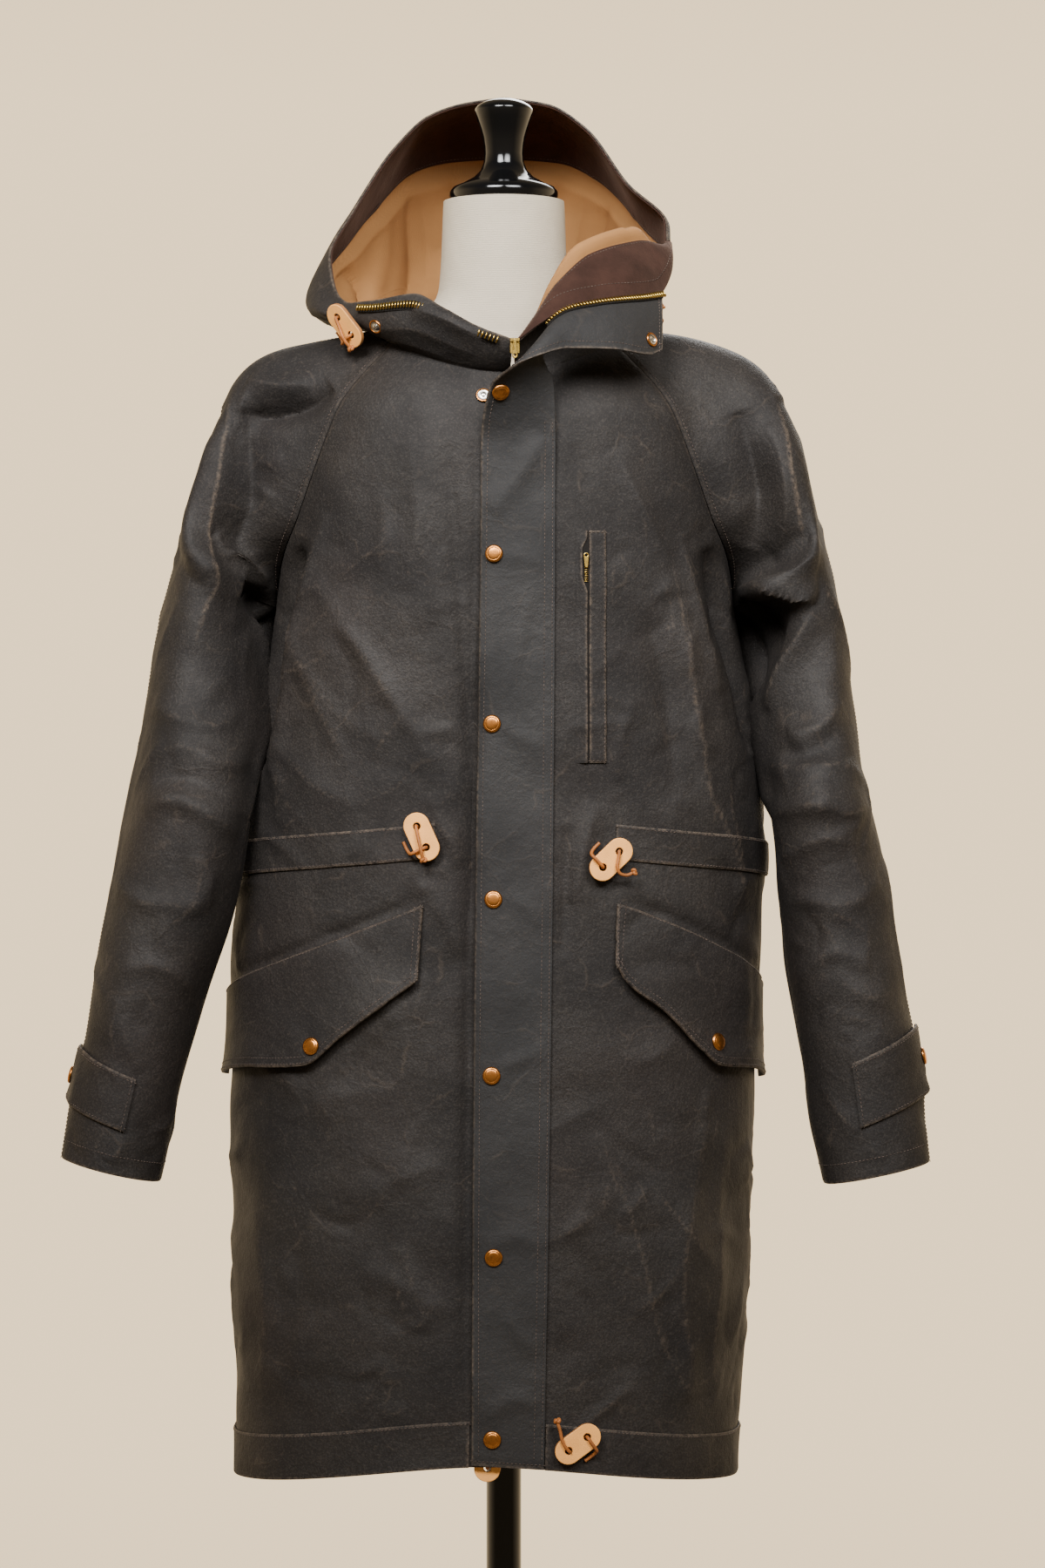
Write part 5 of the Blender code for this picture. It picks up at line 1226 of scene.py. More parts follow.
def metal(name, colour, roughness, patina):
    # Plated metal, polished then dulled by handling: bright on the wear, browner in blotches
    made, tree, shader, spot = new_material(name, Metallic=1.0)
    base, blotch = blotched(tree, spot, (3.5, 4, 0.6), (0.34, 0.60), colour, patina)
    rough = add(tree, RANGE, (blotch, 0.3, 0.7, roughness + 0.12, roughness - 0.05))
    scratch = add(tree, NOISE, {"Vector": spot, "Scale": 1000 / 1.2, "Detail": 2.0})
    dress(tree, shader, base, ((scratch, 0.00003),), rough)
    return made


def lacquer(name, colour):
    # Sprayed black lacquer: deep gloss with a faint ripple in the reflections
    made, tree, shader, spot = new_material(name, Roughness=0.10, Specular_IOR_Level=0.45)
    base, _ = blotched(tree, spot, (30, 3, 0.5), (0, 1), colour, 0.6)
    ripple = add(tree, NOISE, {"Vector": spot, "Scale": 1000 / 40, "Detail": 2.0})
    dress(tree, shader, base, ((ripple, 0.0002),))
    return made


@cache
def look(name):
    """A finish by its slot's name, made once."""
    cloth, trim = bpy.context.scene.parka_cloth, bpy.context.scene.parka_trim
    makers = {
        "waxed_cotton": (waxed_cotton, cloth),
        "moleskin_facing": (moleskin, cloth.facing),
        "cotton_lining": (cotton_cloth, cloth.lining, 0.0011, 0.8, 0.62),
        "zip_tape": (cotton_cloth, cloth.tape, 0.0010, 0.0, 0.5),
        "form_linen": (cotton_cloth, cloth.linen, 0.0016, 0.0, 0.72),
        "sewing_thread": (thread_cotton, cloth.thread),
        "tan_leather": (leather, trim.leather, 0.86, 0.9),
        "leather_edge": (leather, trim.leather_edge, 0.6, 0.6),
        "leather_cord": (leather, trim.cord, 0.55, 0.7),
        "antique_copper": (metal, trim.copper, 0.30, 0.55),
        "zip_brass": (metal, trim.brass, 0.28, 0.6),
        "nickel_stud": (metal, trim.nickel, 0.22, 0.75),
        "black_lacquer": (lacquer, trim.lacquer),
    }
    maker, *values = makers[name]
    return maker(name, *values)


def smooth(share):
    share = np.clip(share, 0, 1)
    return share * share * (3 - 2 * share)


def run_length(line):
    return np.linalg.norm(np.diff(line, axis=0), axis=1).sum()


def crease_lines(surface, creases):
    """The creases of a surface as lines of points, each with its half width, height and wear."""
    lines = []
    for half_width, height, worn, *run in creases:
        last = len(run) - 1
        table = Table(("u", "v"), run)
        table.rates = np.gradient(table.values, axis=0)
        length = run_length(surface(*table.read(np.linspace(0, last, 20))))
        places = np.linspace(0, last, max(8, int(length / CREASE_STEP)))
        lines.append((surface(*table.read(places)), half_width, height, worn))
    return lines


def small_creases(surface, first, last, per_metre, count, seed):
    """Faint creases strewn over a surface between two corners of its own coordinates."""
    draw = np.random.default_rng(seed)
    strewn = []
    for _ in range(count):
        start = draw.uniform(first, last)
        slope = draw.uniform(0, math.pi)
        length = draw.uniform(*SMALL_LENGTH)
        step = length * np.array([math.cos(slope), math.sin(slope)]) * per_metre
        aside = np.array([-math.sin(slope), math.cos(slope)])
        bend = draw.normal(0, SMALL_BEND) * length * aside * per_metre
        height = draw.uniform(*SMALL_HEIGHT) * draw.choice([1, 1, -1])
        half_width = draw.uniform(*SMALL_HALF_WIDTH)
        worn = draw.uniform(0.0, SMALL_WEAR) * (height > 0)
        strewn.append((half_width, height, worn, start - step / 2, start + bend, start + step / 2))
    return crease_lines(surface, strewn)


def crease_field(spots, lines):
    """How far the creases lift the cloth at each spot, and how much they rub it."""
    flat = spots.reshape(-1, 3)
    out, worn = np.zeros(len(flat)), np.zeros(len(flat))
    for line, half_width, height, wear in lines:
        reach = CREASE_REACH * half_width
        near = np.flatnonzero(np.all((flat > line.min(0) - reach) & (flat < line.max(0) + reach), axis=1))
        for part in np.array_split(near, max(1, len(near) // SPOTS_AT_ONCE)):
            if not len(part):
                continue
            away = np.square(flat[part, None] - line).sum(-1)
            closest = away.argmin(1)
            away = np.sqrt(away[np.arange(len(part)), closest])
            q = away / half_width
            taper = np.sin(np.pi * np.clip(closest / (len(line) - 1), 0, 1)) ** CREASE_TAPER
            section = CREASE_ROUND * np.exp(-q * q) + CREASE_SHARP * np.exp(-CREASE_FALL * q)
            out[part] += height * taper * section
            worn[part] = np.maximum(worn[part], wear * taper * np.exp(-np.square(away / WEAR_WIDTH)))
    return out.reshape(spots.shape[:-1]), worn.reshape(spots.shape[:-1])


def slack(spots, seed):
    """A gentle unevenness of the cloth, from a few waves of fixed directions."""
    draw = np.random.default_rng(seed)
    total = np.zeros(spots.shape[:-1])
    for wave in SLACK_WAVES:
        way = draw.normal(size=3) * np.array(SLACK_WAYS)
        way /= np.linalg.norm(way)
        total += (wave / SLACK_MIDDLE) * np.sin(2 * np.pi * (spots @ way) / wave + draw.uniform(0, 2 * np.pi))
    return bpy.context.scene.parka_cloth.slack * total / 2


class Cloth:
    """A surface's cloth: its creases and slack, fading out towards the seams where pieces meet."""

    def __init__(self, lines, seed, seams):
        self.lines, self.seed = lines, seed
        self.near = KDTree(len(seams))
        for i, spot in enumerate(seams):
            self.near.insert(Vector(spot), i)
        self.near.balance()

    def field(self, spots):
        out, worn = crease_field(spots, self.lines)
        out = out + slack(spots, self.seed)
        away = np.array([self.near.find(Vector(spot))[2] for spot in spots.reshape(-1, 3)])
        return out * smooth(away / SEAM_FADE).reshape(out.shape), worn

    def laid(self, surface, u, v, steps, lift=0.0, outward=1):
        """This cloth over places of a surface, lifted off it: its face, the way it looks and its wear."""
        spot, normal = with_normal(surface, *np.broadcast_arrays(u, v), outward, steps)
        out, worn = self.field(spot)
        return (*moved(spot, normal, out + lift), worn)


def raglan_seams(side, ahead):
    """Points of a raglan seam from the underarm to the neckline."""
    levels = np.linspace(UNDERARM, NECKLINE, 80)
    return body(SIDES[side] * raglan_turn(levels, ahead), levels)


@cache
def coat_cloth():
    """The body's cloth, made once."""
    seams = [raglan_seams(side, ahead) for side in SIDES for ahead in (True, False)]
    seams.append(body(np.linspace(-180, 180, 200), np.full(200, float(NECKLINE))))
    below = np.linspace(UNDERARM - 1.2, UNDERARM, 60)
    seams += [body(np.full(60, 90.0 * sign), below) for sign in SIDES.values()]
    lines = crease_lines(front, FRONT_CREASES) + crease_lines(body_at, ROUND_CREASES)
    count = bpy.context.scene.parka_cloth.small_creases
    for number, (first, last, times) in enumerate(SMALL_PATCHES):
        lines += small_creases(body_at, first, last, BODY_PER_METRE, times * count, 11 + number)
    return Cloth(lines, 3, np.concatenate(seams))


@cache
def sleeve_cloth(side):
    """A sleeve's cloth, made once."""
    surface = sleeve(side)
    seams = [raglan_seams(side, ahead) for ahead in (True, False)]
    seams.append(surface(np.ones(60), np.linspace(SLEEVE_UNDERARM, SLEEVE_UNDERARM + 1.4, 60)))
    count = bpy.context.scene.parka_cloth.small_creases
    lines = crease_lines(surface, SLEEVE_CREASES[side])
    lines += small_creases(surface, *SMALL_SLEEVE, SLEEVE_PER_METRE, count, 31 + SIDES[side])
    return Cloth(lines, 5 + SIDES[side], np.concatenate(seams))


def grid_way(grid):
    return unit(np.cross(np.gradient(grid, axis=1), np.gradient(grid, axis=0)))


def moved(spot, normal, out):
    """A grid moved out along its normals, with the new grid's normals."""
    grid = spot + normal * np.asarray(out)[..., None]
    fresh = grid_way(grid)
    return grid, fresh * np.sign((fresh * normal).sum(-1, keepdims=True))


def from_edges(grid):
    """Distances of a grid's points from its left, right, bottom and top edge, in metres along the grid."""
    across = np.linalg.norm(np.diff(grid, axis=1), axis=-1)
    along = np.linalg.norm(np.diff(grid, axis=0), axis=-1)
    u = np.concatenate([np.zeros((len(grid), 1)), np.cumsum(across, axis=1)], axis=1)
    v = np.concatenate([np.zeros((1, grid.shape[1])), np.cumsum(along, axis=0)])
    return {"l": u, "r": u[:, -1:] - u, "b": v, "t": v[-1:] - v}


def graded(count, fine=3):
    """Shares from 0 to 1, closer together near both ends."""
    middle = np.linspace(0, 1, count)
    ends = middle[1] * np.linspace(0, 1, fine + 2)[1:-1]
    return np.sort(np.concatenate([middle, ends, 1 - ends]))


def new_object(name, data):
    """An object in the scene."""
    made = bpy.data.objects.new(name, data)
    bpy.context.scene.collection.objects.link(made)
    return made


def add_mesh(name, vertices, faces, finish, smooth_angle=50):
    """A mesh object at the origin, smooth but for its sharp edges."""
    mesh = bpy.data.meshes.new(name)
    mesh.from_pydata(np.asarray(vertices).tolist(), [], faces)
    mesh.shade_smooth()
    mesh.set_sharp_from_angle(angle=math.radians(smooth_angle))
    mesh.materials.append(look(finish))
    return new_object(name, mesh)


def add_values(mesh, name, values):
    """A value for each of a mesh's vertices."""
    mesh.attributes.new(name, "FLOAT", "POINT").data.foreach_set("value", np.asarray(values, "f4"))


def add_uv(mesh, by_vertex):
    """A UV map from a pair of values for each of a mesh's vertices."""
    vertex = np.empty(len(mesh.loops), int)
    mesh.loops.foreach_get("vertex_index", vertex)
    mesh.uv_layers.new(name="cloth").data.foreach_set("uv", by_vertex[vertex].ravel().astype("f4"))


def settle(made, finish, nodes=(), carried_by=COAT):
    """Gives a finished piece its body, its finish and the solids that it stands for."""
    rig.ride(made, carried_by)
    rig.slot(made, finish)
    if nodes:
        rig.replaces(made, *nodes)
    return made


def wall_faces(rows, columns, flip):
    """Faces of a wall: a grid, the same grid behind it and the edges between them."""
    index = np.arange(rows * columns).reshape(rows, columns)
    quads = np.stack([index[:-1, :-1], index[:-1, 1:], index[1:, 1:], index[1:, :-1]], -1).reshape(-1, 4)
    loop = np.concatenate([index[0, :-1], index[:-1, -1], index[-1, :0:-1], index[:0:-1, 0]])
    after = np.roll(loop, -1)
    sides = np.stack([after, loop, loop + rows * columns, after + rows * columns], -1)
    faces = np.concatenate([quads, quads[:, ::-1] + rows * columns, sides])
    return (faces[:, ::-1] if flip else faces).tolist()


def cloth_piece(name, grid, normal, thick, finish, nodes, held, rests_on, worn=0.0, free="", sunk=""):
    """A cloth wall on a grid; its free edges (l, r, b, t) are rounded and rubbed, its sunk ones dip."""
    ends = from_edges(grid)
    u, v = ends["l"], ends["b"]
    rows, columns = grid.shape[:2]
    worn, dip = worn + np.zeros((rows, columns)), np.zeros((rows, columns))
    for edge in free:
        near = 1 - np.clip(ends[edge] / (EDGE_WIDTH * thick), 0, 1)
        dip = np.maximum(dip, EDGE_DEPTH * thick * near**2)
        worn = np.maximum(worn, EDGE_WEAR * np.exp(-np.square(ends[edge] / WEAR_WIDTH)))
    for edge in sunk:
        dip = np.maximum(dip, SEAM_DIP * np.exp(-np.square(ends[edge] / SEAM_DIP_WIDTH)))
        worn = np.maximum(worn, SEAM_WEAR * np.exp(-np.square((ends[edge] - SEAM_RIDGE) / WEAR_WIDTH)))
    outside = grid - normal * dip[..., None]
    inside = grid - normal * thick
    way = np.cross(outside[:-1, 1:] - outside[:-1, :-1], outside[1:, :-1] - outside[:-1, :-1])
    flip = np.sum(normal[:-1, :-1] * way) < 0
    both = np.concatenate([outside.reshape(-1, 3), inside.reshape(-1, 3)])
    made = add_mesh(name, both, wall_faces(rows, columns, flip), finish)
    add_values(made.data, "worn", np.tile(worn.ravel(), 2))
    add_uv(made.data, np.tile(np.stack([u, v], -1).reshape(-1, 2), (2, 1)))
    settle(made, finish, nodes)
    width, length = u[:, -1].max(), v[-1].max()
    area = min(max(np.linalg.norm(way, axis=-1).sum(), LEAST_AREA * width * length), width * length)
    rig.sheet(made, flat=(max(width, 0.01), max(length, 0.01)), held=held, rests_on=rests_on, area=area)
    return made


def coat_piece(node, grid, thick, held, rests_on, free="", sunk=""):
    """A piece of waxed cloth for a solid, on a grid of points, ways and wear, kept for others to lie on."""
    face, way, worn = grid
    MADE[node] = (face, way)
    return cloth_piece(
        f"{node}_cloth", face, way, thick, "waxed_cotton", [node], held, rests_on, worn, free, sunk,
    )


def column_line(grid, normal, share, lift):
    """A line of points along a grid at a share of its columns, lifted off it."""
    raised = grid + normal * lift
    place = share * (grid.shape[1] - 1)
    low = int(place)
    return raised[:, low] + (raised[:, low + 1] - raised[:, low]) * (place - low)


def inset_line(grid, normal, edge, distance, lift=THREAD_LIFT):
    """A line of points that runs along an edge of a grid at a distance from it."""
    away, raised = from_edges(grid)[edge], grid + normal * lift
    if edge in "bt":
        away, raised = away.T, raised.swapaxes(0, 1)
    rows = zip(away, raised, np.argsort(away, axis=1))
    return np.array([[np.interp(distance, m[o], p[o, i]) for i in range(3)] for m, p, o in rows])


def sew(rows_name, line):
    """Keeps a line of points to be sewn with thread."""
    THREAD_ROWS.setdefault(rows_name, []).append(line)


def sew_edges(rows_name, node, edges, inset):
    """Keeps lines along some of a piece's edges, at a distance from them, to be sewn."""
    for edge in edges:
        sew(rows_name, inset_line(*MADE[node], edge, inset))


def axes(ahead, up):
    """Three directions as rows: the third is ahead and the second is as near as can be to up."""
    z = Vector(ahead).normalized()
    x = Vector(up).cross(z).normalized()
    return np.array([x, z.cross(x), z])


def turned(name, profile, finish, nodes, spot=(0, 0, 0), ahead=(0, 0, 1), steps=40):
    """A profile of radius and height, from the top down, turned about its axis and stood at a place."""
    angle = np.linspace(0, 2 * math.pi, steps, endpoint=False)
    vertices, rings = [], []
    for radius, height in profile:
        around = angle if radius else angle[:1]
        ring = [(radius * math.cos(a), radius * math.sin(a), height) for a in around]
        rings.append(range(len(vertices), len(vertices) + len(ring)))
        vertices += ring
    faces = []
    for upper, lower in zip(rings, rings[1:]):
        for i in range(steps):
            j = (i + 1) % steps
            face = [ring[k % len(ring)] for ring, k in ((upper, i), (lower, i), (lower, j), (upper, j))]
            faces.append(list(dict.fromkeys(face)))
    turn = axes(ahead, (0.1, 0.2, 1) if abs(ahead[2]) < 0.9 else (0, 1, 0.1))
    placed = np.array(vertices) @ turn + np.array(spot)
    return settle(add_mesh(name, placed, faces, finish, 40), finish, nodes)


def evaluated_mesh(made):
    """The mesh that an object shows with its modifiers or bevel."""
    bpy.context.view_layer.update()
    shown = made.evaluated_get(bpy.context.evaluated_depsgraph_get())
    return bpy.data.meshes.new_from_object(shown)


def add_spline(curve, spots, closed):
    """A polyline of a curve."""
    spline = curve.splines.new("POLY")
    spline.points.add(len(spots) - 1)
    spline.use_cyclic_u = closed
    spline.points.foreach_set("co", np.c_[spots, np.ones(len(spots))].ravel())


def round_curve(name, spots, radius, closed=False):
    """A curve through points, round in section."""
    curve = bpy.data.curves.new(name, "CURVE")
    curve.dimensions, curve.bevel_depth, curve.bevel_resolution = "3D", radius, 3
    curve.use_fill_caps = not closed
    add_spline(curve, spots, closed)
    return new_object(name, curve)


def to_mesh(made, finishes, place=None):
    """Turns an object into a plain mesh object of the same name; place moves its vertices."""
    mesh, name = evaluated_mesh(made), made.name
    bpy.data.objects.remove(made)
    mesh.name = name
    mesh.materials.clear()
    for finish in finishes:
        mesh.materials.append(look(finish))
    if place is not None:
        spots = np.empty(3 * len(mesh.vertices))
        mesh.vertices.foreach_get("co", spots)
        mesh.vertices.foreach_set("co", place(spots.reshape(-1, 3)).ravel())
        mesh.update()
    return new_object(name, mesh)


def bevelled_plate(name, outlines, thick, bevel, finishes, spot, ahead, up):
    """A flat plate with rounded edges from closed outlines, the first its edge and the rest holes."""
    curve = bpy.data.curves.new(name, "CURVE")
    curve.dimensions, curve.fill_mode = "2D", "BOTH"
    curve.extrude, curve.bevel_depth, curve.bevel_resolution = thick / 2 - bevel, bevel, 2
    curve.offset = -bevel
    for outline in outlines:
        add_spline(curve, [(x, y, 0) for x, y in outline], True)
    turn = axes(ahead, up)
    made = to_mesh(new_object(name, curve), finishes, lambda spots: spots @ turn + np.array(spot))
    made.data.shade_smooth()
    made.data.set_sharp_from_angle(angle=math.radians(35))
    if len(finishes) > 1:
        for face in made.data.polygons:
            face.material_index = int(abs(face.normal.dot(Vector(turn[2]))) < 0.5)
    return made


def repeat_tree(name, shape):
    """A node tree that sets a small shape along rows of points, for stitches and zip teeth."""
    tree = bpy.data.node_groups.new(name, "GeometryNodeTree")
    sockets = [("Geometry", "Geometry")] + [(n, "Float") for n in ("Spacing", "Length", "Width", "Height")]
    for label, kind in sockets + [("Finish", "Material")]:
        tree.interface.new_socket(label, in_out="INPUT", socket_type=f"NodeSocket{kind}")
    tree.interface.new_socket("Geometry", in_out="OUTPUT", socket_type="NodeSocketGeometry")
    given = tree.nodes.new("NodeGroupInput").outputs
    rows = add(tree, "GeometryNodeMeshToCurve", {"Mesh": given["Geometry"]})
    rows = add(tree, "GeometryNodeResampleCurve", {"Curve": rows, "Length": given["Spacing"]}, mode="LENGTH")
    along = add(tree, "GeometryNodeInputTangent", {})
    facing = add(tree, "GeometryNodeInputNamedAttribute", {"Name": "face_way"}, data_type="FLOAT_VECTOR")
    align = "FunctionNodeAlignRotationToVector"
    turn = add(tree, align, {"Vector": along}, axis="X")
    turn = add(tree, align, {"Rotation": turn, "Vector": facing}, axis="Z", pivot_axis="X")
    if shape == "stitch":
        small = add(tree, "GeometryNodeMeshUVSphere", {"Segments": 6, "Rings": 4, "Radius": 0.5})
    else:
        small = add(tree, "GeometryNodeMeshCylinder", {"Vertices": 8, "Radius": 0.5, "Depth": 1.0})
        small = add(tree, "GeometryNodeTransform", {"Geometry": small, "Rotation": (math.pi / 2, 0, 0)})
    size = {"X": given["Length"], "Y": given["Width"], "Z": given["Height"]}
    size = add(tree, "ShaderNodeCombineXYZ", size)
    many = {"Points": rows, "Instance": small, "Rotation": turn, "Scale": size}
    whole = add(tree, "GeometryNodeInstanceOnPoints", many)
    whole = add(tree, "GeometryNodeRealizeInstances", {"Geometry": whole})
    whole = add(tree, "GeometryNodeSetShadeSmooth", {"Geometry": whole})
    whole = add(tree, "GeometryNodeSetMaterial", {"Geometry": whole, "Material": given["Finish"]})
    tree.links.new(whole, tree.nodes.new("NodeGroupOutput").inputs["Geometry"])
    return tree


def repeated(name, lines, ways, tree, sizes, finish):
    """Lines of points with a small shape repeated along them, as one plain mesh."""
    edges, start = [], 0
    for line in lines:
        edges += [(start + i, start + i + 1) for i in range(len(line) - 1)]
        start += len(line)
    mesh = bpy.data.meshes.new(name)
    mesh.from_pydata(np.concatenate(lines).tolist(), edges, [])
    facing = np.concatenate(ways).astype("f4")
    mesh.attributes.new("face_way", "FLOAT_VECTOR", "POINT").data.foreach_set("vector", facing.ravel())
    made = new_object(name, mesh)
    modifier = made.modifiers.new("repeat", "NODES")
    modifier.node_group = tree
    values = dict(sizes, Finish=look(finish))
    for item in tree.interface.items_tree:
        if item.in_out == "INPUT" and item.name in values:
            modifier[item.identifier] = values[item.name]
    made.data = evaluated_mesh(made)
    made.modifiers.clear()
    return made


class PARKA_OT_stage(bpy.types.Operator):
    """Sets up the camera, a pale floor and soft studio light"""

    bl_idname = "parka.stage"
    bl_label = "Stage"

    def execute(self, context):
        stage = context.scene.parka_stage
        camera = bpy.data.cameras.new("camera")
        camera.lens, camera.sensor_fit, camera.sensor_height = stage.lens, "VERTICAL", 36.0
        eye = new_object("camera", camera)
        eye.location, eye.rotation_euler = stage.eye, (math.pi / 2, 0, 0)
        context.scene.camera = eye
        angle = np.linspace(0, 2 * math.pi, FLOOR_SIDES, endpoint=False)
        rim = points(FLOOR_RADIUS * np.cos(angle), FLOOR_RADIUS * np.sin(angle), -FLOOR_DROP)
        mesh = bpy.data.meshes.new("floor")
        mesh.from_pydata(rim.tolist(), [], [list(range(FLOOR_SIDES))])
        paint, tree, shader, spot = new_material("studio_floor", Roughness=0.8)
        base, _ = blotched(tree, spot, (400, 2, 0.5), (0, 1), stage.floor, 0.96)
        dress(tree, shader, base)
        mesh.materials.append(paint)
        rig.stage(new_object("floor", mesh))
        world = bpy.data.worlds.new("studio")
        world.use_nodes = True
        tree = world.node_tree
        sky = tree.nodes["Background"]
        way = add(tree, COORDS, {}, "Generated")
        height = add(tree, "ShaderNodeSeparateXYZ", {"Vector": way}, "Z")
        height = add(tree, MATH, (height,), operation="ABSOLUTE")
        band = add(tree, RANGE, (height, 0.16, 0.60, stage.glow, 0.15 * stage.glow))
        ahead = add(tree, "ShaderNodeSeparateXYZ", {"Vector": way}, "Y")
        ahead = add(tree, RANGE, (ahead, -0.5, 0.6, 0.13, 1.0))
        band = add(tree, MATH, (band, ahead), operation="MULTIPLY")
        sky.inputs["Color"].default_value = (*stage.backdrop, 1)
        tree.links.new(band, sky.inputs["Strength"])
        context.scene.world = world
        for name, (place, size, share) in LIGHTS.items():
            light = bpy.data.lights.new(name, "AREA")
            light.size, light.energy, light.spread = size, stage.key * share, math.radians(LIGHT_SPREAD)
            lamp = new_object(name, light)
            lamp.location = place
            lamp.rotation_euler = (Vector(LIGHT_AIM) - Vector(place)).to_track_quat("-Z", "Y").to_euler()
        return {"FINISHED"}


def smooth_route(route):
    """A route with more points, rounded through the given ones."""
    before = np.vstack([route[:1], route, route[-1:]])
    place = np.linspace(0, len(route) - 1, ROUTE_POINTS * (len(route) - 1) + 1)
    i = np.minimum(place.astype(int), len(route) - 2)
    t = (place - i)[:, None]
    p0, p1, p2, p3 = (before[i + k] for k in range(4))
    return 0.5 * (
        2 * p1 + (p2 - p0) * t + (2 * p0 - 5 * p1 + 4 * p2 - p3) * t * t
        + (3 * p1 - p0 - 3 * p2 + p3) * t**3
    )


def drawcord(name, centre, normal, along, free):
    """A leather toggle, the cord that runs through its two holes, and the knot at the cord's end."""
    z = Vector(normal).normalized()
    y = z.cross(Vector(along)).normalized()
    turn = np.array([y.cross(z), y, z])
    half, radius = TOGGLE_LENGTH / 2 - TOGGLE_WIDTH / 2, TOGGLE_WIDTH / 2
    outline = arc((half, 0), radius, -90, 90, 24) + arc((-half, 0), radius, 90, 270, 24)
    holes = [arc((s * TOGGLE_HOLE_APART / 2, 0), TOGGLE_HOLE, 0, 345, 24) for s in (-1, 1)]
    slab = bevelled_plate(
        f"{name}_toggle_leather", [outline] + holes, TOGGLE_THICKNESS, TOGGLE_BEVEL,
        ["tan_leather", "leather_edge"], centre, z, y,
    )
    settle(slab, "tan_leather", [f"{name}_toggle"])
    route = smooth_route(np.array(TOGGLE_ROUTE + free, float) / 1000) @ turn + np.array(centre)
    route = route[:-KNOT_POINTS]
    made = round_curve(f"{name}_drawcord", route, CORD_RADIUS)
    made.data.materials.append(look("leather_cord"))
    settle(made, "leather_cord", [f"{name}_cord"])
    t = np.linspace(0, 2 * math.pi, 60, endpoint=False)
    loop = np.stack([np.sin(t) + 2 * np.sin(2 * t), np.cos(t) - 2 * np.cos(2 * t), -1.2 * np.sin(3 * t)], -1)
    way = unit(route[-1] - route[-6])
    loop = loop * KNOT_SIZE @ axes(way, (0.3, 0.5, 0.8)) + route[-1] + way * KNOT_AHEAD
    knot = to_mesh(round_curve(f"{name}_knot", loop, KNOT_STRAND, True), ["leather_cord"])
    settle(knot, "leather_cord")
    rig.cord(
        made, exit=route[0], length=run_length(route), diameter=2 * CORD_RADIUS, far_end="knot",
        stiffness="limp", lay="hanging", with_pieces=[knot, slab],
    )


def on_front(x, z):
    """A point of the body's front and the way that it looks there."""
    return with_normal(front, np.array(x), np.array(z), 1, FRONT_STEPS)


class PARKA_OT_drawcords(bpy.types.Operator):
    """Makes the leather drawcords with their toggles and knots at hood, waist and hem"""

    bl_idname = "parka.drawcords"
    bl_label = "Drawcords"

    def execute(self, context):
        free = TOGGLES["waist_right"]["free"]
        for name, row in TOGGLES.items():
            spot, normal = on_front(row["x"], row["z"])
            drawcord(name, spot + normal * TOGGLE_LIFT, normal, row["long"], row["free"])
        for name, row in HOOD_TOGGLES.items():
            drawcord(name, np.array(row["middle"]), row["face"], row["long"], free)
        spot, normal = on_front(*HEM_RIGHT_AT)
        inside = spot - normal * (CLOTH + TOGGLE_LIFT - HEM_RIGHT_INWARD) - np.array(HEM_RIGHT_DROP)
        drawcord("hem_right", inside, -normal, HEM_RIGHT_LONG, free)
        return {"FINISHED"}


def body_levels(grid):
    """Rings of the body about a grid's distance apart, from the hem to the neckline."""
    heights = BODY.values[:, 1]
    count = int((heights[-1] - heights[0]) / grid)
    return np.interp(np.linspace(heights[0], heights[-1], count), heights, np.arange(len(heights)))


def front_columns(side, levels, shares):
    """Angles of a front panel's columns, from the zip to the side or raglan seam."""
    sign = SIDES[side]
    heights = body(0 * levels, levels)[:, 2]
    edge = front_turn(np.full_like(heights, ZIP_X + sign * ZIP_OPENING / 2), heights)
    seam = sign * (raglan_turn(levels, True) - SIDE_GAP)
    return edge[:, None] + (seam - edge)[:, None] * shares


class PARKA_OT_body(bpy.types.Operator):
    """Makes the fronts and the back of waxed cloth"""

    bl_idname = "parka.body"
    bl_label = "Fronts and back"

    def execute(self, context):
        levels = body_levels(context.scene.parka_cloth.grid)
        panels = {f"front_{side}": front_columns(side, levels, np.linspace(0, 1, 84)) for side in SIDES}
        seam = raglan_turn(levels, False) + SIDE_GAP
        panels["back"] = seam[:, None] + (360 - 2 * seam)[:, None] * np.linspace(0, 1, 150)
        for name, turns in panels.items():
            grid = coat_cloth().laid(body, turns, levels[:, None], BODY_STEPS)
            coat_piece(name, grid, CLOTH, "draped", ["form_torso"], "b", "lr" if name == "back" else "r")
        return {"FINISHED"}


class PARKA_OT_sleeves(bpy.types.Operator):
    """Makes the raglan sleeves, each of a front and a back piece"""

    bl_idname = "parka.sleeves"
    bl_label = "Sleeves"

    def execute(self, context):
        along = np.interp(
            np.linspace(0, 1, 270), [0, 0.06, 0.44, 1], [0.03, 0.9, SLEEVE_UNDERARM, SLEEVE_CUFF],
        )[:, None]
        raglan = along[:, 0] <= SLEEVE_UNDERARM
        for side, sign in SIDES.items():
            for half, toward, column in (("front", 1, 6), ("back", -1, 7)):
                start = 0.2 * GAP / SLEEVES[side].read(along)[column]
                around = toward * (start + (1 - start) * np.linspace(0, 1, 66))
                grid = sleeve_cloth(side).laid(sleeve(side), around, along, SLEEVE_STEPS, 0.0, sign)
                coat_piece(f"sleeve_{side}_{half}", grid, CLOTH, "draped", ["form_torso"], "t", "lr")
                sew("seam_stitching", inset_line(*grid[:2], "r", RAGLAN_INSET)[raglan])
                sew("seam_stitching", inset_line(*grid[:2], "l", OVERARM_INSET)[3:])
                sew("seam_stitching", inset_line(*grid[:2], "t", CUFF_INSET))
        return {"FINISHED"}


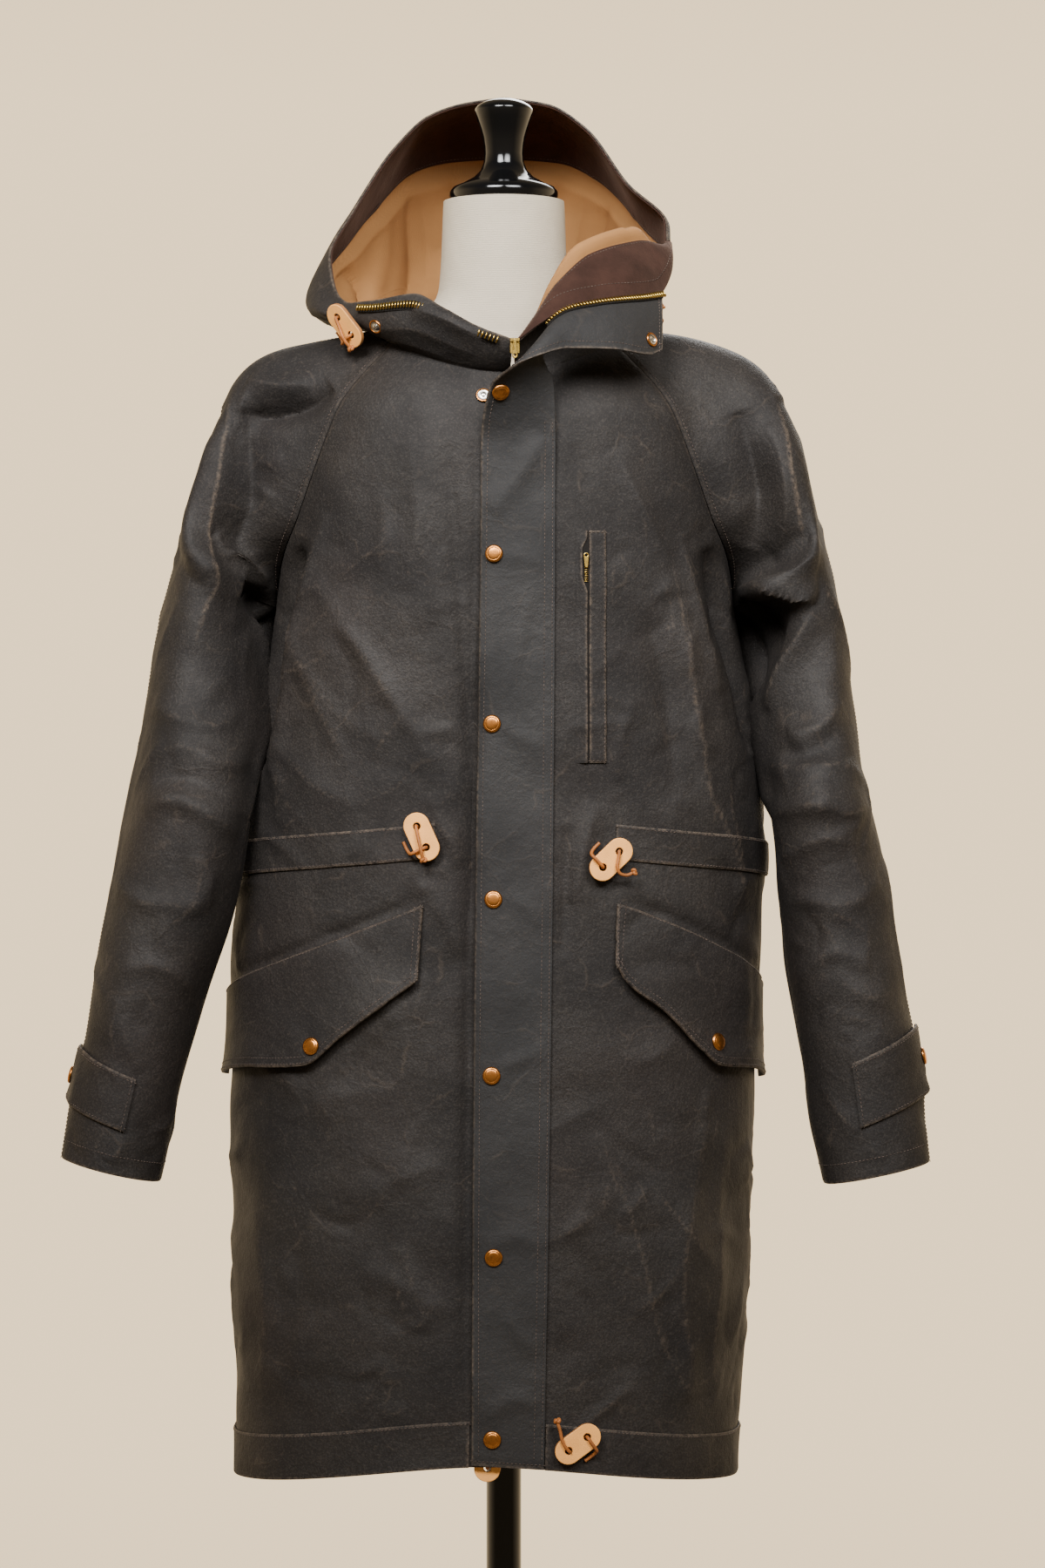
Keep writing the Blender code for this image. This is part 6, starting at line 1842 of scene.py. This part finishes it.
def hood_grid(angles, rises, lines):
    """The hood's cloth over its angles and rises: its outer face, the way it looks and its wear."""
    angles, rises = np.broadcast_arrays(angles, rises)
    spot, normal = with_normal(whole_hood, angles, rises, -1, HOOD_STEPS)
    out, worn = crease_field(spot, lines)
    fade = smooth(rises / 0.14) * smooth((1 - rises) / 0.10 + 0.25)
    return (*moved(spot, normal, (out + slack(spot, 8)) * fade), worn)


class PARKA_OT_hood(bpy.types.Operator):
    """Makes the hood with its collar, the brown facing inside its rim and the tan lining"""

    bl_idname = "parka.hood"
    bl_label = "Hood"

    def execute(self, context):
        lines = crease_lines(whole_hood, HOOD_CREASES)
        halves = {side: np.linspace(0.25, HOODS[side].keys[-1], 130) for side in SIDES}
        for side, sign in SIDES.items():
            face, way, worn = hood_grid(sign * halves[side][:, None], graded(70), lines)
            face[:, 0] -= way[:, 0] * (CLOTH + GAP) + np.array([0, 0, NECK_TUCK])
            coat_piece(f"hood_{side}", (face, way, worn), CLOTH, "draped", ["form_torso"], "r")
        rests_on = ["hood_left_cloth", "hood_right_cloth"]
        angles = np.concatenate([-halves["right"][::-1], halves["left"]])[:, None]
        inside = CLOTH + 1.7 * GAP
        face, way, _ = hood_grid(angles, FACING_RISE + FACING_REACH * graded(24), lines)
        cloth_piece(
            "hood_facing_moleskin", face - way * inside, way, FACING, "moleskin_facing", ["hood_facing"],
            "laid", rests_on,
        )
        for edge, inset in FACING_INSETS.items():
            sew("hood_stitching", inset_line(face - way * (inside + FACING), way, edge, inset, -THREAD_LIFT))
        shares = np.linspace(0, 1, 80)
        face, way, _ = hood_grid(angles, 0.03 + 0.668 * shares, lines)
        folds, _ = crease_field(face, crease_lines(whole_hood, LINING_CREASES))
        ends = smooth(shares / 0.12) * smooth((1 - shares) / 0.12) * smooth((170 - np.abs(angles)) / 25)
        face, way = moved(face, way, -inside - np.maximum(LINING_PUFF + folds, 0) * ends)
        cloth_piece(
            "hood_lining_cotton", face, way, FACING, "cotton_lining", ["hood_lining"], "draped", rests_on,
        )
        return {"FINISHED"}


def fine_fly(shares):
    """The fly's outside on a fine grid through the points of its solid, with its outward way."""
    coarse = fly_grid(np.linspace(0, 1, FLY_COLUMNS))
    count, rows = len(coarse), FLY_CLOTH_ROWS
    by_row = Table(range(3 * FLY_COLUMNS), coarse.reshape(count, -1)).read(np.linspace(0, count - 1, rows))
    by_share = Table(range(3 * rows), by_row.reshape(FLY_COLUMNS, -1)).read(shares * (FLY_COLUMNS - 1))
    grid = np.moveaxis(by_share.reshape(3, rows, len(shares)), 0, -1)
    return grid, -grid_way(grid)


def fly_row(row):
    """The row of the fly's cloth at a row of its solid."""
    return int(row / (sum(FLY_ROWS) - 1) * (FLY_CLOTH_ROWS - 1))


class PARKA_OT_storm_fly(bpy.types.Operator):
    """Makes the storm fly over the zip, with its turned-back top"""

    bl_idname = "parka.storm_fly"
    bl_label = "Storm fly"

    def execute(self, context):
        shares = graded(22)
        grid, way = fine_fly(shares)
        out, worn = coat_cloth().field(grid)
        own, own_worn = crease_field(grid, crease_lines(front, FLY_CREASES))
        below = smooth((FLY_ROLL_Z - grid[..., 2]) / 0.05)
        between = np.interp(grid[..., 2], FLY_SNAPS, np.arange(len(FLY_SNAPS)))
        loose = FLY_LOOSE * np.sin(np.pi * between) ** 2 * shares**3
        face, way = moved(grid, way, out * below + own + loose)
        fly = (face, way, np.maximum(worn, own_worn))
        rests_on = ["front_left_cloth", "front_right_cloth"]
        made = coat_piece("storm_fly", fly, FOLDED_CLOTH, "laid", rests_on, "rbt")
        # The double value marks the fly for the painted cool sheen
        add_values(made.data, "double", np.ones(2 * worn.size))
        split = int(np.argmax(face[:, -1, 2] > FLY_TURN_Z))
        turn = split + FLY_TURN_ROWS
        back = face - way * FOLDED_CLOTH
        for grid, normal, edge, inset, part in (
            (face, way, "r", 0.0058, slice(2, turn)), (face, way, "l", 0.0085, slice(2, split)),
            (face, way, "l", 0.0020, slice(2, split)), (face, way, "b", 0.0040, slice(None)),
            (back, -way, "r", 0.0058, slice(turn, -4)), (back, -way, "t", 0.0050, slice(None)),
        ):
            sew("fly_stitching", inset_line(grid, normal, edge, inset)[part])
        return {"FINISHED"}


class PARKA_OT_trim(bpy.types.Operator):
    """Makes the waist casings, hem bands, pocket flaps, chest welt and cuff straps"""

    bl_idname = "parka.trim"
    bl_label = "Casings, bands, flaps and straps"

    def execute(self, context):
        narrow = graded(10)[:, None]
        middle = (narrow - 0.5) * CASING_HEIGHT
        for side, sign in SIDES.items():
            table = CASINGS[side]
            turns = np.linspace(table.keys[0], 90 - SIDE_GAP, 60)
            heights = table.read(turns)[1] + middle
            self.sewn(f"casing_{side}", sign * turns, heights, CASING_LIFT, TRIM, "lbt", "bt")
            flap = FLAPS[side]
            turns = flap.keys[0] + (flap.keys[-1] - flap.keys[0]) * graded(62)
            _, top, bottom = flap.read(turns)
            up = graded(22)[:, None]
            lift = FLAP_LIFT + FLAP_LOOSE * (1 - up) ** 2
            heights = bottom + (top - bottom) * up
            self.sewn(f"flap_{side}", sign * turns, heights, lift, FOLDED_CLOTH, "lbt", "lbt", 0.0022)
            sew_edges("trim_stitching", f"flap_{side}", "lb", FLAP_INSET)
            start = float(front_turn(np.array(HEM_START[side]), np.array(0.53)))
            turns = np.linspace(start, sign * (90 - SIDE_GAP), 70)
            self.sewn(
                f"hem_{side}", turns, narrow, CASING_LIFT, TRIM, "lbt", "t", TRIM_INSET, body, BODY_STEPS,
            )
        turns = np.linspace(90 + SIDE_GAP, 270 - SIDE_GAP, 150)
        self.sewn("hem_back", turns, narrow, CASING_LIFT, TRIM, "bt", "t", TRIM_INSET, body, BODY_STEPS)
        self.sewn("casing_back", turns, BACK_CASING_Z + middle, CASING_LIFT, TRIM, "bt", "bt")
        heights = CHEST_Z[0] + (CHEST_Z[1] - CHEST_Z[0]) * np.linspace(0, 1, 70)[:, None]
        welt = CHEST_X[1] + GAP + (CHEST_X[2] - CHEST_X[1] - GAP) * graded(8)
        self.sewn("chest_welt", welt, heights, 0.0022, CLOTH, "lrbt", "rbt", 0.0016, front, FRONT_STEPS)
        self.chest_lip(heights)
        for side, sign in SIDES.items():
            around, upper, lower, lift = STRAP.read(4 * graded(36))
            along = upper + (lower - upper) * graded(12)[:, None]
            grid = sleeve_cloth(side).laid(sleeve(side), around, along, SLEEVE_STEPS, lift, sign)
            name, rests_on = f"cuff_tab_{side}", [f"sleeve_{side}_front_cloth"]
            coat_piece(name, grid, STRAP_THICKNESS, "laid", rests_on, "rbt")
            sew_edges("trim_stitching", name, "lrbt", STRAP_INSET)
        return {"FINISHED"}

    def chest_lip(self, heights):
        """The edge of the front that covers the chest zip but for its top, where the slider is."""
        shares = graded(8)
        start, top = CHEST_X[0] - 0.005, CHEST_Z[1]
        shown = smooth((heights - top + 0.052) / 0.014) * smooth((top - 0.005 - heights) / 0.011)
        end = CHEST_X[1] - 0.0014 - 0.0042 * shown
        across = start + (end - start) * shares
        spot, normal = with_normal(front, across, heights + 0 * shares, 1, FRONT_STEPS)
        out, worn = coat_cloth().field(spot)
        face, way = moved(spot, normal, out + 0.0004 + 0.0022 * smooth(shares))
        rests_on = ["front_left_cloth"]
        cloth_piece("chest_lip_cloth", face, way, 0.0008, "waxed_cotton", [], "laid", rests_on, worn, "r")

    def sewn(
        self, name, turns, heights, lift, thick, free, edges,
        inset=TRIM_INSET, surface=body_at, steps=ROUND_STEPS,
    ):
        """A cloth piece that lies on the body, with a row of stitches along some of its edges."""
        grid = coat_cloth().laid(surface, turns, heights, steps, lift)
        coat_piece(name, grid, thick, "laid", ["front_left_cloth", "front_right_cloth", "back_cloth"], free)
        sew_edges("trim_stitching", name, edges, inset)


class PARKA_OT_zips(bpy.types.Operator):
    """Makes the zips: woven tapes, brass teeth, sliders and the pull tab"""

    bl_idname = "parka.zips"
    bl_label = "Zips"

    def execute(self, context):
        trim = context.scene.parka_trim
        rows = {}
        heights = np.linspace(*ZIP_RUN, 260)[:, None]
        across = ZIP_X + np.linspace(-0.5, 0.5, 9) * ZIP_TAPE
        grid = self.tape("zip_closed", front, across, heights, -CLOTH - GAP, 0.0012)
        rows["closed"] = ([column_line(*grid, 0.5, 0.0004)], [grid[1][:, 4]])
        angles = np.linspace(*COLLAR_ZIP_ANGLES, 120)
        places = np.broadcast_arrays(angles[:, None], np.linspace(*COLLAR_ZIP_RISES, 6))
        spot, normal = with_normal(hood("right"), *places, 1, HOOD_STEPS)
        behind = smooth((angles - 148) / 4) * smooth((173 - angles) / 4)
        face, way = moved(spot, normal, 0.0022 - 0.0030 * behind[:, None] + np.zeros(6))
        cloth_piece(
            "zip_collar_right_tape", face, way, 0.0010, "zip_tape", ["zip_collar_right"], "laid",
            ["hood_right_cloth"],
        )
        line = column_line(face, way, 0.6, 0.0008)
        seen = [angles < COLLAR_TEETH_GAP[0], angles > COLLAR_TEETH_GAP[1]]
        rows["collar_right"] = ([line[part] for part in seen], [way[part, 3] for part in seen])
        grid, back = (kept[fly_row(LAPEL_ZIP_ROW):] for kept in MADE["storm_fly"])
        edge = [inset_line(grid - back * FOLDED_CLOTH, back, "l", inset, 0) for inset in LAPEL_ZIP_INSETS]
        shares = np.linspace(0, 1, 6)[:, None, None]
        strip = np.moveaxis(edge[0] + (edge[1] - edge[0]) * shares, 0, 1)
        normal = np.repeat(-back[:, 2][:, None], 6, axis=1)
        face, way = moved(strip, normal, np.full(strip.shape[:2], 0.0012 + GAP))
        cloth_piece(
            "zip_collar_left_tape", face, way, 0.0012, "zip_tape", ["zip_collar_left"], "laid",
            ["storm_fly_cloth"],
        )
        rows["collar_left"] = ([column_line(face, way, 0.45, 0.0008)], [way[:, 2]])
        heights = np.linspace(*CHEST_Z, 60)[:, None]
        grid = self.tape("chest_zip", front, np.linspace(*CHEST_X[:2], 6), heights, 0.0014, 0.0008)
        shown = slice(*CHEST_TEETH_ROWS)
        rows["chest"] = ([column_line(*grid, 0.55, 0.0003)[shown]], [grid[1][shown, 3]])
        tree = repeat_tree("zip_teeth", "tooth")
        for name, (lines, ways) in rows.items():
            scale = CHEST_TOOTH if name == "chest" else 1.0
            sizes = {"Spacing": trim.tooth_pitch * scale, "Length": TOOTH_SHARE * trim.tooth_pitch * scale,
                     "Width": trim.tooth_length * scale, "Height": trim.tooth_height * scale}
            settle(repeated(f"zip_{name}_teeth", lines, ways, tree, sizes, "zip_brass"), "zip_brass")
        self.sliders()
        return {"FINISHED"}

    def tape(self, name, surface, across, heights, lift, thick):
        """A woven tape on the body's front, and the grid that it lies on."""
        face, way, _ = coat_cloth().laid(surface, across, heights, FRONT_STEPS, lift)
        cloth_piece(f"{name}_tape", face, way, thick, "zip_tape", [name], "laid", ["front_left_cloth"])
        return face, way

    def sliders(self):
        """The front zip's slider with its bridge, its pull tab, and the chest zip's slider."""
        bridge = [
            (-0.0026, -0.0060), (0.0026, -0.0060), (0.0026, 0.0035),
            (0.0055, 0.0035), (0.0055, 0.0060), (-0.0026, 0.0060),
        ]
        leaf = arc((0, 0), 0.0012, 0, 180, 16) + arc((0, -0.0125), 0.0024, 180, 360, 20)
        leaf_hole = arc((0, -0.0122), 0.0011, 0, 345, 16)
        small = arc((0, 0.0050), 0.0022, 0, 180, 14) + arc((0, -0.0040), 0.0014, 180, 360, 14)
        small_hole = arc((0, 0.0050), 0.0012, 0, 340, 14)
        spot, normal = on_front((CHEST_X[0] + CHEST_X[1]) / 2, CHEST_Z[1] - 0.026)
        chest = spot + normal * (0.0026 + GAP)
        for node, outlines, thick, bevel, place, ahead, carried_by in (
            ("zip_slider", [bridge], 0.0080, 0.0006, SLIDER, (-1, 0, 0), COAT),
            ("zip_pull", [leaf, leaf_hole], 0.0014, 0.0003, PULL_HINGE, (0, -1, 0), PULL),
            ("chest_slider", [small, small_hole], 0.0020, 0.0004, chest, normal, COAT),
        ):
            brass = ["zip_brass"]
            made = bevelled_plate(f"{node}_brass", outlines, thick, bevel, brass, place, ahead, (0, 0, 1))
            settle(made, "zip_brass", [node], carried_by)


def cap(name, spot, normal):
    """A domed snap cap with a plain raised rim."""
    shares = [
        (0, 0.94), (0.30, 0.93), (0.55, 0.88), (0.66, 0.82), (0.70, 0.75), (0.74, 0.77), (0.84, 0.72),
        (0.93, 0.55), (0.985, 0.32), (1, 0.15), (0.97, 0), (0, 0),
    ]
    profile = [(radius * SNAP_RADIUS, height * SNAP_HEIGHT) for radius, height in shares]
    turned(f"{name}_cap", profile, "antique_copper", [name], spot + normal * GAP, normal)


def stud(name, spot, normal, spring):
    """A bare press stud: a copper collar round a nickel middle, which holds a bent spring or a round post."""
    foot = spot + normal * GAP
    collar = [
        (0.0046, 0.0008), (0.0052, 0.0013), (0.0058, 0.0012), (0.0062, 0.0006), (0.0062, 0), (0.0046, 0),
        (0.0046, 0.0008),
    ]
    turned(f"{name}_collar", collar, "antique_copper", [], foot, normal)
    dish = [(0, 0.0003), (0.0024, 0.0003), (0.0030, 0.0006), (0.0034, 0.0014), (0.0044, 0.0012)]
    post = [
        (0, 0.0022), (0.0014, 0.0021), (0.0020, 0.0017), (0.0018, 0.0010), (0.0028, 0.0006), (0.0045, 0.0009),
    ]
    middle = (dish if spring else post) + [(0.0045, 0), (0, 0)]
    turned(f"{name}_middle", middle, "nickel_stud", [name], foot, normal)
    if spring:
        t = np.linspace(-1, 1, 24)
        bend = np.stack([0.0022 * t, 0.0012 * np.sin(np.pi * t), 0 * t + 0.0009], -1)
        wire = round_curve(f"{name}_spring", bend @ axes(normal, (0.1, 0.2, 1)) + spot + normal * GAP, 0.0004)
        settle(to_mesh(wire, ["nickel_stud"]), "nickel_stud")


class PARKA_OT_studs(bpy.types.Operator):
    """Makes the copper snap caps and the bare nickel studs"""

    bl_idname = "parka.studs"
    bl_label = "Snap caps and studs"

    def execute(self, context):
        grid, way = MADE["storm_fly"]
        for number, z in enumerate(FLY_SNAPS, 1):
            self.on_piece(f"fly_snap_{number}", "storm_fly", moved_out(front, FLY_SNAP_X, z, FLY_LIFT))
        row, column = fly_row(TOP_SNAP_ROW), int(round(0.75 * (grid.shape[1] - 1)))
        cap(f"fly_snap_{len(FLY_SNAPS) + 1}", grid[row, column], way[row, column])
        row = fly_row(SOCKET_ROW)
        stud("lapel_socket", (grid - way * FOLDED_CLOTH)[row, column], -way[row, column], True)
        for side in SIDES:
            for name, piece in (("flap_snap", "flap"), ("cuff_snap", "cuff_tab")):
                low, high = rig.box(f"{name}_{side}")
                self.on_piece(f"{name}_{side}", f"{piece}_{side}", (np.array(low) + np.array(high)) / 2)
        spot, normal = with_normal(hood("right"), np.array(129.0), np.array(0.62), 1, HOOD_STEPS)
        stud("collar_stud", spot + normal * 0.001, normal, False)
        stud("neck_stud", *on_front(-0.0165, 1.3975), False)
        return {"FINISHED"}

    def on_piece(self, name, piece, target):
        """A cap on the point of a piece that is nearest to a target."""
        face, way = (kept.reshape(-1, 3) for kept in MADE[piece])
        nearest = np.square(face - target).sum(1).argmin()
        cap(name, face[nearest], way[nearest])


class PARKA_OT_stitching(bpy.types.Operator):
    """Sews the rows of stitches that the cloth pieces have kept"""

    bl_idname = "parka.stitching"
    bl_label = "Stitching"

    def execute(self, context):
        cloth = context.scene.parka_cloth
        sizes = {"Spacing": cloth.stitch + cloth.stitch_gap, "Length": cloth.stitch,
                 "Width": cloth.thread_width, "Height": cloth.thread_width}
        tree = repeat_tree("thread_rows", "stitch")
        for name, lines in THREAD_ROWS.items():
            ways = [np.tile((0.0, -1.0, 0.1), (len(line), 1)) for line in lines]
            settle(repeated(name, lines, ways, tree, sizes, "sewing_thread"), "waxed_cotton")
        return {"FINISHED"}


class PARKA_OT_dress_form(bpy.types.Operator):
    """Makes the linen dress form with its lacquered cap, pole and base"""

    bl_idname = "parka.dress_form"
    bl_label = "Dress form"

    def execute(self, context):
        around = np.linspace(0, 2 * math.pi, 97)
        heights = np.linspace(TORSO_BOTTOM, NECK_TOP, 150)
        _, half, ahead, behind, square = FORM.read(heights)[:, :, None]
        sine, cosine = np.sin(around), np.cos(around)
        depth = np.where(cosine >= 0, ahead, behind)
        reach = ((np.abs(sine) / half) ** square + (np.abs(cosine) / depth) ** square) ** (-1 / square)
        rings = points(reach * sine, -reach * cosine, heights[:, None])[:, :-1]
        index = np.arange(rings.shape[0] * rings.shape[1]).reshape(rings.shape[:2])
        after = np.roll(index, -1, axis=1)
        faces = np.stack([index[:-1], after[:-1], after[1:], index[1:]], -1).reshape(-1, 4).tolist()
        faces += [index[0, ::-1].tolist(), index[-1].tolist()]
        spots = rings.reshape(-1, 3)
        made = add_mesh("form_torso_linen", spots, faces, "form_linen")
        add_uv(made.data, np.stack([np.arctan2(spots[:, 0], -spots[:, 1]) * 0.15, spots[:, 2]], -1))
        settle(made, "form_linen", ["form_torso"])
        top, neck = CAP_TOP, NECK_TOP
        neck_cap = [
            (0, top), (0.006, top - 0.0003), (0.012, top - 0.0013), (0.018, top - 0.0035),
            (0.0225, top - 0.0062), (0.0246, top - 0.0088), (0.0250, top - 0.0104), (0.0247, top - 0.0126),
            (0.0232, top - 0.0180), (0.0205, top - 0.0270), (0.0185, top - 0.0340), (0.0172, top - 0.0420),
            (0.0168, top - 0.0480), (0.0174, top - 0.0550), (0.0200, top - 0.0620), (0.0260, top - 0.0680),
            (0.0360, top - 0.0735), (0.0440, neck + 0.012), (0.0466, neck + 0.0085), (0.0470, neck + 0.006),
            (0.0466, neck + 0.002), (0.0460, neck + GAP), (0, neck + GAP),
        ]
        r, top, foot = POLE_RADIUS, TORSO_BOTTOM - GAP, BASE_HEIGHT + 0.034
        pole = [(0, top), (r, top), (r, foot), (0, foot)]
        r, h = BASE_RADIUS, BASE_HEIGHT
        base = [
            (0, foot - GAP), (0.0230, foot - GAP), (0.0245, foot - 0.001), (0.0280, h + 0.030),
            (0.0300, h + 0.018), (0.0340, h + 0.006), (0.0420, h + 0.0018), (0.0600, h),
            (r - 0.008, h - 0.0028), (r - 0.003, h - 0.0042), (r - 0.0006, h - 0.0062), (r, h - 0.008),
            (r, 0.001), (r - 0.001, 0), (0, 0),
        ]
        for part, profile, steps in (("cap", neck_cap, 72), ("pole", pole, 64), ("base", base, 128)):
            turned(f"form_{part}_lacquer", profile, "black_lacquer", [f"form_{part}"], steps=steps)
        return {"FINISHED"}


class PARKA_PT_panel(bpy.types.Panel):
    """Lists the operators and their settings in the 3D view's sidebar"""

    bl_idname = "PARKA_PT_panel"
    bl_label = "Parka"
    bl_space_type = "VIEW_3D"
    bl_region_type = "UI"
    bl_category = "Parka"

    def draw(self, context):
        for operator in OPERATORS:
            self.layout.operator(operator.bl_idname)
        for group in (context.scene.parka_cloth, context.scene.parka_trim, context.scene.parka_stage):
            for name in group.bl_rna.properties.keys():
                if name not in ("rna_type", "name"):
                    self.layout.prop(group, name)


GROUPS = {"parka_cloth": ParkaCloth, "parka_trim": ParkaTrim, "parka_stage": ParkaStage}
OPERATORS = (
    PARKA_OT_stage, PARKA_OT_drawcords, PARKA_OT_body, PARKA_OT_sleeves, PARKA_OT_hood, PARKA_OT_storm_fly,
    PARKA_OT_trim, PARKA_OT_zips, PARKA_OT_studs, PARKA_OT_stitching, PARKA_OT_dress_form,
)


def register():
    for kind in (*GROUPS.values(), *OPERATORS, PARKA_PT_panel):
        bpy.utils.register_class(kind)
    for name, group in GROUPS.items():
        setattr(bpy.types.Scene, name, PointerProperty(type=group))


def unregister():
    for name in GROUPS:
        delattr(bpy.types.Scene, name)
    for kind in (PARKA_PT_panel, *reversed(OPERATORS), *GROUPS.values()):
        bpy.utils.unregister_class(kind)


def main():
    register()
    for operator in OPERATORS:
        group, name = operator.bl_idname.split(".")
        getattr(getattr(bpy.ops, group), name)()
    with open(SIZE_FILE, "w") as file:
        json.dump({"cad": CAD_BOX, "visual": [list(corner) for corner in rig.bounds()]}, file)


if __name__ == "__main__":
    main()
